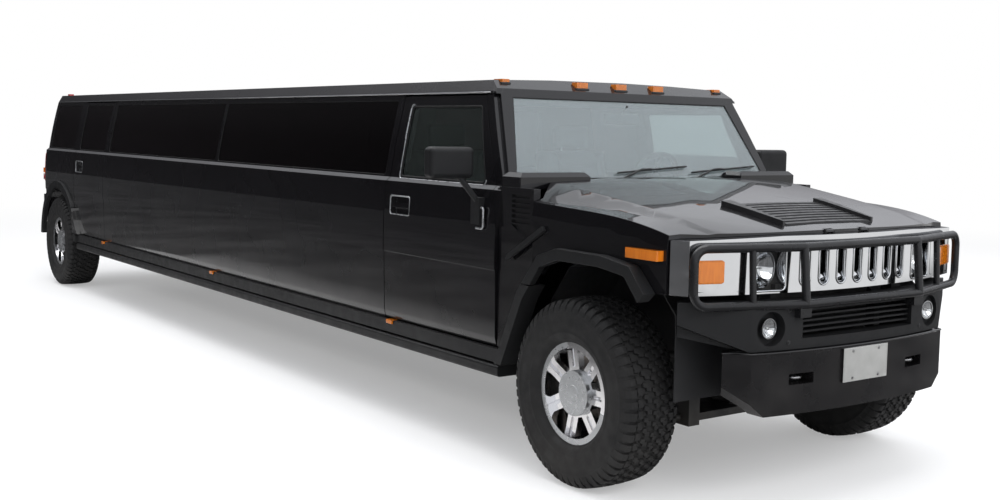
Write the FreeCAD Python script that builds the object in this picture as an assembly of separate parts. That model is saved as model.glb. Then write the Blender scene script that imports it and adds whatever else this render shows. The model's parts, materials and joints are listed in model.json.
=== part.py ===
import FreeCAD, Part
import math
import os

# Stretch limousine built from a big four door off road wagon.
# Millimetres. +X forward, +Y to the driver's side, +Z up.
# The origin is on the ground, at the middle of the overall box.

Vector = FreeCAD.Vector
X_AXIS = Vector(1, 0, 0)
Y_AXIS = Vector(0, 1, 0)
Z_AXIS = Vector(0, 0, 1)
LEFT = 1
RIGHT = -1
SIDES = ((LEFT, "left"), (RIGHT, "right"))

# Stance
standard_wheelbase = 3118.0
stretch_length = 5080.0
front_overhang = 850.0
rear_overhang = 800.0
track = 1763.0
wheelbase = standard_wheelbase + stretch_length
front_axle_x = (wheelbase + rear_overhang - front_overhang) / 2
rear_axle_x = front_axle_x - wheelbase
cut_overrun = 20.0
seat_clearance = 0.3
panel_gap = 6.0

# Tyre and rim
tyre_diameter = 873.0
tyre_width = 315.0
tread_half_width = 128.0
tread_crown = 7.0
shoulder_drop = 26.0
sidewall_bulge_radius = 330.0
bead_radius = 219.0
bead_half_width = 112.0
bead_height = 21.0
tyre_wall = 16.0
tread_wall = 26.0
rim_lip_radius = 235.0
rim_lip_half_width = 122.0
rim_lip_depth = 12.0
barrel_wall = 8.0
rim_offset = 31.0
rim_face_proud = 62.0
hub_radius = 112.0
hub_cap_radius = 104.0
hub_cap_proud = 26.0
spoke_pairs = 7
spoke_width = 26.0
spoke_gap = 20.0
spoke_thickness = 34.0
spoke_groove_depth = 13.0
spoke_groove_start = 128.0
wheel_radius = tyre_diameter / 2
wheel_y = track / 2

# Hub, disc brake, knuckle
spindle_radius = 30.0
hub_bore_radius = 30.3
hub_flange_radius = 84.0
hub_flange_depth = 26.0
disc_radius = 165.0
disc_thickness = 22.0
disc_setback = 30.0
kingpin_offset = 69.5
kingpin_y = wheel_y - kingpin_offset
kingpin_radius = 15.0
ball_joint_rise = 150.0
knuckle_width = 60.0
knuckle_depth = 40.0
carrier_radius = 62.0
caliper_outer = 188.0
caliper_inner = 106.0
caliper_cheek = 15.0
caliper_spread = 25.0

# Body side section, given as half widths at heights
sill_bottom_z = 496.0
sill_bottom_y = 972.0
flank_z = 600.0
flank_y = 992.0
crease_z = 932.0
crease_y = 1003.0
crease_step = 5.0
belt_z = 1328.0
belt_y = 986.0
belt_bulge = 7.0
ledge_z = 1348.0
ledge_y = 961.0
drip_z = 1808.0
drip_y = 862.0
upper_bulge = 6.0
lower_wall = 100.0
upper_wall = 44.0
corner_taper = 70.0
corner_length = 230.0
corner_steps = 5
shelf_drop = 48.0
glass_inset = 4.0
glass_thickness = 6.0

# Body stations, measured back from the front axle or ahead of the rear axle
door_front_back = 640.0
front_door_length = 1098.0
door_rake_start_z = 1150.0
door_belt_setback = 52.0
rear_door_ahead = 478.0
rear_door_length = 892.0
body_rear_back = 680.0
door_bottom_z = 556.0
door_top_z = 1800.0
door_seal_strip = 24.0
door_seal_depth = 26.0
door_ledge_reach = 12.0
door_hinge_back = 24.0
door_hinge_proud = 3.0
door_front_upper_back = 240.0

# Windows
window_low_z = 1356.0
window_high_z = 1742.0
window_corner = 22.0
front_window_lead = 92.0
front_window_trail = 110.0
rear_window_margin = 70.0
fixed_window_high_z = 1778.0
fixed_window_margin = 56.0
fixed_window_post = 40.0
quarter_window_lead = 90.0
quarter_window_trail = 250.0

# Roof
roof_edge_z = 1880.0
roof_edge_y = 822.0
roof_crown_z = 1897.0
roof_thickness = 30.0
roof_slope_length = 96.0
drip_rail_proud = 10.0
drip_rail_height = 12.0

# Windscreen and its frame, measured back from the front axle
screen_base_back = 604.0
screen_base_z = 1352.0
screen_top_back = 864.0
screen_top_z = 1836.0
screen_base_half = 948.0
screen_top_half = 826.0
screen_frame_depth = 44.0
screen_side_border = 62.0
screen_top_border = 46.0
screen_base_border = 30.0
screen_glass_inset = 6.0

# Cowl
firewall_back = 566.0
firewall_thickness = 30.0
cowl_top_z = 1340.0
cowl_side_y = 982.0
cowl_side_thickness = 40.0
cowl_side_front_back = 352.0
cowl_rest = 10.0
hump_front_back = 472.0
hump_inner_y = 540.0
hump_outer_y = 972.0
hump_top_z = 1420.0
hump_bevel = 22.0
louvre_top_z = 1316.0
louvre_bottom_z = 1170.0
louvre_tip_z = 1090.0
louvre_back = 528.0
louvre_front_back = 382.0
louvre_depth = 12.0
louvre_count = 6
louvre_slat = 9.0

# Hood, with stations ahead of the front axle (negative is behind it)
hood_nose = 800.0
hood_stations = (hood_nose, 620.0, 360.0, 90.0, -200.0, -566.0)
crease_heights = (1120.0, 1178.0, 1240.0, 1268.0, 1282.0, 1290.0)
crease_half_widths = (915.0, 934.0, 958.0, 972.0, 980.0, 984.0)
foot_heights = (1140.0, 1190.0, 1247.0, 1272.0, 1287.0, 1294.0)
foot_half_widths = (730.0, 748.0, 812.0, 872.0, 930.0, 964.0)
edge_heights = (1152.0, 1199.0, 1262.0, 1306.0, 1346.0, 1366.0)
edge_half_widths = (700.0, 712.0, 730.0, 752.0, 776.0, 800.0)
crown_heights = (1198.0, 1228.0, 1282.0, 1328.0, 1368.0, 1392.0)
side_bulge_drop = 70.0
side_bulge_out = 12.0
hood_side_bottom_z = 820.0
hood_thickness = 24.0
hood_rear_back = 560.0
hood_corner_back = 352.0
hood_corner_y = 930.0
hood_front_gap = 8.0
hood_hinge_z = 1205.0
hinge_spread = 120.0
hinge_eye_radius = 7.0
hinge_pin_radius = 4.0
hinge_eye_width = 44.0
hinge_lug_width = 8.0
latch_low_back = 530.0
latch_low_z = 1004.0
latch_high_back = 240.0
latch_high_z = 1170.0
latch_width = 26.0
latch_thickness = 12.0
vent_front = 604.0
vent_rear = 258.0
vent_front_half = 300.0
vent_rear_half = 290.0
vent_bar_width = 62.0
vent_bar_tip = 14.0
vent_bar_rise = 22.0
vent_slat_count = 9
vent_slat_rise = 7.0
vent_base_rise = 2.0

# Nose shell, plan curve shared by grille, header and guard
nose_x = 775.0
nose_bow_half = 900.0
nose_bow = 150.0
nose_corner_x = 552.0
nose_corner_y = 940.0
shell_depth = 60.0
shell_bottom_z = 950.0
shell_top_z = 1196.0
shell_side_top_z = 1180.0
slot_count = 7
slot_pitch = 110.0
slot_width = 58.0
slot_low_z = 978.0
slot_high_z = 1148.0
lamp_pocket_y = 526.0
lamp_pocket_half = 88.0
lamp_pocket_low_z = 962.0
lamp_pocket_high_z = 1148.0
lamp_pocket_depth = 82.0
lamp_radius = 84.0
lamp_depth = 44.0
turn_y = 820.0
turn_half = 72.0
turn_low_z = 1006.0
turn_high_z = 1094.0
turn_thickness = 12.0
turn_depth = 8.0

# Front bumper
bumper_x = 820.0
bumper_bow = 66.0
bumper_flat_half = 660.0
bumper_end_x = 588.0
bumper_end_y = 925.0
bumper_depth = 84.0
upper_bumper_top_z = 922.0
upper_bumper_bottom_z = 712.0
lower_bumper_top_z = 704.0
lower_bumper_bottom_z = 431.0
lower_bumper_lip = 14.0
lower_bumper_flat_half = 590.0
lower_bumper_end_z = 560.0
lower_bumper_end_x = 680.0
lower_bumper_end_y = 745.0
upper_bumper_end_rise = 66.0
wedge_rise = 117.0
wedge_depth = 40.0
intake_half = 380.0
intake_low_z = 756.0
intake_high_z = 898.0
intake_bar_count = 5
intake_bar = 8.0
fog_y = 552.0
fog_z = 806.0
fog_radius = 46.0
fog_recess_radius = 74.0
fog_recess_depth = 34.0
fog_depth = 24.0
tow_slot_y = 391.0
tow_slot_z = 584.0
tow_slot_half = 70.0
tow_slot_rise = 24.0
tow_slot_depth = 80.0
skid_top_z = 520.0
skid_bottom_z = 410.0
skid_half = 430.0
skid_back = 300.0
skid_thickness = 12.0
plate_width = 305.0
plate_height = 152.0
plate_thickness = 3.0
plate_z = 620.0
plate_bracket = 8.0
plate_bolt_x = 178.0
plate_bolt_z = 121.0
plate_hole_radius = 3.5

# Front guard
guard_radius = 19.0
guard_high_x = 802.0
guard_low_x = 826.0
guard_low_z = 908.0
guard_high_z = 1152.0
guard_inner_y = 394.0
guard_outer_y = 640.0
guard_loop_y = 906.0
guard_loop_x = 662.0
guard_bend = 60.0
guard_post_radius = 15.0
guard_block = 70.0
guard_block_low_z = 850.0

# Wheel arches
rear_arch_radius = 530.0
flare_proud_y = 1031.0
flare_back_y = 930.0
flare_xs = (492.0, 392.0, 203.0, -115.0, -256.0, -409.0, -592.0)
flare_zs = (950.0, 1060.0, 1088.0, 1090.0, 1045.0, 863.0, 478.0)
flare_band = 56.0
flare_split_z = 900.0
rear_flare_band = 66.0
rear_flare_foot = 190.0
rear_flare_sweep = 60.0
liner_thickness = 5.0
liner_inner_y = 486.0
liner_outer_y = 850.0
liner_front = 505.0
liner_front_z = 850.0
liner_apron_z = 474.0
marker_front = 528.0
marker_rear = 328.0
marker_z = 1113.0
marker_height = 44.0
marker_proud = 12.0

# Sill and running board
sill_moulding_top_z = 548.0
sill_moulding_bottom_z = 478.0
sill_moulding_proud = 16.0
board_top_z = 466.0
board_bottom_z = 410.0
board_inner_y = 840.0
board_outer_y = 1016.0
board_end_gap = 14.0
board_bracket_count = 6
board_bracket_width = 60.0
sill_lamp_z = 540.0
sill_lamp_length = 62.0
sill_lamp_height = 22.0
sill_lamp_proud = 10.0

# Frame and floor
rail_y = 420.0
rail_width = 70.0
rail_bottom_z = 500.0
rail_height = 104.0
rail_front = 700.0
support_depth = 26.0
support_half = 640.0
support_bottom_z = 958.0
support_top_z = 1150.0
support_post = 60.0
cross_member_count = 9
floor_z = 610.0
floor_thickness = 20.0
rocker_setback = 26.0
rocker_width = 70.0

# Driveline and suspension
engine_length = 700.0
engine_width = 560.0
engine_height = 560.0
engine_bottom_z = 640.0
engine_front = 420.0
gearbox_length = 820.0
gearbox_width = 300.0
gearbox_height = 300.0
gearbox_bottom_z = 420.0
shaft_radius = 45.0
shaft_z = 500.0
arm_tube_radius = 16.0
arm_spread = 130.0
arm_eye_radius = 34.0
arm_eye_height = 36.0
diff_radius = 130.0
diff_width = 190.0
half_shaft_radius = 22.0
half_shaft_end = 90.0
beam_radius = 44.0
rear_link_radius = 24.0
rear_link_length = 620.0
spring_radius = 64.0
exhaust_radius = 34.0
muffler_radius = 52.0
tank_length = 1300.0
tank_width = 520.0
tank_height = 240.0

# Rear bumper and lamps
rear_bumper_top_z = 866.0
rear_bumper_bottom_z = 652.0
rear_bumper_wrap = 60.0
rear_bumper_half = 960.0
rear_bumper_step = 60.0
rear_bumper_round = 70.0
rear_bumper_chin = 56.0
tail_lamp_low_z = 1010.0
tail_lamp_high_z = 1290.0
tail_lamp_width = 74.0
tail_lamp_depth = 22.0
tail_lamp_proud = 8.0

# Liftgate
gate_half_low = 880.0
gate_half_high = 742.0
gate_bottom_z = 884.0
gate_top_z = 1796.0
gate_thickness = 70.0
gate_hinge_y = 430.0
gate_hinge_rise = 7.0
gate_hinge_proud = 3.0
gate_window_low_z = 1330.0
gate_window_high_z = 1720.0
gate_window_half_low = 640.0
gate_window_half_high = 580.0

# Roof lamps
roof_lamp_radius = 34.0
roof_lamp_top_z = 1886.0
rear_roof_lamp_rise = 22.0
roof_lamp_back = 905.0
roof_lamp_spread = 275.0
roof_lamp_outer_y = 764.0
roof_lamp_length = 76.0
roof_lamp_width = 46.0

# Mirrors
mirror_back = 830.0
mirror_inner_y = 1024.0
mirror_outer_y = 1280.0
mirror_low_z = 1380.0
mirror_high_z = 1536.0
mirror_depth = 84.0
mirror_round = 26.0
mirror_base_front = 748.0
mirror_base_rear = 824.0
mirror_base_low_z = 1150.0
mirror_base_high_z = 1286.0
mirror_base_proud = 22.0
mirror_arm_radius = 15.0

# Handles
handle_length = 210.0
handle_height = 104.0
handle_pocket = 22.0
handle_margin = 60.0
handle_z = 1196.0
handle_bar = 26.0

# Cab and cabin
steering_wheel_radius = 192.0
steering_rim_radius = 15.0
steering_back = 1128.0
steering_y = 470.0
steering_z = 1338.0
steering_tilt = 25.0
column_radius = 28.0
column_length = 210.0
dash_top_z = 1330.0
dash_bottom_z = 980.0
dash_depth = 330.0
dash_gap = 10.0
seat_back = 1560.0
seat_y = 470.0
seat_width = 540.0
seat_length = 520.0
seat_cushion_low_z = 760.0
seat_cushion_high_z = 930.0
seat_rest_top_z = 1500.0
seat_rest_depth = 150.0
seat_rest_rake = 14.0
seat_foot_height = 130.0
head_rest_height = 150.0
partition_back = 2150.0
partition_thickness = 40.0
lounge_depth = 560.0
lounge_cushion_top_z = 990.0
lounge_back_top_z = 1330.0
lounge_back_depth = 130.0
lounge_end_ahead = 700.0

# Wipers
wiper_radius = 7.0
wiper_length = 520.0
wiper_pivot_rise = 30.0


def box(x0, x1, y0, y1, z0, z1):
    """Block between two corners, given in any order."""
    low = Vector(min(x0, x1), min(y0, y1), min(z0, z1))
    return Part.makeBox(abs(x1 - x0), abs(y1 - y0), abs(z1 - z0), low)


def prism(points, reach):
    """Flat outline through the points, pushed along a vector."""
    corners = [Vector(*p) for p in points]
    face = Part.Face(Part.makePolygon(corners + corners[:1]))
    return face.extrude(reach)


def prism_x(outline, x0, x1):
    return prism([(x0, y, z) for y, z in outline], Vector(x1 - x0, 0, 0))


def prism_y(outline, y0, y1):
    return prism([(x, y0, z) for x, z in outline], Vector(0, y1 - y0, 0))


def prism_z(outline, z0, z1):
    return prism([(x, y, z0) for x, y in outline], Vector(0, 0, z1 - z0))


def rod(start, end, radius):
    """Round bar from one point to another."""
    a, b = Vector(*start), Vector(*end)
    return Part.makeCylinder(radius, (b - a).Length, a, b - a)


def joined(solids):
    """One solid from pieces that touch or overlap."""
    first, rest = solids[0], solids[1:]
    return first.fuse(rest).removeSplitter() if rest else first


def both(solid):
    """A solid and its mirror image across the middle plane."""
    return [solid, solid.mirror(Vector(0, 0, 0), Y_AXIS)]


def to_side(solid, side):
    """A solid drawn on the left side, placed on either side."""
    return solid if side == LEFT else solid.mirror(Vector(0, 0, 0), Y_AXIS)


def solids_of(shapes):
    return [solid for shape in shapes for solid in shape.Solids]


nodes = {}


def keep(name, shapes):
    nodes[name] = Part.makeCompound(solids_of(shapes))


def behind(distance):
    """Station at a distance behind the front axle."""
    return front_axle_x - distance


def ahead_of_rear(distance):
    """Station at a distance ahead of the rear axle."""
    return rear_axle_x + distance


flare_front_ahead = flare_xs[0]
flare_front_z = flare_zs[0]
flare_top_z = max(flare_zs)
flare_leg_back = -flare_xs[-1]
door_front_x = behind(door_front_back)
front_door_rear_x = door_front_x - front_door_length
rear_door_rear_x = ahead_of_rear(rear_door_ahead)
rear_door_front_x = rear_door_rear_x + rear_door_length
body_rear_x = ahead_of_rear(-body_rear_back)
liner_wall_y = crease_y - lower_wall
half_share = 0.5


def line(start, end):
    return Part.LineSegment(Vector(*start), Vector(*end)).toShape()


def bowed(start, end, bulge):
    """Arc between two points, its middle pushed out square to the chord."""
    a, b = Vector(*start), Vector(*end)
    chord = b - a
    out = chord.cross(X_AXIS)
    out.normalize()
    return Part.Arc(a, (a + b) * half_share + out * bulge, b).toShape()


def wall_wire(x0, i, moved=0.0):
    """Outline of the left wall at a station: skin pulled in, or the whole wall moved in."""
    i += moved
    a = (x0, sill_bottom_y - i, sill_bottom_z)
    b = (x0, flank_y - i, flank_z)
    c = (x0, crease_y - crease_step - i, crease_z)
    d = (x0, crease_y - i, crease_z)
    e = (x0, belt_y - i, belt_z)
    f = (x0, ledge_y - i, ledge_z)
    g = (x0, drip_y - i, drip_z)
    h = (x0, drip_y - upper_wall - moved, drip_z)
    j = (x0, ledge_y - upper_wall - moved, ledge_z)
    k = (x0, liner_wall_y - moved, ledge_z - shelf_drop)
    m = (x0, liner_wall_y - moved, sill_bottom_z)
    edges = [line(a, b), line(b, c), line(c, d), bowed(d, e, belt_bulge), line(e, f)]
    edges += [bowed(f, g, upper_bulge), line(g, h), line(h, j), line(j, k), line(k, m), line(m, a)]
    return Part.Wire(edges)


def side_wall(x0, x1, outer_inset=0.0):
    """Left body wall from sill to drip, between its skin and its inner trim."""
    return Part.Face(wall_wire(x0, outer_inset)).extrude(Vector(x1 - x0, 0, 0))


def corner_inset(step):
    """How far the body is pulled in at a step along its rounded rear corner."""
    radius = (corner_length ** 2 + corner_taper ** 2) / (2 * corner_taper)
    along = corner_length * step / corner_steps
    return radius - math.sqrt(radius ** 2 - along ** 2)


def corner_station(step):
    return body_rear_x + corner_length * (corner_steps - step) / corner_steps


def rear_corner_wall():
    """Left wall that curves in towards the back of the body."""
    steps = range(corner_steps + 1)
    wires = [wall_wire(corner_station(i), 0, corner_inset(i)) for i in steps]
    return Part.makeLoft(wires, True, False)


def glass_layer(x0, x1):
    """Sheet of glass that lies just inside the upper skin of the left wall."""
    inner = glass_inset + glass_thickness
    f0 = (x0, ledge_y - glass_inset, ledge_z)
    g0 = (x0, drip_y - glass_inset, drip_z)
    f1 = (x0, ledge_y - inner, ledge_z)
    g1 = (x0, drip_y - inner, drip_z)
    edges = [bowed(f0, g0, upper_bulge), line(g0, g1), bowed(f1, g1, upper_bulge).reversed(), line(f1, f0)]
    return Part.Face(Part.Wire(Part.__sortEdges__(edges))).extrude(Vector(x1 - x0, 0, 0))


def rounded_hole(outline, radius):
    """Window outline pushed through the left wall, with rounded corners."""
    block = prism_y(outline, liner_wall_y * half_share, crease_y + cut_overrun)
    upright = [e for e in block.Edges if abs(e.tangentAt(e.FirstParameter).dot(Y_AXIS)) > half_share]
    return block.makeFillet(radius, upright)


def slab(x0, x1, z0, z1):
    """Block over the whole left half of the body, used to take pieces from the wall."""
    return box(x0, x1, 0, crease_y + cut_overrun, z0, z1)


def arch_cut(axle_x, radius, inner_y):
    outer_y = crease_y + flare_proud_y
    return Part.makeCylinder(radius, outer_y - inner_y, Vector(axle_x, inner_y, wheel_radius), Y_AXIS)


def screen_back_at(z):
    """Distance of the windscreen's outer plane behind the front axle at a height."""
    share = (z - screen_base_z) / (screen_top_z - screen_base_z)
    return screen_base_back + share * (screen_top_back - screen_base_back)


# Doors

front_upper_lean = door_front_upper_back / (door_top_z - ledge_z)
front_lower_lean = door_belt_setback / (ledge_z - door_rake_start_z)


def front_door_front_x(z):
    """Front edge of the front door: upright low down, then raked in two steps."""
    below_belt = min(max(z - door_rake_start_z, 0), ledge_z - door_rake_start_z)
    above_belt = max(z - ledge_z, 0)
    return door_front_x - below_belt * front_lower_lean - above_belt * front_upper_lean


def door_blank(x_front, x_rear, raked):
    wall = side_wall(x_front, x_rear)
    blank = wall.common(slab(x_front, x_rear, door_bottom_z, door_top_z))
    seal = side_wall(x_rear, x_rear + door_seal_strip, door_seal_depth)
    blank = blank.cut(seal)
    if raked:
        rake = [(x_front + cut_overrun, door_rake_start_z)]
        rake += [(front_door_front_x(z), z) for z in (door_rake_start_z, ledge_z, drip_z)]
        rake.append((x_front + cut_overrun, drip_z))
        blank = blank.cut(prism_y(rake, 0, crease_y + cut_overrun))
    return blank


def front_window_outline():
    """Side window of the cab, raked at the front like the screen pillar."""
    low_front = front_door_front_x(window_low_z) - front_window_lead
    high_front = front_door_front_x(window_high_z) - front_window_lead * half_share
    rear = front_door_rear_x + front_window_trail
    return [(low_front, window_low_z), (high_front, window_high_z), (rear, window_high_z), (rear, window_low_z)]


def rear_window_outline():
    front = rear_door_front_x - rear_window_margin
    rear = rear_door_rear_x + rear_window_margin
    return [(front, window_low_z), (front, fixed_window_high_z), (rear, fixed_window_high_z), (rear, window_low_z)]


def handle_pocket_cut(x_rear):
    x0 = x_rear + handle_margin
    z0 = handle_z - handle_height / 2
    depth = side_wall(x0, x0 + handle_length, -cut_overrun).cut(side_wall(x0, x0 + handle_length, handle_pocket))
    return depth.common(slab(x0, x0 + handle_length, z0, z0 + handle_height))


def handle_bar_in(x_rear):
    """Flat pull bar across the middle of the pocket."""
    x0 = x_rear + handle_margin
    skin = side_wall(x0, x0 + handle_length, panel_gap / 2)
    bar = skin.cut(side_wall(x0, x0 + handle_length, handle_pocket))
    return bar.common(slab(x0, x0 + handle_length, handle_z - handle_bar / 2, handle_z + handle_bar / 2))


def door(x_front, x_rear, outline, raked):
    blank = door_blank(x_front, x_rear, raked).cut(rounded_hole(outline, window_corner))
    blank = blank.cut(arch_cut(rear_axle_x, rear_arch_radius + panel_gap, 0))
    blank = blank.cut(handle_pocket_cut(x_rear))
    return blank.fuse(handle_bar_in(x_rear))


def pane(x_front, x_rear, outline):
    return glass_layer(x_rear, x_front).common(rounded_hole(outline, window_corner))


def mirror():
    """Rounded mirror head on a short arm and a base plate, on the left door."""
    x = behind(mirror_back)
    head = box(x - mirror_depth / 2, x + mirror_depth / 2, mirror_inner_y, mirror_outer_y, mirror_low_z, mirror_high_z)
    head = head.makeFillet(mirror_round, head.Edges)
    base = box(behind(mirror_base_front), behind(mirror_base_rear), belt_y - cut_overrun,
               crease_y + mirror_base_proud, mirror_base_low_z, mirror_base_high_z)
    base_x = behind((mirror_base_front + mirror_base_rear) / 2)
    foot = (base_x, crease_y + mirror_base_proud / 2, mirror_base_high_z - mirror_arm_radius)
    knee = (x, mirror_inner_y + mirror_depth, mirror_low_z + mirror_round)
    return joined([base, rod(foot, knee, mirror_arm_radius), head])


def add_doors():
    front_outline = front_window_outline()
    rear_outline = rear_window_outline()
    front = door(door_front_x, front_door_rear_x, front_outline, True)
    rear = door(rear_door_front_x, rear_door_rear_x, rear_outline, False)
    rear = rear.fuse(flare_on_door().cut(side_wall(rear_door_front_x, rear_door_rear_x))).removeSplitter()
    front_pane = pane(door_front_x, front_door_rear_x, front_outline)
    rear_pane = pane(rear_door_front_x, rear_door_rear_x, rear_outline)
    head = mirror().cut(front)
    for side, word in SIDES:
        keep("door_front_" + word, [to_side(front, side)])
        keep("door_rear_" + word, [to_side(rear, side)])
        keep("door_front_glass_" + word, [to_side(front_pane, side)])
        keep("door_rear_glass_" + word, [to_side(rear_pane, side)])
        keep("mirror_" + word, [to_side(head, side)])


# Fixed body sides

def fixed_window_outlines():
    """Two long windows between the doors."""
    front = front_door_rear_x - panel_gap - fixed_window_margin
    rear = rear_door_front_x + panel_gap + fixed_window_margin
    middle = (front + rear) / 2
    half_post = fixed_window_post / 2
    spans = [(front, middle + half_post), (middle - half_post, rear)]
    return [[(a, window_low_z), (a, fixed_window_high_z), (b, fixed_window_high_z), (b, window_low_z)] for a, b in spans]


def quarter_window_outline():
    front = rear_door_rear_x - panel_gap - quarter_window_lead
    rear = body_rear_x + quarter_window_trail
    return [(front, window_low_z), (front, fixed_window_high_z), (rear, fixed_window_high_z), (rear, window_low_z)]


def door_ledge(x_rear):
    """Seal ledge of the body, on which the rear edge of a shut door rests."""
    x0, x1 = x_rear - panel_gap, x_rear + door_ledge_reach
    ledge = side_wall(x0, x1, door_seal_depth)
    return ledge.common(slab(x0, x1, door_bottom_z + panel_gap, door_top_z - panel_gap))


def add_side_panels():
    x0 = front_door_rear_x - panel_gap
    x1 = rear_door_front_x + panel_gap
    panel = side_wall(x0, x1).common(slab(x0, x1, door_bottom_z - panel_gap, drip_z))
    panel = panel.fuse(door_ledge(front_door_rear_x)).removeSplitter()
    panes = []
    for outline in fixed_window_outlines():
        hole = rounded_hole(outline, window_corner)
        panel = panel.cut(hole)
        panes.append(glass_layer(x1, x0).common(hole))
    keep("side_panels", both(panel))

    x0 = rear_door_rear_x - panel_gap
    quarter = side_wall(x0, corner_station(0)).common(slab(x0, corner_station(0), door_bottom_z - panel_gap, drip_z))
    corner = rear_corner_wall().common(slab(corner_station(0), body_rear_x, door_bottom_z - panel_gap, drip_z))
    inner_low = liner_wall_y - corner_taper
    post_x = body_rear_x + gate_thickness
    post = prism_x([(gate_half_high, gate_bottom_z), (inner_low + upper_wall, gate_bottom_z),
                    (inner_low + upper_wall, ledge_z - shelf_drop), (ledge_y - corner_taper - panel_gap, ledge_z),
                    (drip_y - corner_taper - panel_gap, drip_z), (gate_half_high, drip_z)], body_rear_x, post_x)
    quarter = quarter.fuse([corner, post]).removeSplitter().cut(gate_outline(panel_gap))
    quarter = quarter.fuse(door_ledge(rear_door_rear_x)).removeSplitter()
    hole = rounded_hole(quarter_window_outline(), window_corner)
    quarter = quarter.cut(hole)
    quarter = quarter.cut(arch_cut(rear_axle_x, rear_arch_radius, 0))
    quarter = quarter.cut(tail_lamp_block(0))
    panes.append(glass_layer(corner_station(0), x0).common(hole))
    keep("quarter_panels", both(quarter))
    keep("fixed_glass", [solid for p in panes for solid in both(p)])


def gate_outline(gap):
    """Liftgate block, grown all round by a gap."""
    outline = [(-gate_half_low - gap, gate_bottom_z - gap), (gate_half_low + gap, gate_bottom_z - gap),
               (gate_half_low + gap, belt_z), (gate_half_high + gap, gate_top_z + gap),
               (-gate_half_high - gap, gate_top_z + gap), (-gate_half_low - gap, belt_z)]
    return prism_x(outline, body_rear_x - cut_overrun, body_rear_x + gate_thickness + cut_overrun)


def tail_lamp_block(proud):
    """Red lamp that wraps the rear corner of the body on the left."""
    skin = rear_corner_wall()
    if proud:
        shifted = [skin.copy() for move in (Vector(-proud, 0, 0), Vector(0, proud, 0))]
        shifted[0].translate(Vector(-proud, 0, 0))
        shifted[1].translate(Vector(0, proud, 0))
        skin = shifted[0].fuse(shifted[1])
    room = box(body_rear_x - 2 * tail_lamp_proud, body_rear_x + tail_lamp_width, gate_half_low + 3 * panel_gap,
               crease_y, tail_lamp_low_z, tail_lamp_high_z)
    keep_in = rear_corner_wall()
    keep_in.translate(Vector(tail_lamp_depth, -tail_lamp_depth, 0))
    return skin.common(room).cut(keep_in)


def add_liftgate():
    x0 = body_rear_x
    x1 = body_rear_x + gate_thickness
    outline = [(-gate_half_low, gate_bottom_z), (gate_half_low, gate_bottom_z), (gate_half_low, belt_z),
               (gate_half_high, gate_top_z), (-gate_half_high, gate_top_z), (-gate_half_low, belt_z)]
    window = [(-gate_window_half_low, gate_window_low_z), (gate_window_half_low, gate_window_low_z),
              (gate_window_half_high, gate_window_high_z), (-gate_window_half_high, gate_window_high_z)]
    gate = prism_x(outline, x0, x1)
    hollow = box(x0 + gate_thickness / 2, x1 + cut_overrun, -gate_window_half_low, gate_window_half_low,
                 gate_bottom_z + gate_thickness, gate_window_low_z - gate_thickness)
    gate = gate.cut(hollow).cut(prism_x(window, x0 - cut_overrun, x1 + cut_overrun))
    for eye in gate_eyes():
        gate = gate.fuse(eye)
    keep("liftgate", [gate.removeSplitter()])
    glass_x = x0 + glass_inset
    keep("liftgate_glass", [prism_x(window, glass_x, glass_x + glass_thickness)])


def gate_hinge():
    """Point on the liftgate's hinge line, above its top edge."""
    return Vector(body_rear_x - gate_hinge_proud, 0, gate_top_z + gate_hinge_rise)


def eye_ring(point, y, width, bore):
    """Hinge eye about a line along Y, from one outer radius to a bore."""
    start = Vector(point.x, y - width / 2, point.z)
    ring = Part.makeCylinder(hinge_eye_radius, width, start, Y_AXIS)
    return ring.cut(Part.makeCylinder(bore, width, start, Y_AXIS)) if bore else ring


def gate_eyes():
    """Eyes on the liftgate, each with a short tail into its top edge."""
    point = gate_hinge()
    eyes = []
    for side, word in SIDES:
        y = side * gate_hinge_y
        tail = box(point.x - hinge_eye_radius, body_rear_x + panel_gap, y - hinge_eye_width / 2,
                   y + hinge_eye_width / 2, gate_top_z - 2 * hinge_eye_radius, point.z)
        eye = eye_ring(point, y, hinge_eye_width, 0).fuse(tail)
        bore = Part.makeCylinder(hinge_pin_radius + seat_clearance, hinge_eye_width,
                                 Vector(point.x, y - hinge_eye_width / 2, point.z), Y_AXIS)
        eyes.append(eye.cut(bore))
    return eyes


def hinge_mount(point, y, foot):
    """Fixed pin between two lugs, with a foot that joins them to what carries them."""
    lug_y = hinge_eye_width / 2 + seat_clearance
    pin_half = lug_y + hinge_lug_width
    pieces = [Part.makeCylinder(hinge_pin_radius, 2 * pin_half, Vector(point.x, y - pin_half, point.z), Y_AXIS)]
    for side in (LEFT, RIGHT):
        middle = y + side * (lug_y + hinge_lug_width / 2)
        pieces.append(eye_ring(point, middle, hinge_lug_width, 0))
        x0, x1, z0, z1 = foot
        pieces.append(box(x0, x1, middle - hinge_lug_width / 2, middle + hinge_lug_width / 2, z0, z1))
    return joined(pieces)


# Roof, windscreen and cowl

def roof_section(x0, inset, moved=0.0):
    """Closed outline of the roof across the body, its edges eased by an arc."""
    drip = (drip_y - inset - moved, drip_z)
    edge = (roof_edge_y - inset - moved, roof_edge_z - inset)
    crown = (0, roof_crown_z - inset)
    def at(point, sign=LEFT):
        return Vector(x0, point[0] * sign, point[1])
    top = Part.Arc(at(edge), at(crown), at(edge, RIGHT)).toShape()
    sides = [line(at(drip), at(edge)), line(at(edge, RIGHT), at(drip, RIGHT)), line(at(drip, RIGHT), at(drip))]
    return Part.Wire([sides[0], top, sides[1], sides[2]])


def roof_front_trim():
    """Everything ahead of the raked screen plane at the roof's front edge."""
    low = drip_z - cut_overrun
    rise = roof_crown_z - screen_top_z
    return [(behind(screen_back_at(low)), low), (behind(screen_top_back), screen_top_z),
            (behind(screen_top_back + 2 * roof_slope_length), screen_top_z + 2 * rise),
            (front_axle_x, screen_top_z + 2 * rise), (front_axle_x, low)]


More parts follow.
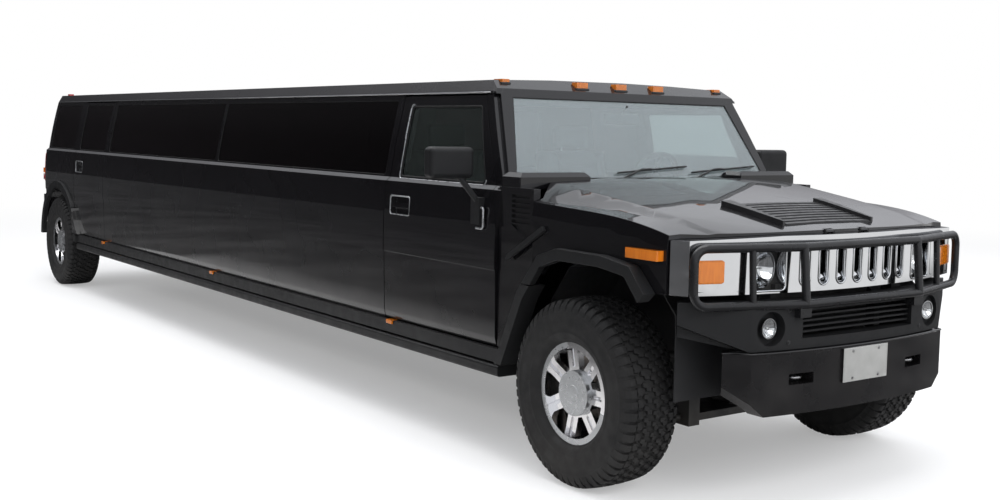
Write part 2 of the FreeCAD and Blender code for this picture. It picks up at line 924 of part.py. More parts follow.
def roof_shape(inset):
    """Roof block: straight along the body, pulled in at the rounded rear corners."""
    straight = Part.Face(roof_section(behind(screen_base_back), inset))
    straight = straight.extrude(Vector(corner_station(0) - behind(screen_base_back), 0, 0))
    wires = [roof_section(corner_station(i), inset, corner_inset(i)) for i in range(corner_steps + 1)]
    return straight.fuse(Part.makeLoft(wires, True, False)).removeSplitter()


def add_roof():
    outer = roof_shape(0)
    roof = outer.cut(roof_shape(roof_thickness))
    roof = roof.cut(prism_y(roof_front_trim(), -crease_y, crease_y))
    inner_half = roof_edge_y - roof_thickness
    rear_rail = box(body_rear_x, body_rear_x + gate_thickness, -inner_half + corner_taper, inner_half - corner_taper,
                    drip_z, roof_edge_z)
    rear_rail = rear_rail.common(outer)
    relief_half = hinge_eye_width / 2 + hinge_lug_width + panel_gap
    for side in (LEFT, RIGHT):
        y = side * gate_hinge_y
        rear_rail = rear_rail.cut(box(body_rear_x, body_rear_x + 2 * hinge_eye_radius, y - relief_half,
                                      y + relief_half, drip_z, drip_z + hinge_eye_radius))
    rise = roof_crown_z - screen_top_z
    slope_back = screen_top_back + roof_slope_length
    header = prism_y([(behind(screen_top_back), screen_top_z), (behind(slope_back), screen_top_z + rise),
                      (behind(slope_back + roof_thickness), screen_top_z + rise),
                      (behind(screen_top_back + roof_thickness), screen_top_z)], -crease_y, crease_y).common(outer)
    rails = []
    for side, word in SIDES:
        rails.append(box(behind(screen_top_back), corner_station(0), side * (drip_y - drip_rail_height),
                         side * (drip_y + drip_rail_proud), drip_z, drip_z + drip_rail_height))
    roof = roof.fuse([rear_rail, header] + rails).removeSplitter()
    point = gate_hinge()
    foot = (point.x - hinge_eye_radius, body_rear_x + 3 * hinge_eye_radius, point.z, drip_z + 2 * hinge_eye_radius)
    mounts = [hinge_mount(point, side * gate_hinge_y, foot) for side in (LEFT, RIGHT)]
    keep("roof", [roof.fuse(mounts).removeSplitter()])


def screen_slab(depth0, depth1):
    """Slab parallel to the windscreen, between two depths behind its outer plane."""
    low = screen_base_z - cut_overrun * 4
    high = screen_top_z
    points = [(behind(screen_back_at(low) + depth0), low), (behind(screen_back_at(high) + depth0), high),
              (behind(screen_back_at(high) + depth1), high), (behind(screen_back_at(low) + depth1), low)]
    return prism_y(points, -crease_y, crease_y)


def screen_trapezoid(side_border, base_border, top_border):
    """Outline of the windscreen frame seen from the front, pulled in by borders."""
    half_low = screen_base_half - side_border
    half_high = screen_top_half - side_border
    z0 = screen_base_z + base_border
    z1 = screen_top_z - top_border
    outline = [(-half_low, z0), (half_low, z0), (half_high, z1), (-half_high, z1)]
    return prism_x(outline, behind(firewall_back - cut_overrun), behind(screen_top_back + lower_wall * 2))


def add_screen():
    opening = screen_trapezoid(screen_side_border, screen_base_border, screen_top_border)
    frame = screen_slab(0, screen_frame_depth).common(screen_trapezoid(0, -screen_base_border, 0))
    frame = frame.cut(opening)
    frame = frame.cut(nodes["roof"])
    glass = screen_slab(screen_glass_inset, screen_glass_inset + glass_thickness).common(opening)
    glass = glass.cut(nodes["roof"])
    keep("windscreen", [glass])
    return frame


def pillar_filler():
    """Cab side between the raked door edge and the windscreen frame, on the left."""
    wall = side_wall(door_front_x + cut_overrun, front_door_rear_x)
    heights = (door_rake_start_z, ledge_z, drip_z)
    points = [(front_door_front_x(z) + panel_gap, z) for z in heights]
    points += [(behind(screen_back_at(drip_z) + screen_frame_depth / 2), drip_z),
               (behind(screen_back_at(ledge_z) + screen_frame_depth / 2), ledge_z),
               (door_front_x + panel_gap + cowl_side_thickness, ledge_z),
               (door_front_x + panel_gap + cowl_side_thickness, door_rake_start_z)]
    return wall.common(prism_y(points, 0, crease_y))


def cowl_side():
    """Fixed side panel between hood and door, with its louvres, on the left."""
    x0 = behind(cowl_side_front_back)
    x1 = door_front_x + panel_gap
    panel = box(x0, x1, cowl_side_y - cowl_side_thickness, cowl_side_y, door_bottom_z, ledge_z)
    panel = panel.cut(arch_room(flare_band - cowl_rest, 0, 2 * crease_y))
    pocket = prism_y([(behind(louvre_back), louvre_top_z), (behind(louvre_front_back), louvre_top_z),
                      (behind(louvre_front_back), louvre_tip_z), (behind(louvre_back), louvre_bottom_z)],
                     cowl_side_y - louvre_depth, cowl_side_y + cut_overrun)
    pitch = (louvre_top_z - louvre_bottom_z) / louvre_count
    slats = []
    for i in range(louvre_count):
        z = louvre_bottom_z + pitch * i
        slats.append(box(behind(louvre_front_back), behind(louvre_back), cowl_side_y - louvre_depth, cowl_side_y,
                         z, z + louvre_slat))
    return panel.cut(pocket).fuse(slats)


def cowl_hump():
    """Raised vent box at the foot of the left screen pillar."""
    x0 = behind(hump_front_back)
    x1 = behind(screen_base_back + screen_frame_depth / 2)
    hump = box(x1, x0, hump_inner_y, hump_outer_y, cowl_top_z, hump_top_z)
    edges = [e for e in hump.Edges if e.BoundBox.ZMin > hump_top_z - 1 / hump_top_z]
    hump = hump.makeChamfer(hump_bevel, edges)
    return hump


def add_cowl():
    frame = add_screen()
    pieces = [frame]
    wall_x = behind(firewall_back)
    firewall = box(wall_x, wall_x - firewall_thickness, -liner_wall_y, liner_wall_y, floor_z + floor_thickness,
                   cowl_top_z)
    shelf = box(wall_x + firewall_thickness, behind(screen_base_back + screen_frame_depth), -cowl_side_y, cowl_side_y,
                cowl_top_z - cowl_side_thickness, cowl_top_z)
    pieces += [firewall, shelf]
    for piece in (pillar_filler(), cowl_side(), cowl_hump()):
        pieces += both(piece)
    body = pieces[0].fuse(pieces[1:]).removeSplitter()
    body = body.cut(nodes["roof"]).cut(nodes["windscreen"])
    keep("cowl", [body])


# Hood

def hood_section(index, drop, inset):
    """Outline across the hood at one station, dropped and narrowed for the inner skin."""
    x = front_axle_x + hood_stations[index]
    rows = ((crease_half_widths, crease_heights), (foot_half_widths, foot_heights), (edge_half_widths, edge_heights))
    crease, foot, edge = [(widths[index], heights[index]) for widths, heights in rows]
    crown = crown_heights[index]
    side_y = crease[0] + side_bulge_out
    def at(y, z, sign=LEFT):
        return Vector(x, (y - inset) * sign, z - drop)
    bottom = Vector(x, side_y - inset, hood_side_bottom_z - drop)
    bottom_right = Vector(x, -side_y + inset, hood_side_bottom_z - drop)
    left = [bottom, at(side_y, crease[1] - side_bulge_drop), at(*crease), at(*foot), at(*edge)]
    right = [Vector(p.x, -p.y, p.z) for p in left]
    edges = [Part.LineSegment(a, b).toShape() for a, b in zip(left, left[1:])]
    edges.append(Part.Arc(left[-1], Vector(x, 0, crown - drop), right[-1]).toShape())
    edges += [Part.LineSegment(a, b).toShape() for a, b in zip(right[::-1], right[::-1][1:])]
    edges.append(Part.LineSegment(bottom_right, bottom).toShape())
    return Part.Wire(edges)


def hood_loft(drop, inset):
    wires = [hood_section(i, drop, inset) for i in range(len(hood_stations))]
    return Part.makeLoft(wires, True, False)


def bow_plan(x_middle, bow, half, corner_x, corner_y):
    """Plan edges of a bowed front: right corner, arc over the middle, left corner."""
    right_corner = Vector(front_axle_x + corner_x, -corner_y, 0)
    right_end = Vector(front_axle_x + x_middle - bow, -half, 0)
    middle = Vector(front_axle_x + x_middle, 0, 0)
    left_end = Vector(front_axle_x + x_middle - bow, half, 0)
    left_corner = Vector(front_axle_x + corner_x, corner_y, 0)
    edges = [Part.LineSegment(right_corner, right_end).toShape(), Part.Arc(right_end, middle, left_end).toShape()]
    edges.append(Part.LineSegment(left_end, left_corner).toShape())
    return edges


def bow_block(edges, back, z0, z1):
    """Solid behind a bowed plan edge, back to a straight rear line."""
    first = edges[0].Vertexes[0].Point
    last = edges[-1].Vertexes[-1].Point
    rear_left = Vector(back, last.y, 0)
    rear_right = Vector(back, first.y, 0)
    loop = edges + [Part.LineSegment(last, rear_left).toShape(), Part.LineSegment(rear_left, rear_right).toShape(),
                    Part.LineSegment(rear_right, first).toShape()]
    block = Part.Face(Part.Wire(loop)).extrude(Vector(0, 0, z1 - z0))
    block.translate(Vector(0, 0, z0))
    return block


def bow_band(spec, depth, z0, z1):
    """Curved wall of even depth behind a bowed plan edge."""
    x_middle, bow, half, corner_x, corner_y = spec
    back = front_axle_x + corner_x - depth
    outer = bow_block(bow_plan(*spec), back, z0, z1)
    inner_spec = (x_middle - depth, bow, half - depth / 2, corner_x - depth, corner_y - depth / 2)
    inner = bow_block(bow_plan(*inner_spec), back - cut_overrun, z0 - cut_overrun, z1 + cut_overrun)
    return outer.cut(inner)


nose_spec = (nose_x, nose_bow, nose_bow_half, nose_corner_x, nose_corner_y)


def hood_hinge():
    """Point on the hood's hinge line, at its front top edge."""
    return Vector(front_axle_x + nose_x - shell_depth - hood_front_gap, 0, hood_hinge_z)


def hood_shell():
    """Front hinged hood that carries both front wings."""
    shell = hood_loft(0, 0).cut(hood_loft(hood_thickness, hood_thickness))
    reach = shell_depth + hood_front_gap
    top_z = max(crown_heights) + cut_overrun
    wing_front = nose_corner_x - hood_front_gap
    plan = bow_plan(nose_x - reach, nose_bow, nose_bow_half - shell_depth, wing_front, nose_corner_y - shell_depth)
    keep_room = bow_block(plan, behind(2 * hood_rear_back), -cut_overrun, top_z + cut_overrun)
    ahead = box(front_axle_x + hood_nose + cut_overrun, front_axle_x + wing_front, -2 * crease_y, 2 * crease_y, 0, top_z)
    shell = shell.cut(ahead.cut(keep_room))
    for side, word in SIDES:
        rear = [(behind(hood_rear_back) - cut_overrun, side * (hump_inner_y - panel_gap)),
                (behind(hump_front_back - panel_gap), side * (hump_inner_y - panel_gap)),
                (behind(hump_front_back - panel_gap), side * edge_half_widths[-1]),
                (behind(hood_corner_back - panel_gap), side * hood_corner_y),
                (behind(hood_corner_back - panel_gap), side * (crease_y + cut_overrun)),
                (behind(hood_rear_back) - cut_overrun, side * (crease_y + cut_overrun))]
        shell = shell.cut(prism_z(rear, 0, top_z))
    hinge = hood_hinge()
    for side in (LEFT, RIGHT):
        y = side * hinge_spread
        half = hinge_eye_width / 2 + hinge_lug_width + 2 * seat_clearance
        notch = box(hinge.x - 2 * hinge_eye_radius - panel_gap, hinge.x + shell_depth, y - half, y + half,
                    hinge.z - 2 * hood_thickness, top_z)
        tongue = box(hinge.x - 3 * hinge_eye_radius - panel_gap, hinge.x, y - hinge_eye_width / 2,
                     y + hinge_eye_width / 2, hinge.z - hinge_eye_radius, hinge.z)
        bore = Part.makeCylinder(hinge_pin_radius + seat_clearance, hinge_eye_width,
                                 Vector(hinge.x, y - hinge_eye_width / 2, hinge.z), Y_AXIS)
        eye = eye_ring(hinge, y, hinge_eye_width, 0).fuse(tongue).cut(bore)
        shell = shell.cut(notch).fuse(eye)
    swing = hinge.x - behind(hood_corner_back - panel_gap)
    sweep = Part.makeCylinder(swing, 4 * crease_y, Vector(hinge.x, -2 * crease_y, hinge.z), Y_AXIS)
    low_rear = box(behind(hood_rear_back), behind(hood_corner_back - lower_wall), -crease_y, crease_y, 0, hinge.z)
    return shell.cut(low_rear.cut(sweep))


def flare_outline(pull):
    """Front arch flare's outline from nose to sill, pulled in towards the wheel's centre."""
    centre = Vector(front_axle_x, 0, wheel_radius)
    points = []
    for x, z in zip(flare_xs, flare_zs):
        point = Vector(front_axle_x + x, 0, z)
        inward = (centre - point).normalize() * pull
        points.append((point.x + inward.x, point.z + inward.z))
    return points


def arch_room(pull, y0, y1):
    """Space inside the flare's outline, open at the ground."""
    points = flare_outline(pull)
    return prism_y(points + [(points[-1][0], 0), (points[0][0], 0)], y0, y1)


def front_flare_ring():
    ring = arch_room(0, flare_back_y, flare_proud_y).cut(arch_room(flare_band, 0, 2 * crease_y))
    tip, inner = flare_outline(0)[0], flare_outline(flare_band)[0]
    ahead = prism_y([tip, inner, (inner[0], 0), (front_axle_x + hood_nose, 0), (front_axle_x + hood_nose, tip[1])],
                    0, 2 * crease_y)
    return ring.cut(ahead)


def hood_parts():
    shell = hood_shell().cut(arch_room(flare_band, -2 * crease_y, 2 * crease_y))
    low = box(front_axle_x + hood_nose, behind(hood_rear_back), -crease_y, crease_y, 0, flare_front_z)
    shell = shell.cut(low)
    return shell


def add_hood():
    shell = hood_parts()
    ring = front_flare_ring()
    upper = box(front_axle_x + hood_nose, behind(hood_rear_back), 0, flare_proud_y + cut_overrun, flare_split_z,
                flare_top_z + cut_overrun)
    outer = hood_loft(0, 0)
    flare = ring.common(upper).cut(outer)
    keep("front_flares", both(flare))
    marker = box(front_axle_x + marker_rear, front_axle_x + marker_front, flare_back_y - cut_overrun,
                 cowl_side_y + marker_proud, marker_z - marker_height / 2, marker_z + marker_height / 2)
    marker = marker.cut(outer)
    keep("side_markers", both(marker))
    vent = hood_vent(outer)
    keep("hood_vent", vent)
    keep("hood", [shell])
    keep("hood_latches", both(hood_latch(outer, flare)))


def hood_vent(outer):
    """Raised louvre insert on the hood, between two bevelled bars."""
    low_z, high_z = flare_front_z, crown_heights[-1] + hood_thickness
    x0, x1 = front_axle_x + vent_front, front_axle_x + vent_rear
    raised = outer.copy()
    raised.translate(Vector(0, 0, vent_bar_rise))
    slat_skin = outer.copy()
    slat_skin.translate(Vector(0, 0, vent_slat_rise))
    base_skin = outer.copy()
    base_skin.translate(Vector(0, 0, vent_base_rise))
    front_half, rear_half = vent_front_half + vent_bar_tip, vent_rear_half + vent_bar_width
    plan = [(x0, -front_half), (x0, front_half), (x1, rear_half), (x1, -rear_half)]
    pieces = [prism_z(plan, low_z, high_z).common(base_skin).cut(outer)]
    for side, word in SIDES:
        plan = [(x0, side * vent_front_half), (x0, side * (vent_front_half + vent_bar_tip)),
                (x1, side * (vent_rear_half + vent_bar_width)), (x1, side * vent_rear_half)]
        pieces.append(prism_z(plan, low_z, high_z).common(raised).cut(outer))
    pitch = (vent_front - vent_rear) / vent_slat_count
    for i in range(vent_slat_count):
        xs = x0 - pitch * i
        slat = box(xs, xs - pitch * half_share, -vent_rear_half, vent_rear_half, low_z, high_z)
        pieces.append(slat.common(slat_skin).cut(outer))
    return [joined(pieces)]


def hood_latch(outer, flare):
    """Pull down strap from the wing to the cowl side, on the left."""
    a = Vector(behind(latch_high_back), crease_y + latch_thickness / 2, latch_high_z)
    b = Vector(behind(latch_low_back), crease_y + latch_thickness / 2, latch_low_z)
    along = b - a
    across = along.cross(Y_AXIS)
    across.normalize()
    half = across * (latch_width / 2)
    corners = [a + half, b + half, b - half, a - half]
    flat = [Vector(p.x, cowl_side_y + panel_gap, p.z) for p in corners]
    face = Part.Face(Part.makePolygon(flat + flat[:1]))
    strap = face.extrude(Vector(0, crease_y + latch_thickness - cowl_side_y - panel_gap, 0))
    return strap.cut(outer).cut(flare)


# Nose

def slot_cut(y):
    """Upright slot with round ends, through the shell."""
    radius = slot_width / 2
    x0 = front_axle_x + nose_x - nose_bow - shell_depth
    reach = nose_bow + shell_depth + cut_overrun
    low, high = slot_low_z + radius, slot_high_z - radius
    ends = [Part.makeCylinder(radius, reach, Vector(x0, y, z), X_AXIS) for z in (low, high)]
    return joined(ends + [box(x0, x0 + reach, y - radius, y + radius, low, high)])


def lamp_face_x():
    """Front face of the nose shell at a headlamp."""
    share = lamp_pocket_y / nose_bow_half
    return front_axle_x + nose_x - nose_bow * share * share


def add_nose():
    shell = bow_band(nose_spec, shell_depth, shell_bottom_z, shell_top_z)
    shell = shell.cut(box(0, front_axle_x + nose_corner_x, -crease_y, crease_y, 0, shell_top_z + cut_overrun))
    shoulder = prism_x([(nose_bow_half * half_share, shell_top_z), (nose_corner_y, shell_side_top_z),
                        (nose_corner_y, shell_top_z + cut_overrun), (0, shell_top_z + cut_overrun)],
                       behind(0), front_axle_x + nose_x + cut_overrun)
    for wedge in both(shoulder):
        shell = shell.cut(wedge)
    for i in range(slot_count):
        y = (i - (slot_count - 1) / 2) * slot_pitch
        shell = shell.cut(slot_cut(y))
    pockets = []
    for side, word in SIDES:
        y0, y1 = side * (lamp_pocket_y - lamp_pocket_half), side * (lamp_pocket_y + lamp_pocket_half)
        x_face = lamp_face_x()
        pockets.append(box(x_face - lamp_pocket_depth, x_face + nose_bow, y0, y1, lamp_pocket_low_z, lamp_pocket_high_z))
        shell = shell.cut(pockets[-1])
    turn_band = bow_band((nose_x + turn_depth, nose_bow, nose_bow_half, nose_corner_x + turn_depth, nose_corner_y),
                         turn_thickness + turn_depth, turn_low_z, turn_high_z)
    turns = []
    for side, word in SIDES:
        window = box(behind(0), front_axle_x + nose_x, side * (turn_y - turn_half), side * (turn_y + turn_half),
                     turn_low_z, turn_high_z)
        turns.append(turn_band.common(window))
    for turn in turns:
        shell = shell.cut(turn)
    lamps = []
    for side, word in SIDES:
        x_face = lamp_face_x() - lamp_pocket_depth
        z = (lamp_pocket_low_z + lamp_pocket_high_z) / 2
        lamps.append(Part.makeCylinder(lamp_radius, lamp_depth, Vector(x_face, side * lamp_pocket_y, z), X_AXIS))
    keep("grille", [shell])
    keep("nose_support", [nose_support(shell).cut(Part.makeCompound(lamps))])
    return lamps, turns


def nose_support(shell):
    """Curved radiator support behind the shell, on the two frame rails, with the hood's hinge pins."""
    back_x = nose_x - shell_depth
    spec = (back_x, nose_bow, nose_bow_half - shell_depth / 2, nose_corner_x - shell_depth,
            nose_corner_y - shell_depth / 2)
    middle_room = box(behind(0), front_axle_x + nose_x, -support_half, support_half, 0, 2 * shell_top_z)
    band = bow_band(spec, support_depth, support_bottom_z, support_top_z).common(middle_room)
    band = band.cut(box(behind(0), front_axle_x + nose_x, -rail_y, rail_y, slot_low_z, slot_high_z))
    pieces = [band]
    for side, word in SIDES:
        x = front_axle_x + rail_front
        pieces.append(box(x - support_depth - support_post, x - support_depth, side * (rail_y - rail_width / 2),
                          side * (rail_y + rail_width / 2), rail_bottom_z + rail_height, support_bottom_z + support_depth))
        pieces.append(box(x - support_depth - support_post, x, side * (rail_y - rail_width / 2),
                          side * (rail_y + rail_width / 2), support_bottom_z, support_bottom_z + support_depth))
        hinge = hood_hinge()
        foot = (hinge.x - hinge_eye_radius, hinge.x, support_top_z - support_depth / 2, hinge.z)
        pieces.append(hinge_mount(hinge, side * hinge_spread, foot))
    return joined(pieces).cut(shell)


# Bumpers and guard

bumper_spec = (bumper_x, bumper_bow, bumper_flat_half, bumper_end_x, bumper_end_y)
lower_spec = (bumper_x + lower_bumper_lip, bumper_bow, bumper_flat_half, lower_bumper_end_x, lower_bumper_end_y)


def fog_x():
    """Front face of the upper bumper at the fog lamp."""
    share = fog_y / bumper_flat_half
    return front_axle_x + bumper_x - bumper_bow * share * share


def end_trim(spec, depth):
    """Slanting cut behind the outer end of a bumper, on the left."""
    corner_x, corner_y = spec[3], spec[4]
    x = front_axle_x + corner_x
    return prism_z([(x, corner_y), (x - depth, corner_y - depth), (x - 2 * depth, corner_y - depth),
                    (x - 2 * depth, corner_y + depth), (x, corner_y + depth)], 0, upper_bumper_top_z + cut_overrun)


def add_front_bumper(lamps):
    upper = bow_band(bumper_spec, bumper_depth, upper_bumper_bottom_z, upper_bumper_top_z)
    underside = prism_x([(bumper_flat_half, upper_bumper_bottom_z),
                         (bumper_end_y, upper_bumper_bottom_z + upper_bumper_end_rise),
                         (bumper_end_y, 0), (bumper_flat_half, 0)], behind(0), front_axle_x + 2 * bumper_x)
    for cutter in both(end_trim(bumper_spec, bumper_depth)) + both(underside):
        upper = upper.cut(cutter)
    intake = box(front_axle_x + bumper_x - bumper_depth - bumper_bow, front_axle_x + bumper_x + cut_overrun,
                 -intake_half, intake_half, intake_low_z, intake_high_z)
    upper = upper.cut(intake)
    face_band = bow_band(bumper_spec, wedge_depth, upper_bumper_bottom_z, upper_bumper_top_z)
    wedge = prism_x([(bumper_flat_half, upper_bumper_bottom_z), (2 * bumper_end_y - bumper_flat_half,
                    upper_bumper_bottom_z + 2 * wedge_rise), (2 * bumper_end_y, upper_bumper_bottom_z)],
                    behind(0), front_axle_x + bumper_x)
    for cutter in both(wedge):
        upper = upper.cut(face_band.common(cutter))
    pitch = (intake_high_z - intake_low_z) / (intake_bar_count + 1)
    bars = []
    for i in range(intake_bar_count):
        z = intake_low_z + pitch * (i + 1) - intake_bar / 2
        bars.append(box(front_axle_x + bumper_x - bumper_depth, front_axle_x + bumper_x - bumper_depth * half_share,
                        -intake_half, intake_half, z, z + intake_bar))
    upper = upper.fuse(bars).removeSplitter()
    for side, word in SIDES:
        face = fog_x()
        recess = Part.makeCylinder(fog_recess_radius, fog_recess_depth + bumper_bow,
                                   Vector(face - fog_recess_depth, side * fog_y, fog_z), X_AXIS)
        upper = upper.cut(recess)
        lamps.append(Part.makeCylinder(fog_radius, fog_depth, Vector(face - fog_recess_depth, side * fog_y, fog_z),
                                       X_AXIS))
    lower = bow_band(lower_spec, bumper_depth, lower_bumper_bottom_z, lower_bumper_top_z)
    chin = prism_x([(lower_bumper_flat_half, lower_bumper_bottom_z), (lower_bumper_end_y, lower_bumper_end_z),
                    (lower_bumper_end_y, 0), (lower_bumper_flat_half, 0)], behind(0), front_axle_x + 2 * bumper_x)
    for cutter in both(end_trim(lower_spec, bumper_depth)) + both(chin):
        lower = lower.cut(cutter)
    for side, word in SIDES:
        slot = box(front_axle_x + bumper_x - tow_slot_depth, front_axle_x + bumper_x + cut_overrun,
                   side * (tow_slot_y - tow_slot_half), side * (tow_slot_y + tow_slot_half),
                   tow_slot_z - tow_slot_rise, tow_slot_z + tow_slot_rise)
        lower = lower.cut(slot)
    link = bow_band((bumper_x - cut_overrun, bumper_bow, bumper_flat_half - cut_overrun,
                     lower_bumper_end_x + cut_overrun, bumper_flat_half + cut_overrun),
                    bumper_depth - cut_overrun * 2, lower_bumper_top_z, upper_bumper_bottom_z)
    skid_x = front_axle_x + bumper_x - bumper_bow
    skid = prism_y([(skid_x, skid_top_z), (skid_x, skid_top_z - skid_thickness * 2),
                    (skid_x - skid_back * half_share, skid_bottom_z),
                    (skid_x - skid_back, skid_bottom_z), (skid_x - skid_back, skid_bottom_z + skid_thickness),
                    (skid_x - skid_back * half_share, skid_bottom_z + skid_thickness),
                    (skid_x - skid_thickness * 3, skid_top_z)], -skid_half, skid_half)
    plate_face = front_axle_x + bumper_x + lower_bumper_lip
    bracket = box(plate_face - bumper_depth / 2, plate_face + plate_bracket, -plate_width / 2, plate_width / 2,
                  plate_z - plate_height / 2, plate_z + plate_height / 2)
    holes = plate_holes(plate_face - bumper_depth, bumper_depth * 2)
    bumper = upper.fuse([lower, link, bracket, skid]).removeSplitter()
    bumper = bumper.cut(holes)
    keep("bumper_front", [bumper])
    plate = box(plate_face + plate_bracket, plate_face + plate_bracket + plate_thickness, -plate_width / 2,
                plate_width / 2, plate_z - plate_height / 2, plate_z + plate_height / 2)
    keep("plate", [plate.cut(holes)])


def plate_holes(x0, length):
    holes = []
    for side_y in (LEFT, RIGHT):
        for side_z in (LEFT, RIGHT):
            centre = Vector(x0, side_y * plate_bolt_x / 2, plate_z + side_z * plate_bolt_z / 2)
            holes.append(Part.makeCylinder(plate_hole_radius, length, centre, X_AXIS))
    return Part.makeCompound(holes)


def bent_tube(points, bends, radius):
    """Round tube along straight runs joined by arcs of the given bend radii."""
    points = [Vector(*p) for p in points]
    edges = []
    start = points[0]
    for i in range(1, len(points) - 1):
        before = (points[i - 1] - points[i]).normalize()
        after = (points[i + 1] - points[i]).normalize()
        half = math.acos(max(-1.0, min(1.0, before.dot(after)))) / 2
        reach = bends[i - 1] / math.tan(half)
        a = points[i] + before * reach
        b = points[i] + after * reach
        middle_way = (before + after).normalize()
        centre = points[i] + middle_way * (bends[i - 1] / math.sin(half))
        edges.append(Part.LineSegment(start, a).toShape())
        edges.append(Part.Arc(a, centre - middle_way * bends[i - 1], b).toShape())
        start = b
    edges.append(Part.LineSegment(start, points[-1]).toShape())
    path = Part.Wire(edges)
    first = points[1] - points[0]
    ring = Part.Wire(Part.makeCircle(radius, points[0], first))
    return path.makePipeShell([ring], True, False)


def guard_share(y):
    """How far along the swept side of the guard a post stands."""
    return (y - guard_inner_y) / (guard_loop_y - guard_inner_y)


def add_guard():
    """Tubular guard: middle frame, swept end loops, posts and two bumper blocks."""
    low_x, high_x = front_axle_x + guard_low_x, front_axle_x + guard_high_x
    loop_x = front_axle_x + guard_loop_x
    cage = [rod((high_x, -guard_inner_y, guard_high_z), (high_x, guard_inner_y, guard_high_z), guard_radius)]
    cage.append(rod((low_x, -guard_inner_y, guard_low_z), (low_x, guard_inner_y, guard_low_z), guard_radius))
    for side, word in SIDES:
        inner, loop = side * guard_inner_y, side * guard_loop_y
        points = [(high_x, inner, guard_high_z), (loop_x, loop, guard_high_z), (loop_x, loop, guard_low_z),
                  (low_x, inner, guard_low_z)]
        cage.append(bent_tube(points, (guard_bend, guard_bend), guard_radius))
        cage.append(Part.makeSphere(guard_radius, Vector(low_x, inner, guard_low_z)))
        cage.append(Part.makeSphere(guard_radius, Vector(high_x, inner, guard_high_z)))
        cage.append(rod((low_x, inner, guard_low_z), (high_x, inner, guard_high_z), guard_radius))
        share = guard_share(guard_outer_y)
        foot = (low_x + share * (loop_x - low_x), side * guard_outer_y, guard_low_z)
        head = (high_x + share * (loop_x - high_x), side * guard_outer_y, guard_high_z)
        cage.append(rod(foot, head, guard_post_radius))
        block = box(front_axle_x + bumper_x - bumper_depth, low_x, side * (guard_inner_y - guard_block / 2),
                    side * (guard_inner_y + guard_block / 2), guard_block_low_z, guard_low_z)
        cage.append(block)
    guard = cage[0].fuse(cage[1:]).removeSplitter()
    guard = guard.cut(nodes["bumper_front"]).cut(nodes["grille"])
    keep("front_guard", guard.Solids)


def rear_bumper_plan(grow):
    """Plan outline of the rear bumper's left half, grown or pulled in at the outside."""
    x1 = rear_axle_x - rear_overhang - grow
    x0 = body_rear_x + rear_bumper_wrap
    half = rear_bumper_half + grow
    return [(body_rear_x - seat_clearance, 0), (body_rear_x - seat_clearance, half - rear_bumper_round),
            (x0, half - rear_bumper_round * half_share), (x0, half), (x1 + rear_bumper_round, half),
            (x1, half - rear_bumper_round), (x1, 0)]


def add_rear_end():
    chin_z = rear_bumper_bottom_z + rear_bumper_chin
    bar = prism_z(rear_bumper_plan(0), chin_z, rear_bumper_top_z)
    plan = rear_bumper_plan(0)
    low = rear_bumper_plan(-rear_bumper_chin)
    low = [(min(max(x, low[-1][0]), body_rear_x - seat_clearance), y) for x, y in low]
    def ring(points, z):
        corners = [Vector(x, y, z) for x, y in points]
        return Part.makePolygon(corners + corners[:1])
    high = [(min(x, body_rear_x - seat_clearance), y) for x, y in plan]
    chin = Part.makeLoft([ring(low, rear_bumper_bottom_z), ring(high, chin_z)], True, True)
    bar = bar.fuse(chin).removeSplitter()
    bar = bar.cut(nodes["quarter_panels"])
    step_room = box(body_rear_x, rear_axle_x - rear_overhang + cut_overrun, 0, gate_window_half_low,
                    rear_bumper_top_z - rear_bumper_step / 2, rear_bumper_top_z + cut_overrun)
    bar = bar.cut(step_room)
    keep("bumper_rear", [joined(both(bar))])
    lamps = both(tail_lamp_block(tail_lamp_proud))
    for side, word in SIDES:
        y = side * (roof_edge_y - corner_taper - roof_lamp_width)
        lamps.append(box(body_rear_x + roof_lamp_width, body_rear_x + roof_lamp_width * 2, y - roof_lamp_width / 2,
                         y + roof_lamp_width / 2, roof_edge_z - panel_gap,
                         roof_edge_z + rear_roof_lamp_rise).cut(nodes["roof"]))
    keep("rear_lamps", lamps)


# Wheels

def tyre():
    """Tyre about the Y axis, centred on the origin, out to the tread tips."""
    r = wheel_radius
    hw = tyre_width / 2
    outer = [(-bead_half_width, bead_radius), (-bead_half_width, bead_radius + bead_height),
             (-hw, sidewall_bulge_radius), (-hw + tread_crown, r - shoulder_drop * 2),
             (-tread_half_width, r - tread_crown), (0, r), (tread_half_width, r - tread_crown),
             (hw - tread_crown, r - shoulder_drop * 2), (hw, sidewall_bulge_radius),
             (bead_half_width, bead_radius + bead_height), (bead_half_width, bead_radius)]
    inner = [(bead_half_width - tyre_wall, bead_radius), (hw - tyre_wall, sidewall_bulge_radius),
             (tread_half_width - tyre_wall, r - tread_wall), (-tread_half_width + tyre_wall, r - tread_wall),
             (-hw + tyre_wall, sidewall_bulge_radius), (-bead_half_width + tyre_wall, bead_radius)]
    loop = [Vector(0, y, z) for y, z in outer + inner]
    face = Part.Face(Part.makePolygon(loop + loop[:1]))
    return face.revolve(Vector(0, 0, 0), Y_AXIS, 360)


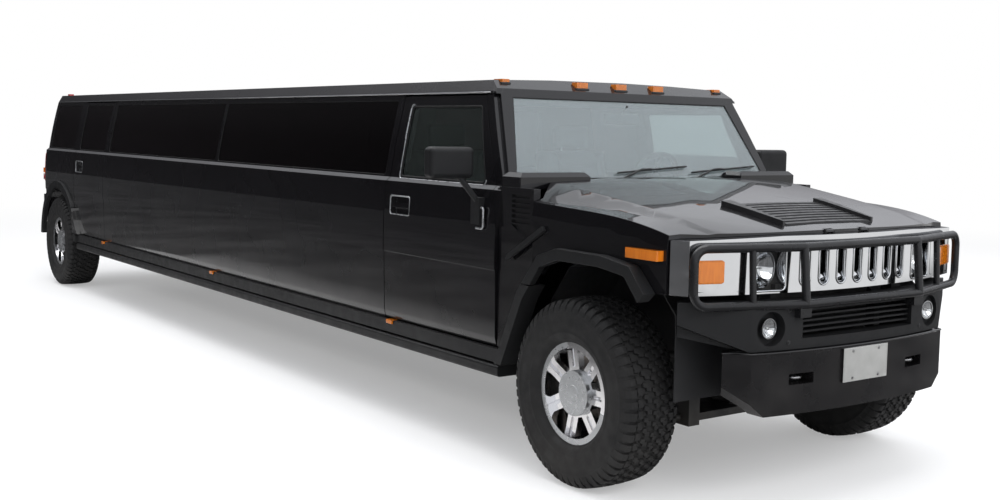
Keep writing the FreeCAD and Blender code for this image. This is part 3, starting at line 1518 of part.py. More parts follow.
def rim():
    """Rim about the Y axis with its outer face towards +Y."""
    seat = bead_radius - seat_clearance
    lip = rim_lip_radius
    hw = rim_lip_half_width
    bead = bead_half_width + seat_clearance
    outer = [(-hw, seat - rim_lip_depth), (-hw, lip), (-bead, lip), (-bead, seat), (bead, seat), (bead, lip), (hw, lip),
             (hw, seat - rim_lip_depth)]
    loop = [Vector(0, y, z) for y, z in outer]
    barrel = Part.Face(Part.makePolygon(loop + loop[:1])).revolve(Vector(0, 0, 0), Y_AXIS, 360)
    bore = Part.makeCylinder(seat - rim_lip_depth, 4 * hw, Vector(0, -2 * hw, 0), Y_AXIS)
    barrel = barrel.cut(bore)
    face_y = rim_offset + rim_face_proud
    pieces = [barrel]
    hub = Part.makeCylinder(hub_radius, face_y - rim_offset, Vector(0, rim_offset, 0), Y_AXIS)
    cap = Part.makeCylinder(hub_cap_radius, hub_cap_proud, Vector(0, face_y, 0), Y_AXIS)
    pieces += [hub, cap]
    half = spoke_width + spoke_gap / 2
    floor_y = face_y - spoke_groove_depth
    grooves = []
    for i in range(spoke_pairs):
        spoke = box(hub_radius * half_share, seat - rim_lip_depth / 2, face_y - spoke_thickness, face_y, -half, half)
        groove = box(spoke_groove_start, seat - rim_lip_depth, floor_y, face_y + cut_overrun, -spoke_gap / 2,
                     spoke_gap / 2)
        end = Part.makeCylinder(spoke_gap / 2, spoke_groove_depth + cut_overrun,
                                Vector(spoke_groove_start, floor_y, 0), Y_AXIS)
        for piece in (spoke, groove, end):
            piece.rotate(Vector(0, 0, 0), Y_AXIS, 360 / spoke_pairs * i)
        pieces.append(spoke)
        grooves += [groove, end]
    wheel = pieces[0].fuse(pieces[1:]).removeSplitter()
    return wheel.cut(Part.makeCompound(grooves))


def brake_disc():
    """Hub flange and disc that turn with the wheel."""
    flange = Part.makeCylinder(hub_flange_radius, hub_flange_depth, Vector(0, rim_offset - hub_flange_depth, 0), Y_AXIS)
    y1 = rim_offset - disc_setback
    disc = Part.makeCylinder(disc_radius, disc_thickness, Vector(0, y1 - disc_thickness, 0), Y_AXIS)
    hat = Part.makeCylinder(hub_flange_radius, disc_setback, Vector(0, y1, 0), Y_AXIS)
    bore = Part.makeCylinder(hub_bore_radius, disc_setback + hub_flange_depth + disc_thickness,
                             Vector(0, y1 - disc_thickness, 0), Y_AXIS)
    return disc.fuse([hat, flange]).removeSplitter().cut(bore)


def caliper(x_side):
    """Brake caliper that straddles the disc without touching it."""
    y1 = rim_offset - disc_setback
    gap = seat_clearance * 20
    outer = box(-caliper_spread * 2, caliper_spread * 2, y1 - disc_thickness - gap - caliper_cheek, y1 + gap + caliper_cheek,
                caliper_inner, caliper_outer)
    slot = box(-caliper_spread * 3, caliper_spread * 3, y1 - disc_thickness - gap, y1 + gap, caliper_inner - cut_overrun,
               disc_radius + gap)
    body = outer.cut(slot)
    body.rotate(Vector(0, 0, 0), Y_AXIS, 90 * x_side)
    return body


def spindle_length():
    return rim_offset - seat_clearance * 20


def knuckle():
    """Steering knuckle for the left wheel, drawn about the wheel's centre."""
    inboard = -kingpin_offset
    upright = box(-knuckle_width / 2, knuckle_width / 2, inboard - knuckle_depth / 2, inboard + knuckle_depth / 2,
                  -ball_joint_rise + arm_eye_height / 2, ball_joint_rise - arm_eye_height / 2)
    carrier_end = rim_offset - disc_setback - disc_thickness - seat_clearance * 20
    carrier = Part.makeCylinder(carrier_radius, carrier_end - inboard + knuckle_depth / 2,
                                Vector(0, inboard - knuckle_depth / 2, 0), Y_AXIS)
    spindle = Part.makeCylinder(spindle_radius, spindle_length() - inboard, Vector(0, inboard, 0), Y_AXIS)
    pins = [Part.makeCylinder(kingpin_radius, arm_eye_height * 1.5, Vector(0, inboard, z), Z_AXIS)
            for z in (ball_joint_rise - arm_eye_height / 2, -ball_joint_rise - arm_eye_height)]
    ear = box(-caliper_inner - caliper_cheek, 0, inboard, carrier_end, -caliper_spread, caliper_spread)
    body = upright.fuse([carrier, spindle, ear] + pins).removeSplitter()
    return body.fuse(caliper(RIGHT)).removeSplitter()


def add_wheels():
    tyre_shape, rim_shape, disc_shape = tyre(), rim(), brake_disc()
    knuckle_shape = knuckle()
    for x, place in ((front_axle_x, "front"), (rear_axle_x, "rear")):
        centre = Vector(x, wheel_y, wheel_radius)
        for side, word in SIDES:
            t, r, d = tyre_shape.copy(), rim_shape.copy(), disc_shape.copy()
            for piece in (t, r, d):
                piece.translate(centre)
            keep("tyre_%s_%s" % (place, word), [to_side(t, side)])
            keep("rim_%s_%s" % (place, word), [to_side(r.fuse(d).removeSplitter(), side)])
    for side, word in SIDES:
        moved = knuckle_shape.copy()
        moved.translate(Vector(front_axle_x, wheel_y, wheel_radius))
        keep("knuckle_" + word, [to_side(moved, side)])


# Chassis

def add_frame():
    x0 = front_axle_x + rail_front
    x1 = body_rear_x + gate_thickness
    z0, z1 = rail_bottom_z, rail_bottom_z + rail_height
    liner_seat = rail_y + rail_width / 2
    pieces = []
    for side, word in SIDES:
        pieces.append(box(x0, x1, side * (rail_y - rail_width / 2), side * (rail_y + rail_width / 2), z0, z1))
    span = (behind(firewall_back * 1.5) - ahead_of_rear(rear_link_length)) / (cross_member_count - 1)
    inner = rail_y - rail_width / 2
    for i in range(cross_member_count):
        x = behind(firewall_back * 1.5) - span * i
        pieces.append(box(x - rail_width / 2, x + rail_width / 2, -inner, inner, z1 - rail_width * half_share, z1))
    for x in (x0 - rail_width / 2, x1 + rail_width / 2, front_axle_x):
        pieces.append(box(x - rail_width / 2, x + rail_width / 2, -inner, inner, z1 - rail_width * half_share, z1))
    for side, word in SIDES:
        for x in (front_axle_x - arm_spread, front_axle_x + arm_spread):
            pieces.append(box(x - rail_width / 2, x + rail_width / 2, side * rail_y, side * liner_inner_y, z1 - panel_gap,
                              z1 + rail_width * half_share))
            pieces.append(box(x - rail_width / 2, x + rail_width / 2, side * liner_seat, side * rail_y, z1 - panel_gap, z1))
    frame = pieces[0].fuse(pieces[1:]).removeSplitter().cut(nodes["bumper_front"]).cut(nodes["grille"])
    keep("frame_rails", [frame])


def add_floor():
    x1 = body_rear_x
    top = floor_z + floor_thickness
    pan = box(behind(firewall_back), x1, -liner_wall_y, liner_wall_y, floor_z, top)
    for side, word in SIDES:
        pan = pan.cut(box(rear_axle_x - rear_arch_radius - panel_gap, rear_axle_x + rear_arch_radius + panel_gap,
                          side * (liner_inner_y - panel_gap), side * (liner_wall_y + cut_overrun),
                          floor_z - cut_overrun, top + cut_overrun))
    rocker_y = liner_wall_y - rocker_setback
    for x_front, x_rear in ((door_front_x, front_door_rear_x), (rear_door_front_x, rear_door_rear_x)):
        for side, word in SIDES:
            pan = pan.cut(box(x_front + panel_gap, x_rear - panel_gap, side * rocker_y,
                              side * (liner_wall_y + cut_overrun), floor_z - cut_overrun, top + cut_overrun))
    pieces = [pan]
    rocker = box(door_front_x, rear_axle_x + rear_arch_radius, rocker_y - rocker_width, rocker_y,
                 sill_bottom_z, floor_z)
    pieces += both(rocker)
    ledge_half = liner_wall_y - corner_taper
    ledge = box(x1, x1 + gate_thickness, -ledge_half, ledge_half, sill_bottom_z, gate_bottom_z - panel_gap)
    pieces.append(ledge)
    floor = pieces[0].fuse(pieces[1:]).removeSplitter().cut(nodes["quarter_panels"])
    keep("floor", [floor])


def front_liner():
    """Plastic liner inside the front arch on the left: a skin and its inner wall."""
    low_z = rail_bottom_z + rail_height

    def room(pull, y0, y1):
        points = flare_outline(flare_band + panel_gap + pull)
        wall_x = front_axle_x + liner_front - pull
        return prism_y([(wall_x, 0), (wall_x, liner_front_z - pull)] + points + [(points[-1][0], 0)], y0, y1)

    skin = room(0, liner_inner_y, liner_outer_y)
    shell = skin.cut(room(liner_thickness, liner_inner_y + liner_thickness, liner_outer_y))
    apron_x = front_axle_x + liner_front - liner_thickness
    low = box(behind(liner_front * 2), apron_x, 0, liner_outer_y, 0, low_z)
    under = box(apron_x, apron_x + 2 * liner_thickness, 0, liner_outer_y, 0, liner_apron_z)
    return shell.cut(low).cut(under).cut(nodes["bumper_front"])


def liner(axle_x, radius, inner_y, outer_y, low_z):
    """Plastic arch liner on the left: a curved skin and its inner wall."""
    centre = Vector(axle_x, inner_y, wheel_radius)
    width = outer_y - inner_y
    skin = Part.makeCylinder(radius, width, centre, Y_AXIS)
    room = Part.makeCylinder(radius - liner_thickness, width, centre + Vector(0, liner_thickness, 0), Y_AXIS)
    shell = skin.cut(room)
    return shell.common(box(axle_x - radius, axle_x + radius, inner_y, outer_y, low_z, wheel_radius + radius))


def add_liners():
    front = front_liner()
    rear = liner(rear_axle_x, rear_arch_radius - seat_clearance, liner_inner_y, liner_wall_y, floor_z)
    keep("arch_liners", [s for piece in (front, rear) for s in both(piece)])


def rear_flare_ring():
    """Rear arch flare on the left, swept forward into the sill at its foot."""
    centre = Vector(rear_axle_x, flare_back_y, wheel_radius)
    depth = flare_proud_y - flare_back_y
    outer_radius = rear_arch_radius + rear_flare_band
    ring = Part.makeCylinder(outer_radius, depth, centre, Y_AXIS)
    rise = sill_moulding_top_z - wheel_radius
    foot_x = rear_axle_x + math.sqrt(outer_radius ** 2 - rise ** 2)
    high_z = sill_moulding_top_z + rear_flare_foot
    high_x = rear_axle_x + math.sqrt(outer_radius ** 2 - (high_z - wheel_radius) ** 2)
    end = Vector(foot_x + rear_flare_foot * half_share, flare_back_y, sill_moulding_top_z)
    start = Vector(high_x, flare_back_y, high_z)
    middle = Vector(foot_x + rear_flare_foot / 8, flare_back_y, sill_moulding_top_z + rear_flare_sweep)
    inner = Vector(rear_axle_x, flare_back_y, sill_moulding_top_z)
    edges = [Part.Arc(start, middle, end).toShape(), Part.LineSegment(end, inner).toShape()]
    edges.append(Part.LineSegment(inner, start).toShape())
    sweep = Part.Face(Part.Wire(edges)).extrude(Vector(0, depth, 0))
    ring = ring.fuse(sweep).removeSplitter().cut(Part.makeCylinder(rear_arch_radius, depth, centre, Y_AXIS))
    return ring.common(box(rear_axle_x - 2 * rear_arch_radius, rear_axle_x + 2 * rear_arch_radius, 0, flare_proud_y,
                           sill_moulding_bottom_z, 2 * crease_z))


def flare_on_door():
    """Part of the rear flare that the rear door carries."""
    room = slab(rear_door_rear_x, rear_door_front_x, door_bottom_z, drip_z)
    grown = box(rear_door_rear_x, rear_door_front_x, 0, flare_proud_y, door_bottom_z, drip_z)
    return rear_flare_ring().common(grown)


def add_mouldings():
    """Sill strips, rear arch flares and the fixed legs of the front flares."""
    x0 = behind(flare_leg_back - panel_gap)
    x1 = rear_axle_x + rear_arch_radius + rear_flare_band * half_share
    base = box(x0, x1, liner_wall_y, sill_bottom_y, sill_moulding_bottom_z, sill_bottom_z)
    outer = box(x0, x1, sill_bottom_y, flank_y + sill_moulding_proud, sill_moulding_bottom_z, sill_moulding_top_z)
    strip = joined([outer.cut(side_wall(x0, x1)), base])
    ring = rear_flare_ring().cut(side_wall(rear_axle_x + 2 * rear_arch_radius, body_rear_x))
    door_room = box(rear_door_rear_x - panel_gap, rear_door_front_x, 0, flare_proud_y + cut_overrun,
                    sill_moulding_top_z, drip_z)
    rear_flare = ring.cut(door_room)
    leg = front_flare_ring().common(box(behind(0), behind(2 * flare_leg_back), 0, flare_proud_y, 0,
                                        flare_split_z - panel_gap))
    leg = leg.cut(nodes["cowl"]).cut(nodes["door_front_left"])
    low_cut = box(behind(0), behind(2 * flare_leg_back), 0, flare_proud_y, 0, sill_moulding_bottom_z)
    front_door_room = slab(door_front_x + panel_gap, door_front_x - cut_overrun, door_bottom_z - panel_gap, drip_z)
    leg = leg.cut(front_door_room).cut(low_cut)
    moulding = strip.fuse([leg, rear_flare]).removeSplitter()
    keep("sill_mouldings", [s for solid in moulding.Solids for s in both(solid)])


def add_boards():
    x0 = behind(flare_leg_back - board_end_gap)
    x1 = rear_axle_x + rear_arch_radius + rear_flare_band
    board = box(x0, x1, board_inner_y, board_outer_y, board_bottom_z, board_top_z)
    edges = [e for e in board.Edges if abs(e.tangentAt(e.FirstParameter).dot(X_AXIS)) > half_share]
    board = board.makeFillet(board_bracket_width / 4, edges)
    pieces = [board]
    pitch = (x0 - x1) / board_bracket_count
    for i in range(board_bracket_count):
        x = x0 - pitch * (i + half_share)
        pieces.append(box(x, x - board_bracket_width, rail_y + rail_width / 2, board_inner_y + board_bracket_width,
                          rail_bottom_z - panel_gap * 4, rail_bottom_z))
        pieces.append(box(x, x - board_bracket_width, board_inner_y, board_inner_y + board_bracket_width,
                          board_bottom_z + panel_gap * 2, rail_bottom_z))
        pieces.append(box(x, x - board_bracket_width, rail_y - rail_width / 2, rail_y + rail_width / 2,
                          rail_bottom_z - panel_gap * 4, rail_bottom_z))
    step = pieces[0].fuse(pieces[1:]).removeSplitter()
    step = step.cut(nodes["sill_mouldings"]).cut(nodes["floor"])
    keep("running_boards", both(step))


def add_driveline():
    front = front_axle_x + engine_front
    engine = box(front, front - engine_length, -engine_width / 2, engine_width / 2, engine_bottom_z,
                 engine_bottom_z + engine_height)
    box_x = front - engine_length
    gearbox = box(box_x, box_x - gearbox_length, -gearbox_width / 2, gearbox_width / 2, gearbox_bottom_z,
                  gearbox_bottom_z + rail_height)
    bell = box(box_x, box_x + rail_width * 2, -gearbox_width / 2, gearbox_width / 2, gearbox_bottom_z, engine_bottom_z)
    shaft = rod((box_x - gearbox_length, 0, gearbox_bottom_z + rail_height / 2),
                (rear_axle_x + diff_radius, 0, wheel_radius), shaft_radius)
    line_shape = joined([gearbox, bell, shaft])
    line_shape = line_shape.cut(nodes["frame_rails"])
    radiator = box(front_axle_x + nose_x - nose_bow - shell_depth * 2, front_axle_x + nose_x - nose_bow - shell_depth * 3,
                   -rail_y, rail_y, rail_bottom_z + rail_height, shell_top_z - shell_depth)
    keep("engine", [engine, radiator])
    keep("driveline", line_shape.Solids)


def suspension_arm(z, eye_z):
    """A shaped arm from the frame to a ball joint eye, on the left."""
    inner_y = rail_y + rail_width / 2
    eye = Part.makeCylinder(arm_eye_radius, arm_eye_height, Vector(front_axle_x, kingpin_y, eye_z), Z_AXIS)
    eye_mid = eye_z + arm_eye_height / 2
    legs = [rod((front_axle_x + s * arm_spread, inner_y, z), (front_axle_x, kingpin_y, eye_mid), arm_tube_radius)
            for s in (LEFT, RIGHT)]
    hole = Part.makeCylinder(kingpin_radius + seat_clearance, 3 * arm_eye_height,
                             Vector(front_axle_x, kingpin_y, eye_z - arm_eye_height), Z_AXIS)
    return eye.fuse(legs).cut(hole)


def add_front_suspension():
    upper_eye_z = wheel_radius + ball_joint_rise - arm_eye_height / 2 + seat_clearance
    lower_eye_z = wheel_radius - ball_joint_rise - arm_eye_height / 2 - seat_clearance
    hanger_y = rail_y + rail_width / 2
    hanger_bottom = wheel_radius - ball_joint_rise - arm_eye_height
    lower = suspension_arm(wheel_radius - ball_joint_rise, lower_eye_z)
    upper = suspension_arm(upper_eye_z + arm_eye_height / 2, upper_eye_z)
    cradle = box(front_axle_x - arm_spread * 1.5, front_axle_x + arm_spread * 1.5, rail_y - rail_width / 2,
                 rail_y + rail_width / 2, hanger_bottom, rail_bottom_z)
    room = Part.makeCylinder(half_shaft_radius * 2, crease_y, Vector(front_axle_x, 0, wheel_radius), Y_AXIS)
    cradle = cradle.cut(room)
    diff = Part.makeCylinder(diff_radius, diff_width, Vector(front_axle_x, -diff_width / 2, wheel_radius), Y_AXIS)
    shaft = rod((front_axle_x, diff_width / 2, wheel_radius),
                (front_axle_x, kingpin_y - half_shaft_end, wheel_radius), half_shaft_radius)
    bridge = box(front_axle_x - arm_spread, front_axle_x + arm_spread, -rail_y + rail_width / 2, rail_y - rail_width / 2,
                 hanger_bottom, hanger_bottom + arm_eye_height)
    side_left = joined([lower, cradle])
    pieces = [bridge, diff] + both(side_left) + both(shaft)
    body = pieces[0].fuse(pieces[1:]).removeSplitter()
    mount = box(front_axle_x - arm_spread / 2, front_axle_x + arm_spread / 2, -diff_width / 4, diff_width / 4,
                hanger_bottom, wheel_radius)
    body = body.fuse(mount).removeSplitter()
    keep("front_suspension", [body] + [s.cut(nodes["frame_rails"]) for s in both(upper)])


def add_rear_axle():
    spread = wheel_y + rim_offset - disc_setback - disc_thickness - seat_clearance * 20
    beam = Part.makeCylinder(beam_radius, 2 * spread, Vector(rear_axle_x, -spread, wheel_radius), Y_AXIS)
    diff = Part.makeSphere(diff_radius, Vector(rear_axle_x, 0, wheel_radius))
    reach = wheel_y + spindle_length()
    stub = Part.makeCylinder(spindle_radius, 2 * reach, Vector(rear_axle_x, -reach, wheel_radius), Y_AXIS)
    pieces = [beam, diff, stub]
    for side, word in SIDES:
        link_y = side * rail_y
        pieces.append(rod((rear_axle_x, link_y, wheel_radius - beam_radius),
                          (rear_axle_x + rear_link_length, link_y, rail_bottom_z - rear_link_radius), rear_link_radius))
        pieces.append(box(rear_axle_x + rear_link_length - rail_width / 2, rear_axle_x + rear_link_length + rail_width / 2,
                          link_y - rail_width / 2, link_y + rail_width / 2, rail_bottom_z - 2 * rear_link_radius,
                          rail_bottom_z))
    body = pieces[0].fuse(pieces[1:]).removeSplitter()
    shapes = [body]
    for side, word in SIDES:
        grip = caliper(RIGHT)
        grip.translate(Vector(rear_axle_x, wheel_y, wheel_radius))
        inner_y = wheel_y + rim_offset - disc_setback - disc_thickness - seat_clearance * 20
        ear = box(rear_axle_x - caliper_inner - caliper_cheek, rear_axle_x, inner_y - caliper_cheek, inner_y,
                  wheel_radius - caliper_spread, wheel_radius + caliper_spread)
        body = body.fuse(to_side(grip.fuse(ear), side))
    keep("rear_axle", [body.cut(nodes["frame_rails"])])


def add_under_pieces():
    """Exhaust and fuel tank, hung under the floor."""
    x0 = behind(firewall_back * 2)
    x1 = ahead_of_rear(rear_link_length * 2)
    y = -(rail_y + rail_width + exhaust_radius)
    z = floor_z - exhaust_radius * 2
    pipe = rod((x0, y, z), (x1, y, z), exhaust_radius)
    muffler_z = floor_z - muffler_radius - seat_clearance
    muffler = rod((behind(firewall_back * 4), y - exhaust_radius, muffler_z),
                  (behind(firewall_back * 5.5), y - exhaust_radius, muffler_z), muffler_radius)
    hangers = [box(x, x - rail_width, y - exhaust_radius / 2, y + exhaust_radius / 2, z, floor_z)
               for x in (x0 - rail_width, (x0 + x1) / 2, x1 + 2 * rail_width)]
    exhaust = joined([pipe, muffler] + hangers).cut(nodes["running_boards"])
    exhaust = exhaust.cut(nodes["frame_rails"])
    keep("exhaust", exhaust.Solids)
    tank_x = ahead_of_rear(rear_link_length * 2)
    half = rail_y - rail_width
    tank = box(tank_x, tank_x + tank_length, shaft_radius * 2, half, rail_bottom_z + rail_height - tank_height,
               rail_bottom_z + rail_height)
    tank = tank.cut(nodes["frame_rails"])
    keep("fuel_tank", tank.Solids)


# Cab and cabin

def steering_wheel():
    """Steering wheel and the end of its column, about the wheel's centre, axis along Z."""
    ring = Part.makeTorus(steering_wheel_radius - steering_rim_radius, steering_rim_radius)
    hub = Part.makeCylinder(column_radius * 2, column_radius * 1.6, Vector(0, 0, -column_radius * 2), Z_AXIS)
    shaft = Part.makeCylinder(column_radius, column_length, Vector(0, 0, -column_length - column_radius), Z_AXIS)
    spokes = []
    for angle in (0, 180, 270):
        spoke = box(0, steering_wheel_radius - steering_rim_radius, -column_radius / 2, column_radius / 2,
                    -steering_rim_radius * half_share, steering_rim_radius * half_share)
        spoke.rotate(Vector(0, 0, 0), Z_AXIS, angle)
        spokes.append(spoke)
    core = Part.makeCylinder(column_radius, column_radius * 2, Vector(0, 0, -column_radius * 1.5), Z_AXIS)
    return ring.fuse(spokes + [hub, shaft, core]).removeSplitter()


def column_direction():
    """Unit vector from the dashboard to the driver along the column."""
    tilt = math.radians(steering_tilt)
    return Vector(-math.cos(tilt), 0, math.sin(tilt))


def steering_centre():
    return Vector(behind(steering_back), steering_y, steering_z)


def place_on_column(shape):
    shape.rotate(Vector(0, 0, 0), Y_AXIS, -90 + steering_tilt)
    shape.translate(steering_centre())
    return shape


def add_cab():
    wheel = place_on_column(steering_wheel())
    keep("steering_wheel", [wheel])
    x0 = behind(firewall_back + firewall_thickness + dash_gap)
    x1 = x0 - dash_depth
    dash = prism_y([(x0, dash_bottom_z), (x0, dash_top_z - shelf_drop), (x0 - dash_depth * half_share, dash_top_z),
                    (x1, dash_top_z - shelf_drop), (x1, dash_bottom_z + shelf_drop), (x1 + shelf_drop, dash_bottom_z)],
                   -liner_wall_y + dash_gap, liner_wall_y - dash_gap)
    side_ties = box(x0 + dash_gap, x0, -liner_wall_y + dash_gap, liner_wall_y - dash_gap, dash_bottom_z,
                    dash_bottom_z + lower_wall)
    dash = joined([dash, side_ties])
    room = Part.makeCylinder(column_radius + seat_clearance, column_length * 2,
                             steering_centre() - column_direction() * column_radius, column_direction() * -1)
    dash = dash.cut(room).cut(nodes["cowl"])
    keep("dashboard", dash.Solids[:1])


def cab_seat(y):
    """Front seat: foot, cushion and raked back."""
    x = behind(seat_back)
    half = seat_width / 2
    foot = box(x - seat_length / 2, x + seat_length / 2, y - half * half_share, y + half * half_share,
               floor_z + floor_thickness, seat_cushion_low_z)
    cushion = box(x - seat_length / 2, x + seat_length / 2, y - half, y + half, seat_cushion_low_z, seat_cushion_high_z)
    lean = math.tan(math.radians(seat_rest_rake))
    rise = seat_rest_top_z - seat_cushion_high_z
    xr = x - seat_length / 2
    rest = prism_y([(xr, seat_cushion_low_z), (xr + seat_rest_depth, seat_cushion_high_z),
                    (xr + seat_rest_depth - lean * rise, seat_rest_top_z), (xr - lean * rise, seat_rest_top_z)],
                   y - half, y + half)
    head = prism_y([(xr - lean * rise, seat_rest_top_z), (xr - lean * rise + seat_rest_depth * half_share, seat_rest_top_z),
                    (xr - lean * rise + seat_rest_depth * half_share, seat_rest_top_z + head_rest_height),
                    (xr - lean * rise, seat_rest_top_z + head_rest_height)], y - half * half_share, y + half * half_share)
    return joined([foot, cushion, rest, head])


def add_cabin():
    keep("front_seats", [cab_seat(seat_y), cab_seat(-seat_y)])
    top = drip_z - panel_gap
    xp = behind(partition_back)
    half_low = liner_wall_y - panel_gap
    half_mid = ledge_y - upper_wall - panel_gap
    half_high = drip_y - upper_wall - panel_gap
    z0 = floor_z + floor_thickness
    outline = [(-half_low, z0), (half_low, z0), (half_low, ledge_z - shelf_drop - panel_gap),
               (half_high, top), (-half_high, top), (-half_low, ledge_z - shelf_drop - panel_gap)]
    wall = prism_x(outline, xp, xp - partition_thickness)
    window = box(xp + cut_overrun, xp - partition_thickness - cut_overrun, -half_high * half_share,
                 half_high * half_share, belt_z, window_high_z)
    keep("partition", [wall.cut(window)])
    bench_x0 = xp - partition_thickness - panel_gap
    bench_x1 = rear_axle_x + lounge_end_ahead
    y1 = half_low
    y0 = y1 - lounge_depth
    bench_long = box(bench_x0, rear_door_front_x + lounge_depth, y0, y1, z0, lounge_cushion_top_z)
    back_long = box(bench_x0, rear_door_front_x + lounge_depth, y1 - lounge_back_depth, y1, lounge_cushion_top_z,
                    lounge_back_top_z - shelf_drop)
    left_bench = joined([bench_long, back_long])
    rear_x = body_rear_x + gate_thickness + cut_overrun * 2
    rear_half = liner_inner_y - panel_gap * 4
    rear_cushion = box(rear_x, rear_x + lounge_depth, -rear_half, rear_half, z0, lounge_cushion_top_z)
    rear_back = box(rear_x, rear_x + lounge_back_depth, -rear_half, rear_half, lounge_cushion_top_z,
                    lounge_back_top_z - shelf_drop)
    keep("lounge_seats", [left_bench, joined([rear_cushion, rear_back])])


def add_wipers():
    z = cowl_top_z + wiper_pivot_rise
    pieces = []
    for y in (hump_inner_y * half_share, -hump_inner_y * half_share):
        x = behind(screen_back_at(z)) + wiper_radius * 2
        post = rod((x, y, cowl_top_z), (x, y, z + wiper_radius * 2), wiper_radius)
        arm = rod((x, y, z + wiper_radius), (x, y + wiper_length * half_share, z + wiper_radius), wiper_radius)
        pieces.append(joined([post, arm]).cut(nodes["cowl"]).cut(nodes["windscreen"]))
    keep("wipers", pieces)


def add_lamps(lamps, turns):
    keep("front_lamps", [lamp.cut(nodes["bumper_front"]).cut(nodes["grille"]) for lamp in lamps])
    ambers = list(turns)
    z = sill_lamp_z
    for x in (front_door_rear_x + sill_lamp_length, (front_door_rear_x + rear_door_front_x) / 2, rear_door_front_x):
        lamp = box(x, x + sill_lamp_length, sill_bottom_y, flank_y + sill_moulding_proud + sill_lamp_proud,
                   z - sill_lamp_height / 2, z + sill_lamp_height / 2)
        lamp = lamp.cut(nodes["sill_mouldings"]).cut(side_wall(x - cut_overrun, x + 2 * sill_lamp_length))
        ambers += both(lamp)
    roof_lamps = []
    x = behind(roof_lamp_back)
    for i in (-1, 0, 1):
        dome = box(x - roof_lamp_width / 2, x + roof_lamp_width / 2, i * roof_lamp_spread - roof_lamp_length / 2,
                   i * roof_lamp_spread + roof_lamp_length / 2, screen_top_z + panel_gap, roof_lamp_top_z)
        roof_lamps.append(dome)
    for side, word in SIDES:
        y = side * roof_lamp_outer_y
        roof_lamps.append(box(x - roof_lamp_length, x, y - roof_lamp_width / 2, y + roof_lamp_width / 2,
                              screen_top_z + panel_gap, roof_lamp_top_z))
    ambers += [lamp.cut(nodes["roof"]).cut(nodes["cowl"]) for lamp in roof_lamps]
    keep("amber_lamps", ambers)


def build():
    add_doors()
    add_side_panels()
    add_liftgate()
    add_roof()
    add_cowl()
    add_hood()
    lamps, turns = add_nose()
    add_front_bumper(lamps)
    add_guard()
    add_rear_end()
    add_wheels()
    add_frame()
    add_floor()
    add_liners()
    add_mouldings()
    add_boards()
    add_driveline()
    add_front_suspension()
    add_rear_axle()
    add_under_pieces()
    add_cab()
    add_cabin()
    add_wipers()
    add_lamps(lamps, turns)


build()
os.makedirs("parts", exist_ok=True)
for name, shape in sorted(nodes.items()):
    shape.exportStep("parts/%s.step" % name)
    print(name, len(shape.Solids), round(shape.Volume / 1e6, 2), "litres", shape.isValid())
print(len(nodes), "nodes")
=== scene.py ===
# %% [markdown]
# # A stretched off-road limousine, dressed for its portrait
#
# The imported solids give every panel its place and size. This lesson gives them
# paint, glass, chrome and rubber, and adds what is too fine for the solids:
# tread blocks, lamp optics, seals, bolts, step pads, dampers and soft seats.

import json
import math

import bmesh
import bpy
from mathutils import Matrix, Vector
from mathutils.bvhtree import BVHTree

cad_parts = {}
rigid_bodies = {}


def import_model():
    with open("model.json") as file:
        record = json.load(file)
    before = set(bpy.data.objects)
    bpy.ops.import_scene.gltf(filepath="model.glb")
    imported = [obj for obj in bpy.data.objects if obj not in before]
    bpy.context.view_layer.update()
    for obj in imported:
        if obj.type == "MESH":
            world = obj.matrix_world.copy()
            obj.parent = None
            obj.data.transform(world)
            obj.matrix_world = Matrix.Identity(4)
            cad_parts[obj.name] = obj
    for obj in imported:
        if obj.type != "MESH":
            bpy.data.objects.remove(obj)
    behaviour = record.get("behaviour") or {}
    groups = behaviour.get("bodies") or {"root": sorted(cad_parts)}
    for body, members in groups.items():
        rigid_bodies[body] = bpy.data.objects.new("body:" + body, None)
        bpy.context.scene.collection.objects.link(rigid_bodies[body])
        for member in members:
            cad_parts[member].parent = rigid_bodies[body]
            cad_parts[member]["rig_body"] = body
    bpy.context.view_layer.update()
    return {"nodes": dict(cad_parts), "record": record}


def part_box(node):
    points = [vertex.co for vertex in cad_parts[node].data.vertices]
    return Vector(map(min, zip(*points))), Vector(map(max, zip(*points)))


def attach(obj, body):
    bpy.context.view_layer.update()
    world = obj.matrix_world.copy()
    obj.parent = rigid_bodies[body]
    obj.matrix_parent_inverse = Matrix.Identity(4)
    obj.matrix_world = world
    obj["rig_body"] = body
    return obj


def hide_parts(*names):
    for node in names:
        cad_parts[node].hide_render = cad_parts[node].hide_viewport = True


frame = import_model()
NODES = frame["nodes"]

# %% [markdown]
# The vehicle points along +X and its driver sits on the +Y side. Most sizes are
# measured from the two axles, so they come first, and a side is +1 for the
# driver's left and -1 for the right.

# %% Stations of the vehicle
FRONT_AXLE = 4.074
REAR_AXLE = -4.124
WHEEL_Y = 0.8815
WHEEL_Z = 0.4365
SIDES = ((1, "left"), (-1, "right"))
UNMOVED = Matrix.Identity(4)


def ahead(distance):
    """X of a place ahead of the front axle."""
    return FRONT_AXLE + distance


def across(side, a, b):
    """Low and high Y between two distances from the middle, on one side."""
    return sorted((side * a, side * b))


def on_set(name, data):
    """Puts a new object with this data into the scene."""
    thing = bpy.data.objects.new(name, data)
    bpy.context.scene.collection.objects.link(thing)
    return thing


print("wheelbase", round(FRONT_AXLE - REAR_AXLE, 3), "m")

# %% [markdown]
# ## The camera
#
# A camera fitted to the vehicle's corners in the photograph stands low at the
# front right. Its shift is the small offset of a cropped picture.

# %% Camera
CAMERA_PLACE = Vector((ahead(4.2143), -4.3779, 1.6233))
CAMERA_YAW, CAMERA_PITCH, CAMERA_ROLL = (math.radians(a) for a in (142.85, -5.22, 1.17))
LENS_MM, SENSOR_MM = 43.4, 36.0
LENS_SHIFT = (-0.0436, -0.009)
FARTHEST_SEEN = 200.0


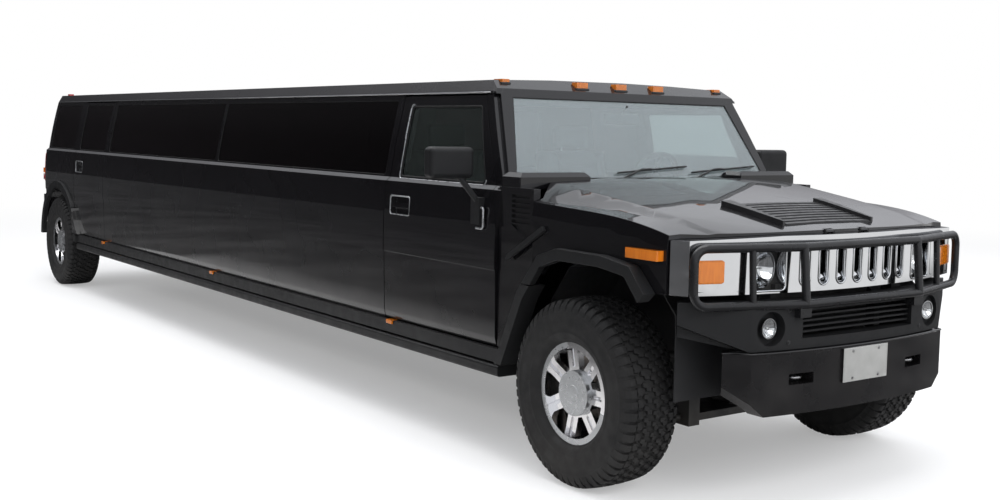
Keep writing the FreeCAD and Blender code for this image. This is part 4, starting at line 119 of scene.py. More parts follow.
def camera_turn(yaw, pitch, roll):
    """World matrix of a camera that looks along yaw and pitch, tipped by roll."""
    look = Vector((math.cos(yaw) * math.cos(pitch), math.sin(yaw) * math.cos(pitch), math.sin(pitch)))
    right = look.cross(Vector((0, 0, 1))).normalized()
    up = right.cross(look)
    side = right * math.cos(roll) + up * math.sin(roll)
    top = up * math.cos(roll) - right * math.sin(roll)
    return Matrix((side, top, -look)).transposed().to_4x4()


lens = bpy.data.cameras.new("portrait_camera")
lens.sensor_width = SENSOR_MM
lens.lens = LENS_MM
lens.shift_x, lens.shift_y = LENS_SHIFT
lens.clip_end = FARTHEST_SEEN
camera = on_set("portrait_camera", lens)
camera.matrix_world = Matrix.Translation(CAMERA_PLACE) @ camera_turn(CAMERA_YAW, CAMERA_PITCH, CAMERA_ROLL)
bpy.context.scene.camera = camera
print("camera lens", lens.lens, "mm")

# %% [markdown]
# ## Floor, sky and lamps
#
# Black gloss paint is seen by what it mirrors. The world is white to the camera
# and through glass, but gloss sees an overcast sky that darkens towards the
# horizon and on the camera's side, as if hedges stood there, and a dark yard in
# place of the pale floor. So flanks stay black while the hood and the chrome nose
# mirror the sky and a pale drive ahead, and the wheels the pale ground beside them.

# %% Studio helpers
def new_nodes(tree, *kinds):
    """New nodes of these kinds, in this order."""
    return [tree.nodes.new(kind) for kind in kinds]


def wire(tree, *cables):
    """Links nodes; each cable is (from node, its output, to node, its input)."""
    for source, leaving, target, entering in cables:
        tree.links.new(source.outputs[leaving], target.inputs[entering])


def ranged(node, low, high, to_low=0.0, to_high=1.0):
    """Sets the ranges of a Map Range node."""
    for socket, number in zip(("From Min", "From Max", "To Min", "To Max"), (low, high, to_low, to_high)):
        node.inputs[socket].default_value = number


def area_lamp(name, place, target, size, power, mirrored_in_gloss=False):
    """A soft box of (width, height), aimed at the target."""
    data = bpy.data.lights.new(name, "AREA")
    data.shape = "RECTANGLE"
    data.size, data.size_y = size
    data.energy = power
    lamp = on_set(name, data)
    lamp.location = place
    lamp.rotation_euler = (Vector(target) - Vector(place)).to_track_quat("-Z", "Y").to_euler()
    lamp.visible_glossy = mirrored_in_gloss


print("studio helpers ready")

# %% World
SKY_UP = (0.0, 0.32, 1.0)
SKY_AHEAD = (0.75, 0.2, 1.2)
HEDGE_TOP, SKY_CLEAR = 0.03, 0.62
world = bpy.data.worlds.new("overcast_sky")
bpy.context.scene.world = world
world.use_nodes = True
sky = world.node_tree
sky.nodes.clear()
out, direct, soft, mix, coords, toward, front, brighter, ramp, path, either = new_nodes(
    sky, "ShaderNodeOutputWorld", "ShaderNodeBackground", "ShaderNodeBackground", "ShaderNodeMixShader",
    "ShaderNodeTexCoord", "ShaderNodeVectorMath", "ShaderNodeVectorMath", "ShaderNodeMath",
    "ShaderNodeValToRGB", "ShaderNodeLightPath", "ShaderNodeMath")
direct.inputs["Color"].default_value = (1.0, 1.0, 1.0, 1.0)
soft.inputs["Strength"].default_value = 1.0
toward.operation = front.operation = "DOT_PRODUCT"
toward.inputs[1].default_value = SKY_UP
front.inputs[1].default_value = SKY_AHEAD
brighter.operation = either.operation = "MAXIMUM"
hedge, clear_sky = ramp.color_ramp.elements
hedge.position, hedge.color = HEDGE_TOP, (0.022, 0.021, 0.023, 1.0)
clear_sky.position, clear_sky.color = SKY_CLEAR, (0.98, 1.0, 1.05, 1.0)
for place, level in ((0.2, 0.07), (0.4, 0.42)):
    ramp.color_ramp.elements.new(place).color = (level, level, level * 1.06, 1.0)
wire(sky, (coords, "Generated", toward, 0), (coords, "Generated", front, 0), (toward, "Value", brighter, 0),
     (front, "Value", brighter, 1), (brighter, "Value", ramp, "Fac"), (ramp, "Color", soft, "Color"),
     (path, "Is Camera Ray", either, 0), (path, "Is Transmission Ray", either, 1),
     (either, "Value", mix, "Fac"), (soft, "Background", mix, 1), (direct, "Background", mix, 2),
     (mix, "Shader", out, "Surface"))
bpy.context.scene.view_settings.view_transform = "Standard"
print("world ready")

# %% Floor
FLOOR_HALF = 60.0
floor_data = bpy.data.meshes.new("studio_floor")
floor_corners = [(x * FLOOR_HALF, y * FLOOR_HALF, 0.0) for x, y in ((-1, -1), (1, -1), (1, 1), (-1, 1))]
floor_data.from_pydata(floor_corners, [], [(0, 1, 2, 3)])
floor = on_set("studio_floor", floor_data)
paving = bpy.data.materials.new("pale_floor")
paving.use_nodes = True
tree = paving.node_tree
matte = tree.nodes["Principled BSDF"]
WHITE_FLOOR = (0.86, 0.86, 0.86, 1.0)
for socket, value in (("Base Color", WHITE_FLOOR), ("Roughness", 0.85), ("Specular IOR Level", 0.1)):
    matte.inputs[socket].default_value = value
where, seen = new_nodes(tree, "ShaderNodeTexCoord", "ShaderNodeLightPath")
print("floor", 2 * FLOOR_HALF, "m wide")

# %% [markdown]
# To the camera the floor fades to pure white with its distance from the vehicle.
# Gloss sees a bright strip of it far ahead, where the chrome nose looks.

# %% Glow of the floor
FADE_FROM, FADE_TO = 3.0, 16.0
STRIP_FROM, STRIP_TO = 9.4, 12.4
glow, blend, lift, reach, fade, lean, zone, mirrored, either_way = new_nodes(
    tree, "ShaderNodeEmission", "ShaderNodeMixShader", "ShaderNodeMath", "ShaderNodeVectorMath",
    "ShaderNodeMapRange", "ShaderNodeVectorMath", "ShaderNodeMapRange", "ShaderNodeMath", "ShaderNodeMath")
glow.inputs["Color"].default_value = (1.0, 1.0, 1.0, 1.0)
lift.operation, reach.operation = "MULTIPLY", "LENGTH"
ranged(fade, FADE_FROM, FADE_TO, 0.3, 1.0)
lean.operation, mirrored.operation, either_way.operation = "DOT_PRODUCT", "MULTIPLY", "MAXIMUM"
lean.inputs[1].default_value = (1.0, 0.5, 0.0)
ranged(zone, STRIP_FROM, STRIP_TO, 0.0, 0.85)
wire(tree, (where, "Object", reach, 0), (reach, "Value", fade, "Value"), (fade, "Result", lift, 1),
     (seen, "Is Camera Ray", lift, 0), (where, "Object", lean, 0), (lean, "Value", zone, "Value"),
     (zone, "Result", mirrored, 0), (seen, "Is Glossy Ray", mirrored, 1), (lift, "Value", either_way, 0),
     (mirrored, "Value", either_way, 1), (either_way, "Value", blend, "Fac"), (matte, "BSDF", blend, 1),
     (glow, "Emission", blend, 2), (blend, "Shader", tree.nodes["Material Output"], "Surface"))
print("floor glow from", FADE_FROM, "to", FADE_TO, "m")

# %% [markdown]
# Gloss also sees a dark, patchy yard, and pale ground only in a strip beside and
# under the vehicle, where the wheels look. Every other ray sees the white floor.

# %% Colour of the floor
YARD_TONES = (0.045, 0.13)
GROUND_TONE = (0.62, 0.61, 0.6, 1.0)
BESIDE, ALONG = (2.2, 3.0), (4.6, 5.2)
yard, tone, dim, parts, away, ends, beside, along, near, ground = new_nodes(
    tree, "ShaderNodeTexNoise", "ShaderNodeValToRGB", "ShaderNodeMix", "ShaderNodeSeparateXYZ",
    "ShaderNodeMath", "ShaderNodeMath", "ShaderNodeMapRange", "ShaderNodeMapRange", "ShaderNodeMath",
    "ShaderNodeMix")
yard.inputs["Scale"].default_value = 0.9
yard.inputs["Detail"].default_value = 8.0
for element, place, level in zip(tone.color_ramp.elements, (0.35, 0.7), YARD_TONES):
    element.position = place
    element.color = (level, level * 0.98, level * 0.97, 1.0)
dim.data_type = ground.data_type = "RGBA"
dim.inputs["A"].default_value = WHITE_FLOOR
ground.inputs["B"].default_value = GROUND_TONE
away.operation = ends.operation = "ABSOLUTE"
near.operation = "MULTIPLY"
ranged(beside, *BESIDE, 1.0, 0.0)
ranged(along, *ALONG, 1.0, 0.0)
wire(tree, (where, "Object", yard, "Vector"), (yard, "Fac", tone, "Fac"), (where, "Object", parts, "Vector"),
     (parts, "Y", away, 0), (parts, "X", ends, 0), (away, "Value", beside, "Value"),
     (ends, "Value", along, "Value"), (beside, "Result", near, 0), (along, "Result", near, 1),
     (near, "Value", ground, "Factor"), (tone, "Color", ground, "A"), (ground, "Result", dim, "B"),
     (seen, "Is Glossy Ray", dim, "Factor"), (dim, "Result", matte, "Base Color"))
floor_data.materials.append(paving)
print("yard tones", YARD_TONES)

# %% Studio lamps
area_lamp("overhead_box", (0.5, -1.2, 7.5), (0.0, 0.0, 0.8), (13.0, 3.0), 520.0, True)
area_lamp("front_box", (ahead(6.0), -1.0, 4.5), (ahead(0.3), 0.0, 0.9), (4.0, 3.0), 260.0)
area_lamp("camera_side_box", (1.0, -9.0, 5.5), (0.5, 0.0, 0.6), (12.0, 2.0), 260.0)
area_lamp("far_side_box", (-2.0, 9.0, 6.0), (0.0, 0.0, 0.8), (12.0, 3.0), 320.0)
print("lamps", len(bpy.data.lights))

# %% [markdown]
# ## Finishes
#
# Each finish is one Principled surface with noise that reads the object's own
# coordinates: one noise for colour and dust, one for roughness, and a fine one
# for the grain that a light catches. Wide, gentle changes look like age.

# %% Finish helpers
NOISE_BAND = (0.35, 0.65)
DUST_SCALE, DUST_DETAIL = 3.5, 8.0


def finish(name, colour, rough, metal=0.0, **sockets):
    """A named Principled material; the sockets are set as plain values."""
    mat = bpy.data.materials.new(name)
    mat.use_nodes = True
    bsdf = mat.node_tree.nodes["Principled BSDF"]
    bsdf.inputs["Base Color"].default_value = (*colour, 1.0)
    bsdf.inputs["Roughness"].default_value = rough
    bsdf.inputs["Metallic"].default_value = metal
    for socket, value in sockets.items():
        bsdf.inputs[socket.replace("_", " ")].default_value = value
    return mat


def shader_of(mat):
    """The one Principled surface of a finish."""
    return mat.node_tree.nodes["Principled BSDF"]


def patches(mat, scale, detail, stretch=(1.0, 1.0, 1.0)):
    """Noise on the object's coordinates, as a value from 0 to 1."""
    tree = mat.node_tree
    where, turn, cloud = new_nodes(tree, "ShaderNodeTexCoord", "ShaderNodeMapping", "ShaderNodeTexNoise")
    turn.inputs["Scale"].default_value = stretch
    cloud.inputs["Scale"].default_value = scale
    cloud.inputs["Detail"].default_value = detail
    wire(tree, (where, "Object", turn, "Vector"), (turn, "Vector", cloud, "Vector"))
    return cloud.outputs["Fac"]


def between(mat, value, low, high, to_low=0.0, to_high=1.0):
    """Maps a value from one range to another and clamps it."""
    node = mat.node_tree.nodes.new("ShaderNodeMapRange")
    ranged(node, low, high, to_low, to_high)
    mat.node_tree.links.new(value, node.inputs["Value"])
    return node.outputs["Result"]


def tint(mat, share, colour_a, colour_b):
    """Base colour that goes from a to b with the share."""
    node = mat.node_tree.nodes.new("ShaderNodeMix")
    node.data_type = "RGBA"
    node.inputs["A"].default_value = (*colour_a, 1.0)
    node.inputs["B"].default_value = (*colour_b, 1.0)
    mat.node_tree.links.new(share, node.inputs["Factor"])
    mat.node_tree.links.new(node.outputs["Result"], shader_of(mat).inputs["Base Color"])


def stained(mat, scale, detail, colour_a, colour_b):
    """Base colour that goes from a to b in patches."""
    tint(mat, patches(mat, scale, detail), colour_a, colour_b)


def uneven(mat, scale, detail, low, high, stretch=(1.0, 1.0, 1.0)):
    """Roughness that goes from low to high in patches."""
    share = between(mat, patches(mat, scale, detail, stretch), *NOISE_BAND, low, high)
    mat.node_tree.links.new(share, shader_of(mat).inputs["Roughness"])


def relief(mat, scale, detail, strength, depth):
    """Bump from fine noise; the depth is in metres at full strength."""
    node = mat.node_tree.nodes.new("ShaderNodeBump")
    node.inputs["Strength"].default_value = strength
    node.inputs["Distance"].default_value = depth
    mat.node_tree.links.new(patches(mat, scale, detail), node.inputs["Height"])
    mat.node_tree.links.new(node.outputs["Normal"], shader_of(mat).inputs["Normal"])


def height_share(mat, low, high):
    """1 below the low height and 0 above the high one, for dust near the road."""
    tree = mat.node_tree
    where, split = new_nodes(tree, "ShaderNodeTexCoord", "ShaderNodeSeparateXYZ")
    tree.links.new(where.outputs["Object"], split.inputs["Vector"])
    return between(mat, split.outputs["Z"], low, high, 1.0, 0.0)


def times(mat, a, b):
    """Product of two values."""
    node = mat.node_tree.nodes.new("ShaderNodeMath")
    node.operation = "MULTIPLY"
    mat.node_tree.links.new(a, node.inputs[0])
    mat.node_tree.links.new(b, node.inputs[1])
    return node.outputs["Value"]


def dusty(mat, clean, dust, low, high, amount=1.0):
    """Road dust that thins out with height, broken up by noise."""
    broken = between(mat, patches(mat, DUST_SCALE, DUST_DETAIL), 0.3, 0.8, 0.0, amount)
    tint(mat, times(mat, height_share(mat, low, high), broken), clean, dust)


print("finish helpers ready")

# %% [markdown]
# The body paint is a deep black under clear lacquer. Its only colour comes from
# the lacquer's mirror, so the base stays nearly black, with a faint film of road
# dust low down and the slight orange peel of sprayed lacquer.

# %% Body paint
paint = finish("gloss_black_paint", (0.004, 0.004, 0.0045), 0.35, Coat_Weight=1.0, Coat_Roughness=0.02,
               Specular_IOR_Level=0.08)
dusty(paint, (0.0035, 0.0033, 0.004), (0.035, 0.033, 0.031), 0.45, 0.95, 0.55)
uneven(paint, 2.0, 6.0, 0.28, 0.42)
relief(paint, 220.0, 2.0, 0.03, 0.0004)
print("body finish", paint.name)

# %% Plastics, rubber and seals
grained = finish("grained_grey_plastic", (0.03, 0.031, 0.033), 0.5, Specular_IOR_Level=0.28)
dusty(grained, (0.008, 0.0082, 0.0088), (0.038, 0.037, 0.036), 0.3, 1.0, 0.45)
uneven(grained, 14.0, 6.0, 0.42, 0.58)
relief(grained, 650.0, 2.0, 0.35, 0.0006)

smooth_plastic = finish("satin_black_plastic", (0.012, 0.012, 0.0125), 0.38)
stained(smooth_plastic, 9.0, 6.0, (0.009, 0.009, 0.0095), (0.02, 0.02, 0.021))
uneven(smooth_plastic, 25.0, 5.0, 0.3, 0.46)
relief(smooth_plastic, 900.0, 2.0, 0.15, 0.0003)

tube_paint = finish("powder_coated_tube", (0.012, 0.012, 0.013), 0.32, Specular_IOR_Level=0.35,
                    Coat_Weight=0.15, Coat_Roughness=0.15)
stained(tube_paint, 12.0, 6.0, (0.005, 0.005, 0.0056), (0.011, 0.011, 0.0118))
uneven(tube_paint, 30.0, 4.0, 0.26, 0.4)
relief(tube_paint, 420.0, 3.0, 0.18, 0.0004)

rubber = finish("tyre_rubber", (0.02, 0.02, 0.02), 0.72, Specular_IOR_Level=0.35)
dusty(rubber, (0.009, 0.009, 0.0092), (0.03, 0.028, 0.026), 0.0, 0.9, 0.8)
uneven(rubber, 18.0, 7.0, 0.6, 0.82)
relief(rubber, 480.0, 4.0, 0.3, 0.0007)

seal_rubber = finish("seal_rubber", (0.007, 0.007, 0.007), 0.6, Specular_IOR_Level=0.25)
uneven(seal_rubber, 40.0, 4.0, 0.5, 0.7)
relief(seal_rubber, 700.0, 2.0, 0.2, 0.0003)
print("finishes so far", len(bpy.data.materials))

# %% Metals
chrome = finish("polished_chrome", (0.78, 0.79, 0.8), 0.06, 1.0)
stained(chrome, 5.0, 6.0, (0.8, 0.81, 0.82), (0.68, 0.69, 0.71))
uneven(chrome, 16.0, 7.0, 0.035, 0.1)

wheel_chrome = finish("wheel_chrome", (0.78, 0.78, 0.79), 0.1, 1.0)
dusty(wheel_chrome, (0.8, 0.8, 0.81), (0.42, 0.39, 0.36), 0.1, 0.9, 0.35)
uneven(wheel_chrome, 20.0, 8.0, 0.05, 0.17)

cap_metal = finish("satin_cap_metal", (0.5, 0.51, 0.52), 0.3, 0.85)
stained(cap_metal, 30.0, 5.0, (0.5, 0.51, 0.52), (0.4, 0.41, 0.42))
uneven(cap_metal, 45.0, 6.0, 0.24, 0.38)

plate_blank = finish("blank_plate", (0.5, 0.5, 0.48), 0.36, 0.6)
stained(plate_blank, 14.0, 7.0, (0.58, 0.58, 0.56), (0.4, 0.4, 0.385))
uneven(plate_blank, 60.0, 6.0, 0.28, 0.46, (1.0, 1.0, 6.0))

bolt_steel = finish("zinc_bolt_steel", (0.55, 0.56, 0.57), 0.3, 1.0)
stained(bolt_steel, 80.0, 6.0, (0.6, 0.61, 0.62), (0.36, 0.35, 0.34))
uneven(bolt_steel, 120.0, 5.0, 0.22, 0.42)

chassis_paint = finish("chassis_paint", (0.016, 0.016, 0.016), 0.62)
dusty(chassis_paint, (0.014, 0.014, 0.014), (0.07, 0.062, 0.053), 0.2, 1.3, 0.8)
uneven(chassis_paint, 11.0, 7.0, 0.5, 0.75)
relief(chassis_paint, 260.0, 5.0, 0.3, 0.0008)

brake_steel = finish("brake_steel", (0.32, 0.31, 0.3), 0.38, 1.0)
stained(brake_steel, 18.0, 8.0, (0.36, 0.35, 0.34), (0.2, 0.15, 0.11))
uneven(brake_steel, 50.0, 5.0, 0.3, 0.52)

exhaust_steel = finish("heated_exhaust_steel", (0.3, 0.28, 0.26), 0.45, 1.0)
stained(exhaust_steel, 6.0, 9.0, (0.34, 0.32, 0.3), (0.19, 0.12, 0.08))
uneven(exhaust_steel, 22.0, 6.0, 0.34, 0.62)
print("finishes with metals", len(bpy.data.materials))

# %% [markdown]
# Automotive glass is laminated and tinted. Transmission with a dark base colour
# takes the same share of light whichever way a ray goes, so the far glass stays
# readable through the near one in the cab, and the cabin's privacy glass is
# nearly black.

# %% Glass and lenses
GREASE = 0.03


def glass(name, colour):
    """A clear finish with a faint film of grease."""
    mat = finish(name, colour, 0.0, Transmission_Weight=1.0, IOR=1.45)
    film = between(mat, patches(mat, 4.0, 6.0), 0.3, 0.7, 0.0, GREASE)
    mat.node_tree.links.new(film, shader_of(mat).inputs["Roughness"])
    return mat


privacy_glass = glass("privacy_glass", (0.018, 0.014, 0.016))
cab_glass = glass("cab_side_glass", (0.2, 0.24, 0.23))
screen_glass = glass("windscreen_glass", (0.7, 0.8, 0.83))
shader_of(screen_glass).inputs["Transmission Weight"].default_value = 0.86
shader_of(screen_glass).inputs["IOR"].default_value = 1.7
clear_lens = glass("clear_lens", (0.96, 0.97, 0.98))
amber_lens = finish("amber_lens", (0.9, 0.3, 0.015), 0.12, Transmission_Weight=0.35, Coat_Weight=0.8,
                    Coat_Roughness=0.03)
tint(amber_lens, between(amber_lens, patches(amber_lens, 90.0, 3.0, (1.0, 1.0, 0.12)), 0.38, 0.62),
     (0.7, 0.2, 0.011), (0.62, 0.165, 0.008))
red_lens = finish("red_lens", (0.5, 0.012, 0.01), 0.12, Transmission_Weight=0.3, Coat_Weight=0.8,
                  Coat_Roughness=0.03)
stained(red_lens, 50.0, 3.0, (0.55, 0.015, 0.012), (0.34, 0.006, 0.006))
print("finishes with glass", len(bpy.data.materials))

# %% Cabin finishes
trim = finish("soft_dark_trim", (0.05, 0.05, 0.052), 0.62)
stained(trim, 7.0, 5.0, (0.045, 0.045, 0.047), (0.07, 0.069, 0.07))
relief(trim, 500.0, 3.0, 0.35, 0.0006)
pale_trim = finish("pale_grey_trim", (0.4, 0.41, 0.42), 0.6)
stained(pale_trim, 6.0, 5.0, (0.42, 0.43, 0.44), (0.33, 0.34, 0.35))
relief(pale_trim, 450.0, 3.0, 0.3, 0.0006)
carpet = finish("sound_deadening_floor", (0.03, 0.03, 0.031), 0.9, Sheen_Weight=0.2)
stained(carpet, 30.0, 8.0, (0.022, 0.022, 0.023), (0.05, 0.05, 0.05))
relief(carpet, 800.0, 5.0, 0.5, 0.001)
leather = finish("seat_leather", (0.12, 0.12, 0.125), 0.48, Sheen_Weight=0.08)
stained(leather, 5.0, 6.0, (0.13, 0.13, 0.135), (0.085, 0.085, 0.09))
uneven(leather, 22.0, 6.0, 0.4, 0.56)
print("finishes", len(bpy.data.materials))

# %% [markdown]
# Every node starts with the finish of its slot in the record, so nothing shows
# in a plain colour while the finer pieces are being made.

# %% Finish for every node
SLOT_FINISH = {
    "paint_black": paint, "plastic_grey": grained, "plastic_black": smooth_plastic, "guard_black": tube_paint,
    "chrome_trim": chrome, "rim_chrome": wheel_chrome, "tyre_rubber": rubber, "glass_dark": privacy_glass,
    "glass_tint": cab_glass, "glass_clear": screen_glass, "lens_clear": clear_lens, "lens_amber": amber_lens,
    "lens_red": red_lens, "chassis_steel": chassis_paint, "exhaust_steel": exhaust_steel,
    "floor_paint": carpet, "plate_metal": plate_blank, "trim_dark": trim, "seat_leather": leather,
}
NODE_SLOT = {row["node"]: row["material_slot"] for row in frame["record"]["subparts"]}
for name, node in NODES.items():
    node.data.materials.clear()
    node.data.materials.append(SLOT_FINISH[NODE_SLOT[name]])
print("nodes finished", len(NODES))

# %% [markdown]
# ## Softened panels
#
# A pressed panel has no knife edges: every fold is a small radius that draws a
# thin highlight. The solids are sharp, so each painted or moulded node is copied,
# its loose triangles are merged, flat ones joined, and the sharp edges bevelled.
# One helper links every piece, says its body and hides the nodes it stands for.

# %% Pieces
def as_piece(name, data, mat, body, place=None, stands_for=()):
    """Links a mesh as a finished piece that rides on a body."""
    data.name = name
    if place is not None:
        data.transform(place)
    if not data.materials:
        data.materials.append(mat)
    piece = on_set(name, data)
    if stands_for:
        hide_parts(*stands_for)
    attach(piece, body)
    return piece


# %% Softening
SHARP = math.radians(28.0)
SAME_PLANE = math.radians(0.8)
SAME_POINT, SAME_BEVEL_POINT = 0.00005, 0.00002
ROUNDER_STEPS = 5


def merged(data):
    """The mesh with its loose triangles joined at their corners, ready for editing."""
    mesh = bmesh.new()
    mesh.from_mesh(data)
    bmesh.ops.remove_doubles(mesh, verts=mesh.verts, dist=SAME_POINT)
    return mesh


def shade(mesh, angle=SHARP):
    """Smooth faces, with every fold past the angle kept sharp."""
    for face in mesh.faces:
        face.smooth = True
    for edge in mesh.edges:
        edge.smooth = len(edge.link_faces) == 2 and edge.calc_face_angle(0.0) < angle


def rounded(mesh, edges, width, segments):
    """Bevels the edges."""
    bmesh.ops.bevel(mesh, geom=edges, offset=width, segments=segments, profile=0.5, affect="EDGES",
                    clamp_overlap=True)


def softened(node, width, segments=2, rounder_above=None, round_width=0.0):
    """A copy of a node with rounded edges, which stands for it; lamps high up are rounder."""
    data = NODES[node].data.copy()
    mesh = merged(data)
    bmesh.ops.dissolve_limit(mesh, angle_limit=SAME_PLANE, verts=mesh.verts, edges=mesh.edges)
    edges = [e for e in mesh.edges if len(e.link_faces) == 2 and e.calc_face_angle(0.0) > SHARP]
    if rounder_above is not None:
        high = [e for e in edges if min(v.co.z for v in e.verts) > rounder_above]
        edges = [e for e in edges if e not in high]
        rounded(mesh, high, round_width, ROUNDER_STEPS)
        edges = [e for e in edges if e.is_valid]
    rounded(mesh, edges, width, segments)
    bmesh.ops.remove_doubles(mesh, verts=mesh.verts, dist=SAME_BEVEL_POINT)
    shade(mesh)
    mesh.to_mesh(data)
    mesh.free()
    data.materials.clear()
    slot = NODE_SLOT[node]
    piece = as_piece(node + "_panel", data, SLOT_FINISH[slot], NODES[node]["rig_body"],
                     stands_for=(node,))
    piece.modifiers.new("even_shading", "WEIGHTED_NORMAL").keep_sharp = True
    return piece


PANELS = {
    "hood": 0.005, "cowl": 0.004, "roof": 0.006, "side_panels": 0.003, "quarter_panels": 0.003,
    "liftgate": 0.003, "door_front_left": 0.003, "door_front_right": 0.003, "door_rear_left": 0.003,
    "door_rear_right": 0.003, "bumper_front": 0.006, "bumper_rear": 0.006, "front_flares": 0.005,
    "sill_mouldings": 0.004, "running_boards": 0.004, "mirror_left": 0.008, "mirror_right": 0.008,
    "grille": 0.006, "hood_latches": 0.003, "hood_vent": 0.002, "side_markers": 0.004, "rear_lamps": 0.004,
}
for name, width in PANELS.items():
    softened(name, width)
softened("amber_lamps", 0.005, rounder_above=1.83, round_width=0.014)
print("softened", len(PANELS) + 1)

# %% [markdown]
# ## Shared makers
#
# Turned pieces such as tyres, lamp bowls and caps share one lathe. A profile is
# a list of (along the axle, radius) and the lathe closes it around the Y axis.

# %% Lathe and mesh helpers
SAME_TURNED_POINT = 0.00001


def as_data(mesh, name):
    """Turns an edited mesh into mesh data."""
    data = bpy.data.meshes.new(name)
    mesh.to_mesh(data)
    mesh.free()
    return data


def tidied(mesh, name, angle=SHARP):
    """Merges doubles, turns faces outwards, marks folds and returns mesh data."""
    bmesh.ops.remove_doubles(mesh, verts=mesh.verts, dist=SAME_TURNED_POINT)
    bmesh.ops.recalc_face_normals(mesh, faces=mesh.faces)
    shade(mesh, angle)
    return as_data(mesh, name)


def turned(profile, steps=96, angle=SHARP):
    """Mesh of a closed profile turned about the Y axis."""
    mesh = bmesh.new()
    rings = []
    for i in range(steps):
        a = 2 * math.pi * i / steps
        rings.append([mesh.verts.new((r * math.sin(a), y, r * math.cos(a))) for y, r in profile])
    count = len(profile)
    for i in range(steps):
        here, there = rings[i], rings[(i + 1) % steps]
        for j in range(count):
            k = (j + 1) % count
            mesh.faces.new((here[j], here[k], there[k], there[j]))
    return tidied(mesh, "turned", angle)


def joined_mesh(meshes):
    """One mesh from several (mesh, matrix) pairs, with their materials."""
    mesh = bmesh.new()
    mats = []
    for data, place in meshes:
        copy = data.copy()
        copy.transform(place)
        start = len(mesh.faces)
        mesh.from_mesh(copy)
        mesh.faces.ensure_lookup_table()
        for face in mesh.faces[start:]:
            mat = copy.materials[face.material_index] if copy.materials else None
            if mat not in mats:
                mats.append(mat)
            face.material_index = mats.index(mat)
    data = as_data(mesh, "joined")
    for mat in mats:
        if mat:
            data.materials.append(mat)
    return data


def block(low, high, width=0.002, segments=2):
    """A box between two corners with rounded edges."""
    mesh = bmesh.new()
    bmesh.ops.create_cube(mesh, size=1.0)
    size = [b - a for a, b in zip(low, high)]
    bmesh.ops.scale(mesh, vec=size, verts=mesh.verts)
    bmesh.ops.translate(mesh, vec=[(a + b) / 2 for a, b in zip(low, high)], verts=mesh.verts)
    bmesh.ops.bevel(mesh, geom=mesh.edges[:], offset=width, segments=segments, profile=0.5, affect="EDGES")
    return tidied(mesh, "block")


def painted(data, mat):
    """The mesh with one finish."""
    data.materials.clear()
    data.materials.append(mat)
    return data


def plain(low, high, rounding, mat, segments=2):
    """A painted block, ready to be joined."""
    return painted(block(low, high, rounding, segments), mat), UNMOVED


print("makers ready")

# %% [markdown]
# Three Geometry Nodes trees carry all that repeats. One turns copies of a piece
# about the axle, one sets them out along a step, and one draws a round bar along
# a path, for seals, trims and pipes. Each result is turned into a plain mesh.

# %% Geometry Nodes trees
def node_group(name, *inputs):
    """A new tree with its named inputs, and its two end nodes."""
    tree = bpy.data.node_groups.new(name, "GeometryNodeTree")
    tree.interface.new_socket("Geometry", in_out="INPUT", socket_type="NodeSocketGeometry")
    for label, kind, value in inputs:
        socket = tree.interface.new_socket(label, in_out="INPUT", socket_type=kind)
        if value is not None:
            socket.default_value = value
    tree.interface.new_socket("Geometry", in_out="OUTPUT", socket_type="NodeSocketGeometry")
    return tree, tree.nodes.new("NodeGroupInput"), tree.nodes.new("NodeGroupOutput")


def finish_tree(tree, entry, leave, geometry):
    """Ends a tree with real geometry in the named finish."""
    real, coat = new_nodes(tree, "GeometryNodeRealizeInstances", "GeometryNodeSetMaterial")
    tree.links.new(geometry, real.inputs["Geometry"])
    wire(tree, (real, "Geometry", coat, "Geometry"), (entry, "Finish", coat, "Material"),
         (coat, "Geometry", leave, "Geometry"))


def ring_tree():
    """Copies of a piece turned about the Y axis."""
    tree, entry, leave = node_group(
        "turned_copies", ("Piece", "NodeSocketObject", None), ("Count", "NodeSocketInt", 8),
        ("Start", "NodeSocketFloat", 0.0), ("Finish", "NodeSocketMaterial", None))
    points, piece, copies, index, part, scale, shift, turn = new_nodes(
        tree, "GeometryNodeMeshLine", "GeometryNodeObjectInfo", "GeometryNodeInstanceOnPoints",
        "GeometryNodeInputIndex", "ShaderNodeMath", "ShaderNodeMath", "ShaderNodeMath",
        "ShaderNodeCombineXYZ")
    points.inputs["Offset"].default_value = (0.0, 0.0, 0.0)
    part.operation, scale.operation, shift.operation = "DIVIDE", "MULTIPLY", "ADD"
    scale.inputs[1].default_value = 2 * math.pi
    wire(tree, (entry, "Count", points, "Count"), (entry, "Piece", piece, "Object"),
         (index, "Index", part, 0), (entry, "Count", part, 1), (part, "Value", scale, 0),
         (scale, "Value", shift, 0), (entry, "Start", shift, 1), (shift, "Value", turn, "Y"),
         (points, "Mesh", copies, "Points"), (piece, "Geometry", copies, "Instance"),
         (turn, "Vector", copies, "Rotation"))
    finish_tree(tree, entry, leave, copies.outputs["Instances"])
    return tree


def row_tree():
    """Copies of a piece set out along a step."""
    tree, entry, leave = node_group(
        "stepped_copies", ("Piece", "NodeSocketObject", None), ("Count", "NodeSocketInt", 8),
        ("Step", "NodeSocketVector", (0.1, 0.0, 0.0)), ("Finish", "NodeSocketMaterial", None))
    points, piece, copies = new_nodes(tree, "GeometryNodeMeshLine", "GeometryNodeObjectInfo",
                                      "GeometryNodeInstanceOnPoints")
    wire(tree, (entry, "Count", points, "Count"), (entry, "Step", points, "Offset"),
         (entry, "Piece", piece, "Object"), (points, "Mesh", copies, "Points"),
         (piece, "Geometry", copies, "Instance"))
    finish_tree(tree, entry, leave, copies.outputs["Instances"])
    return tree


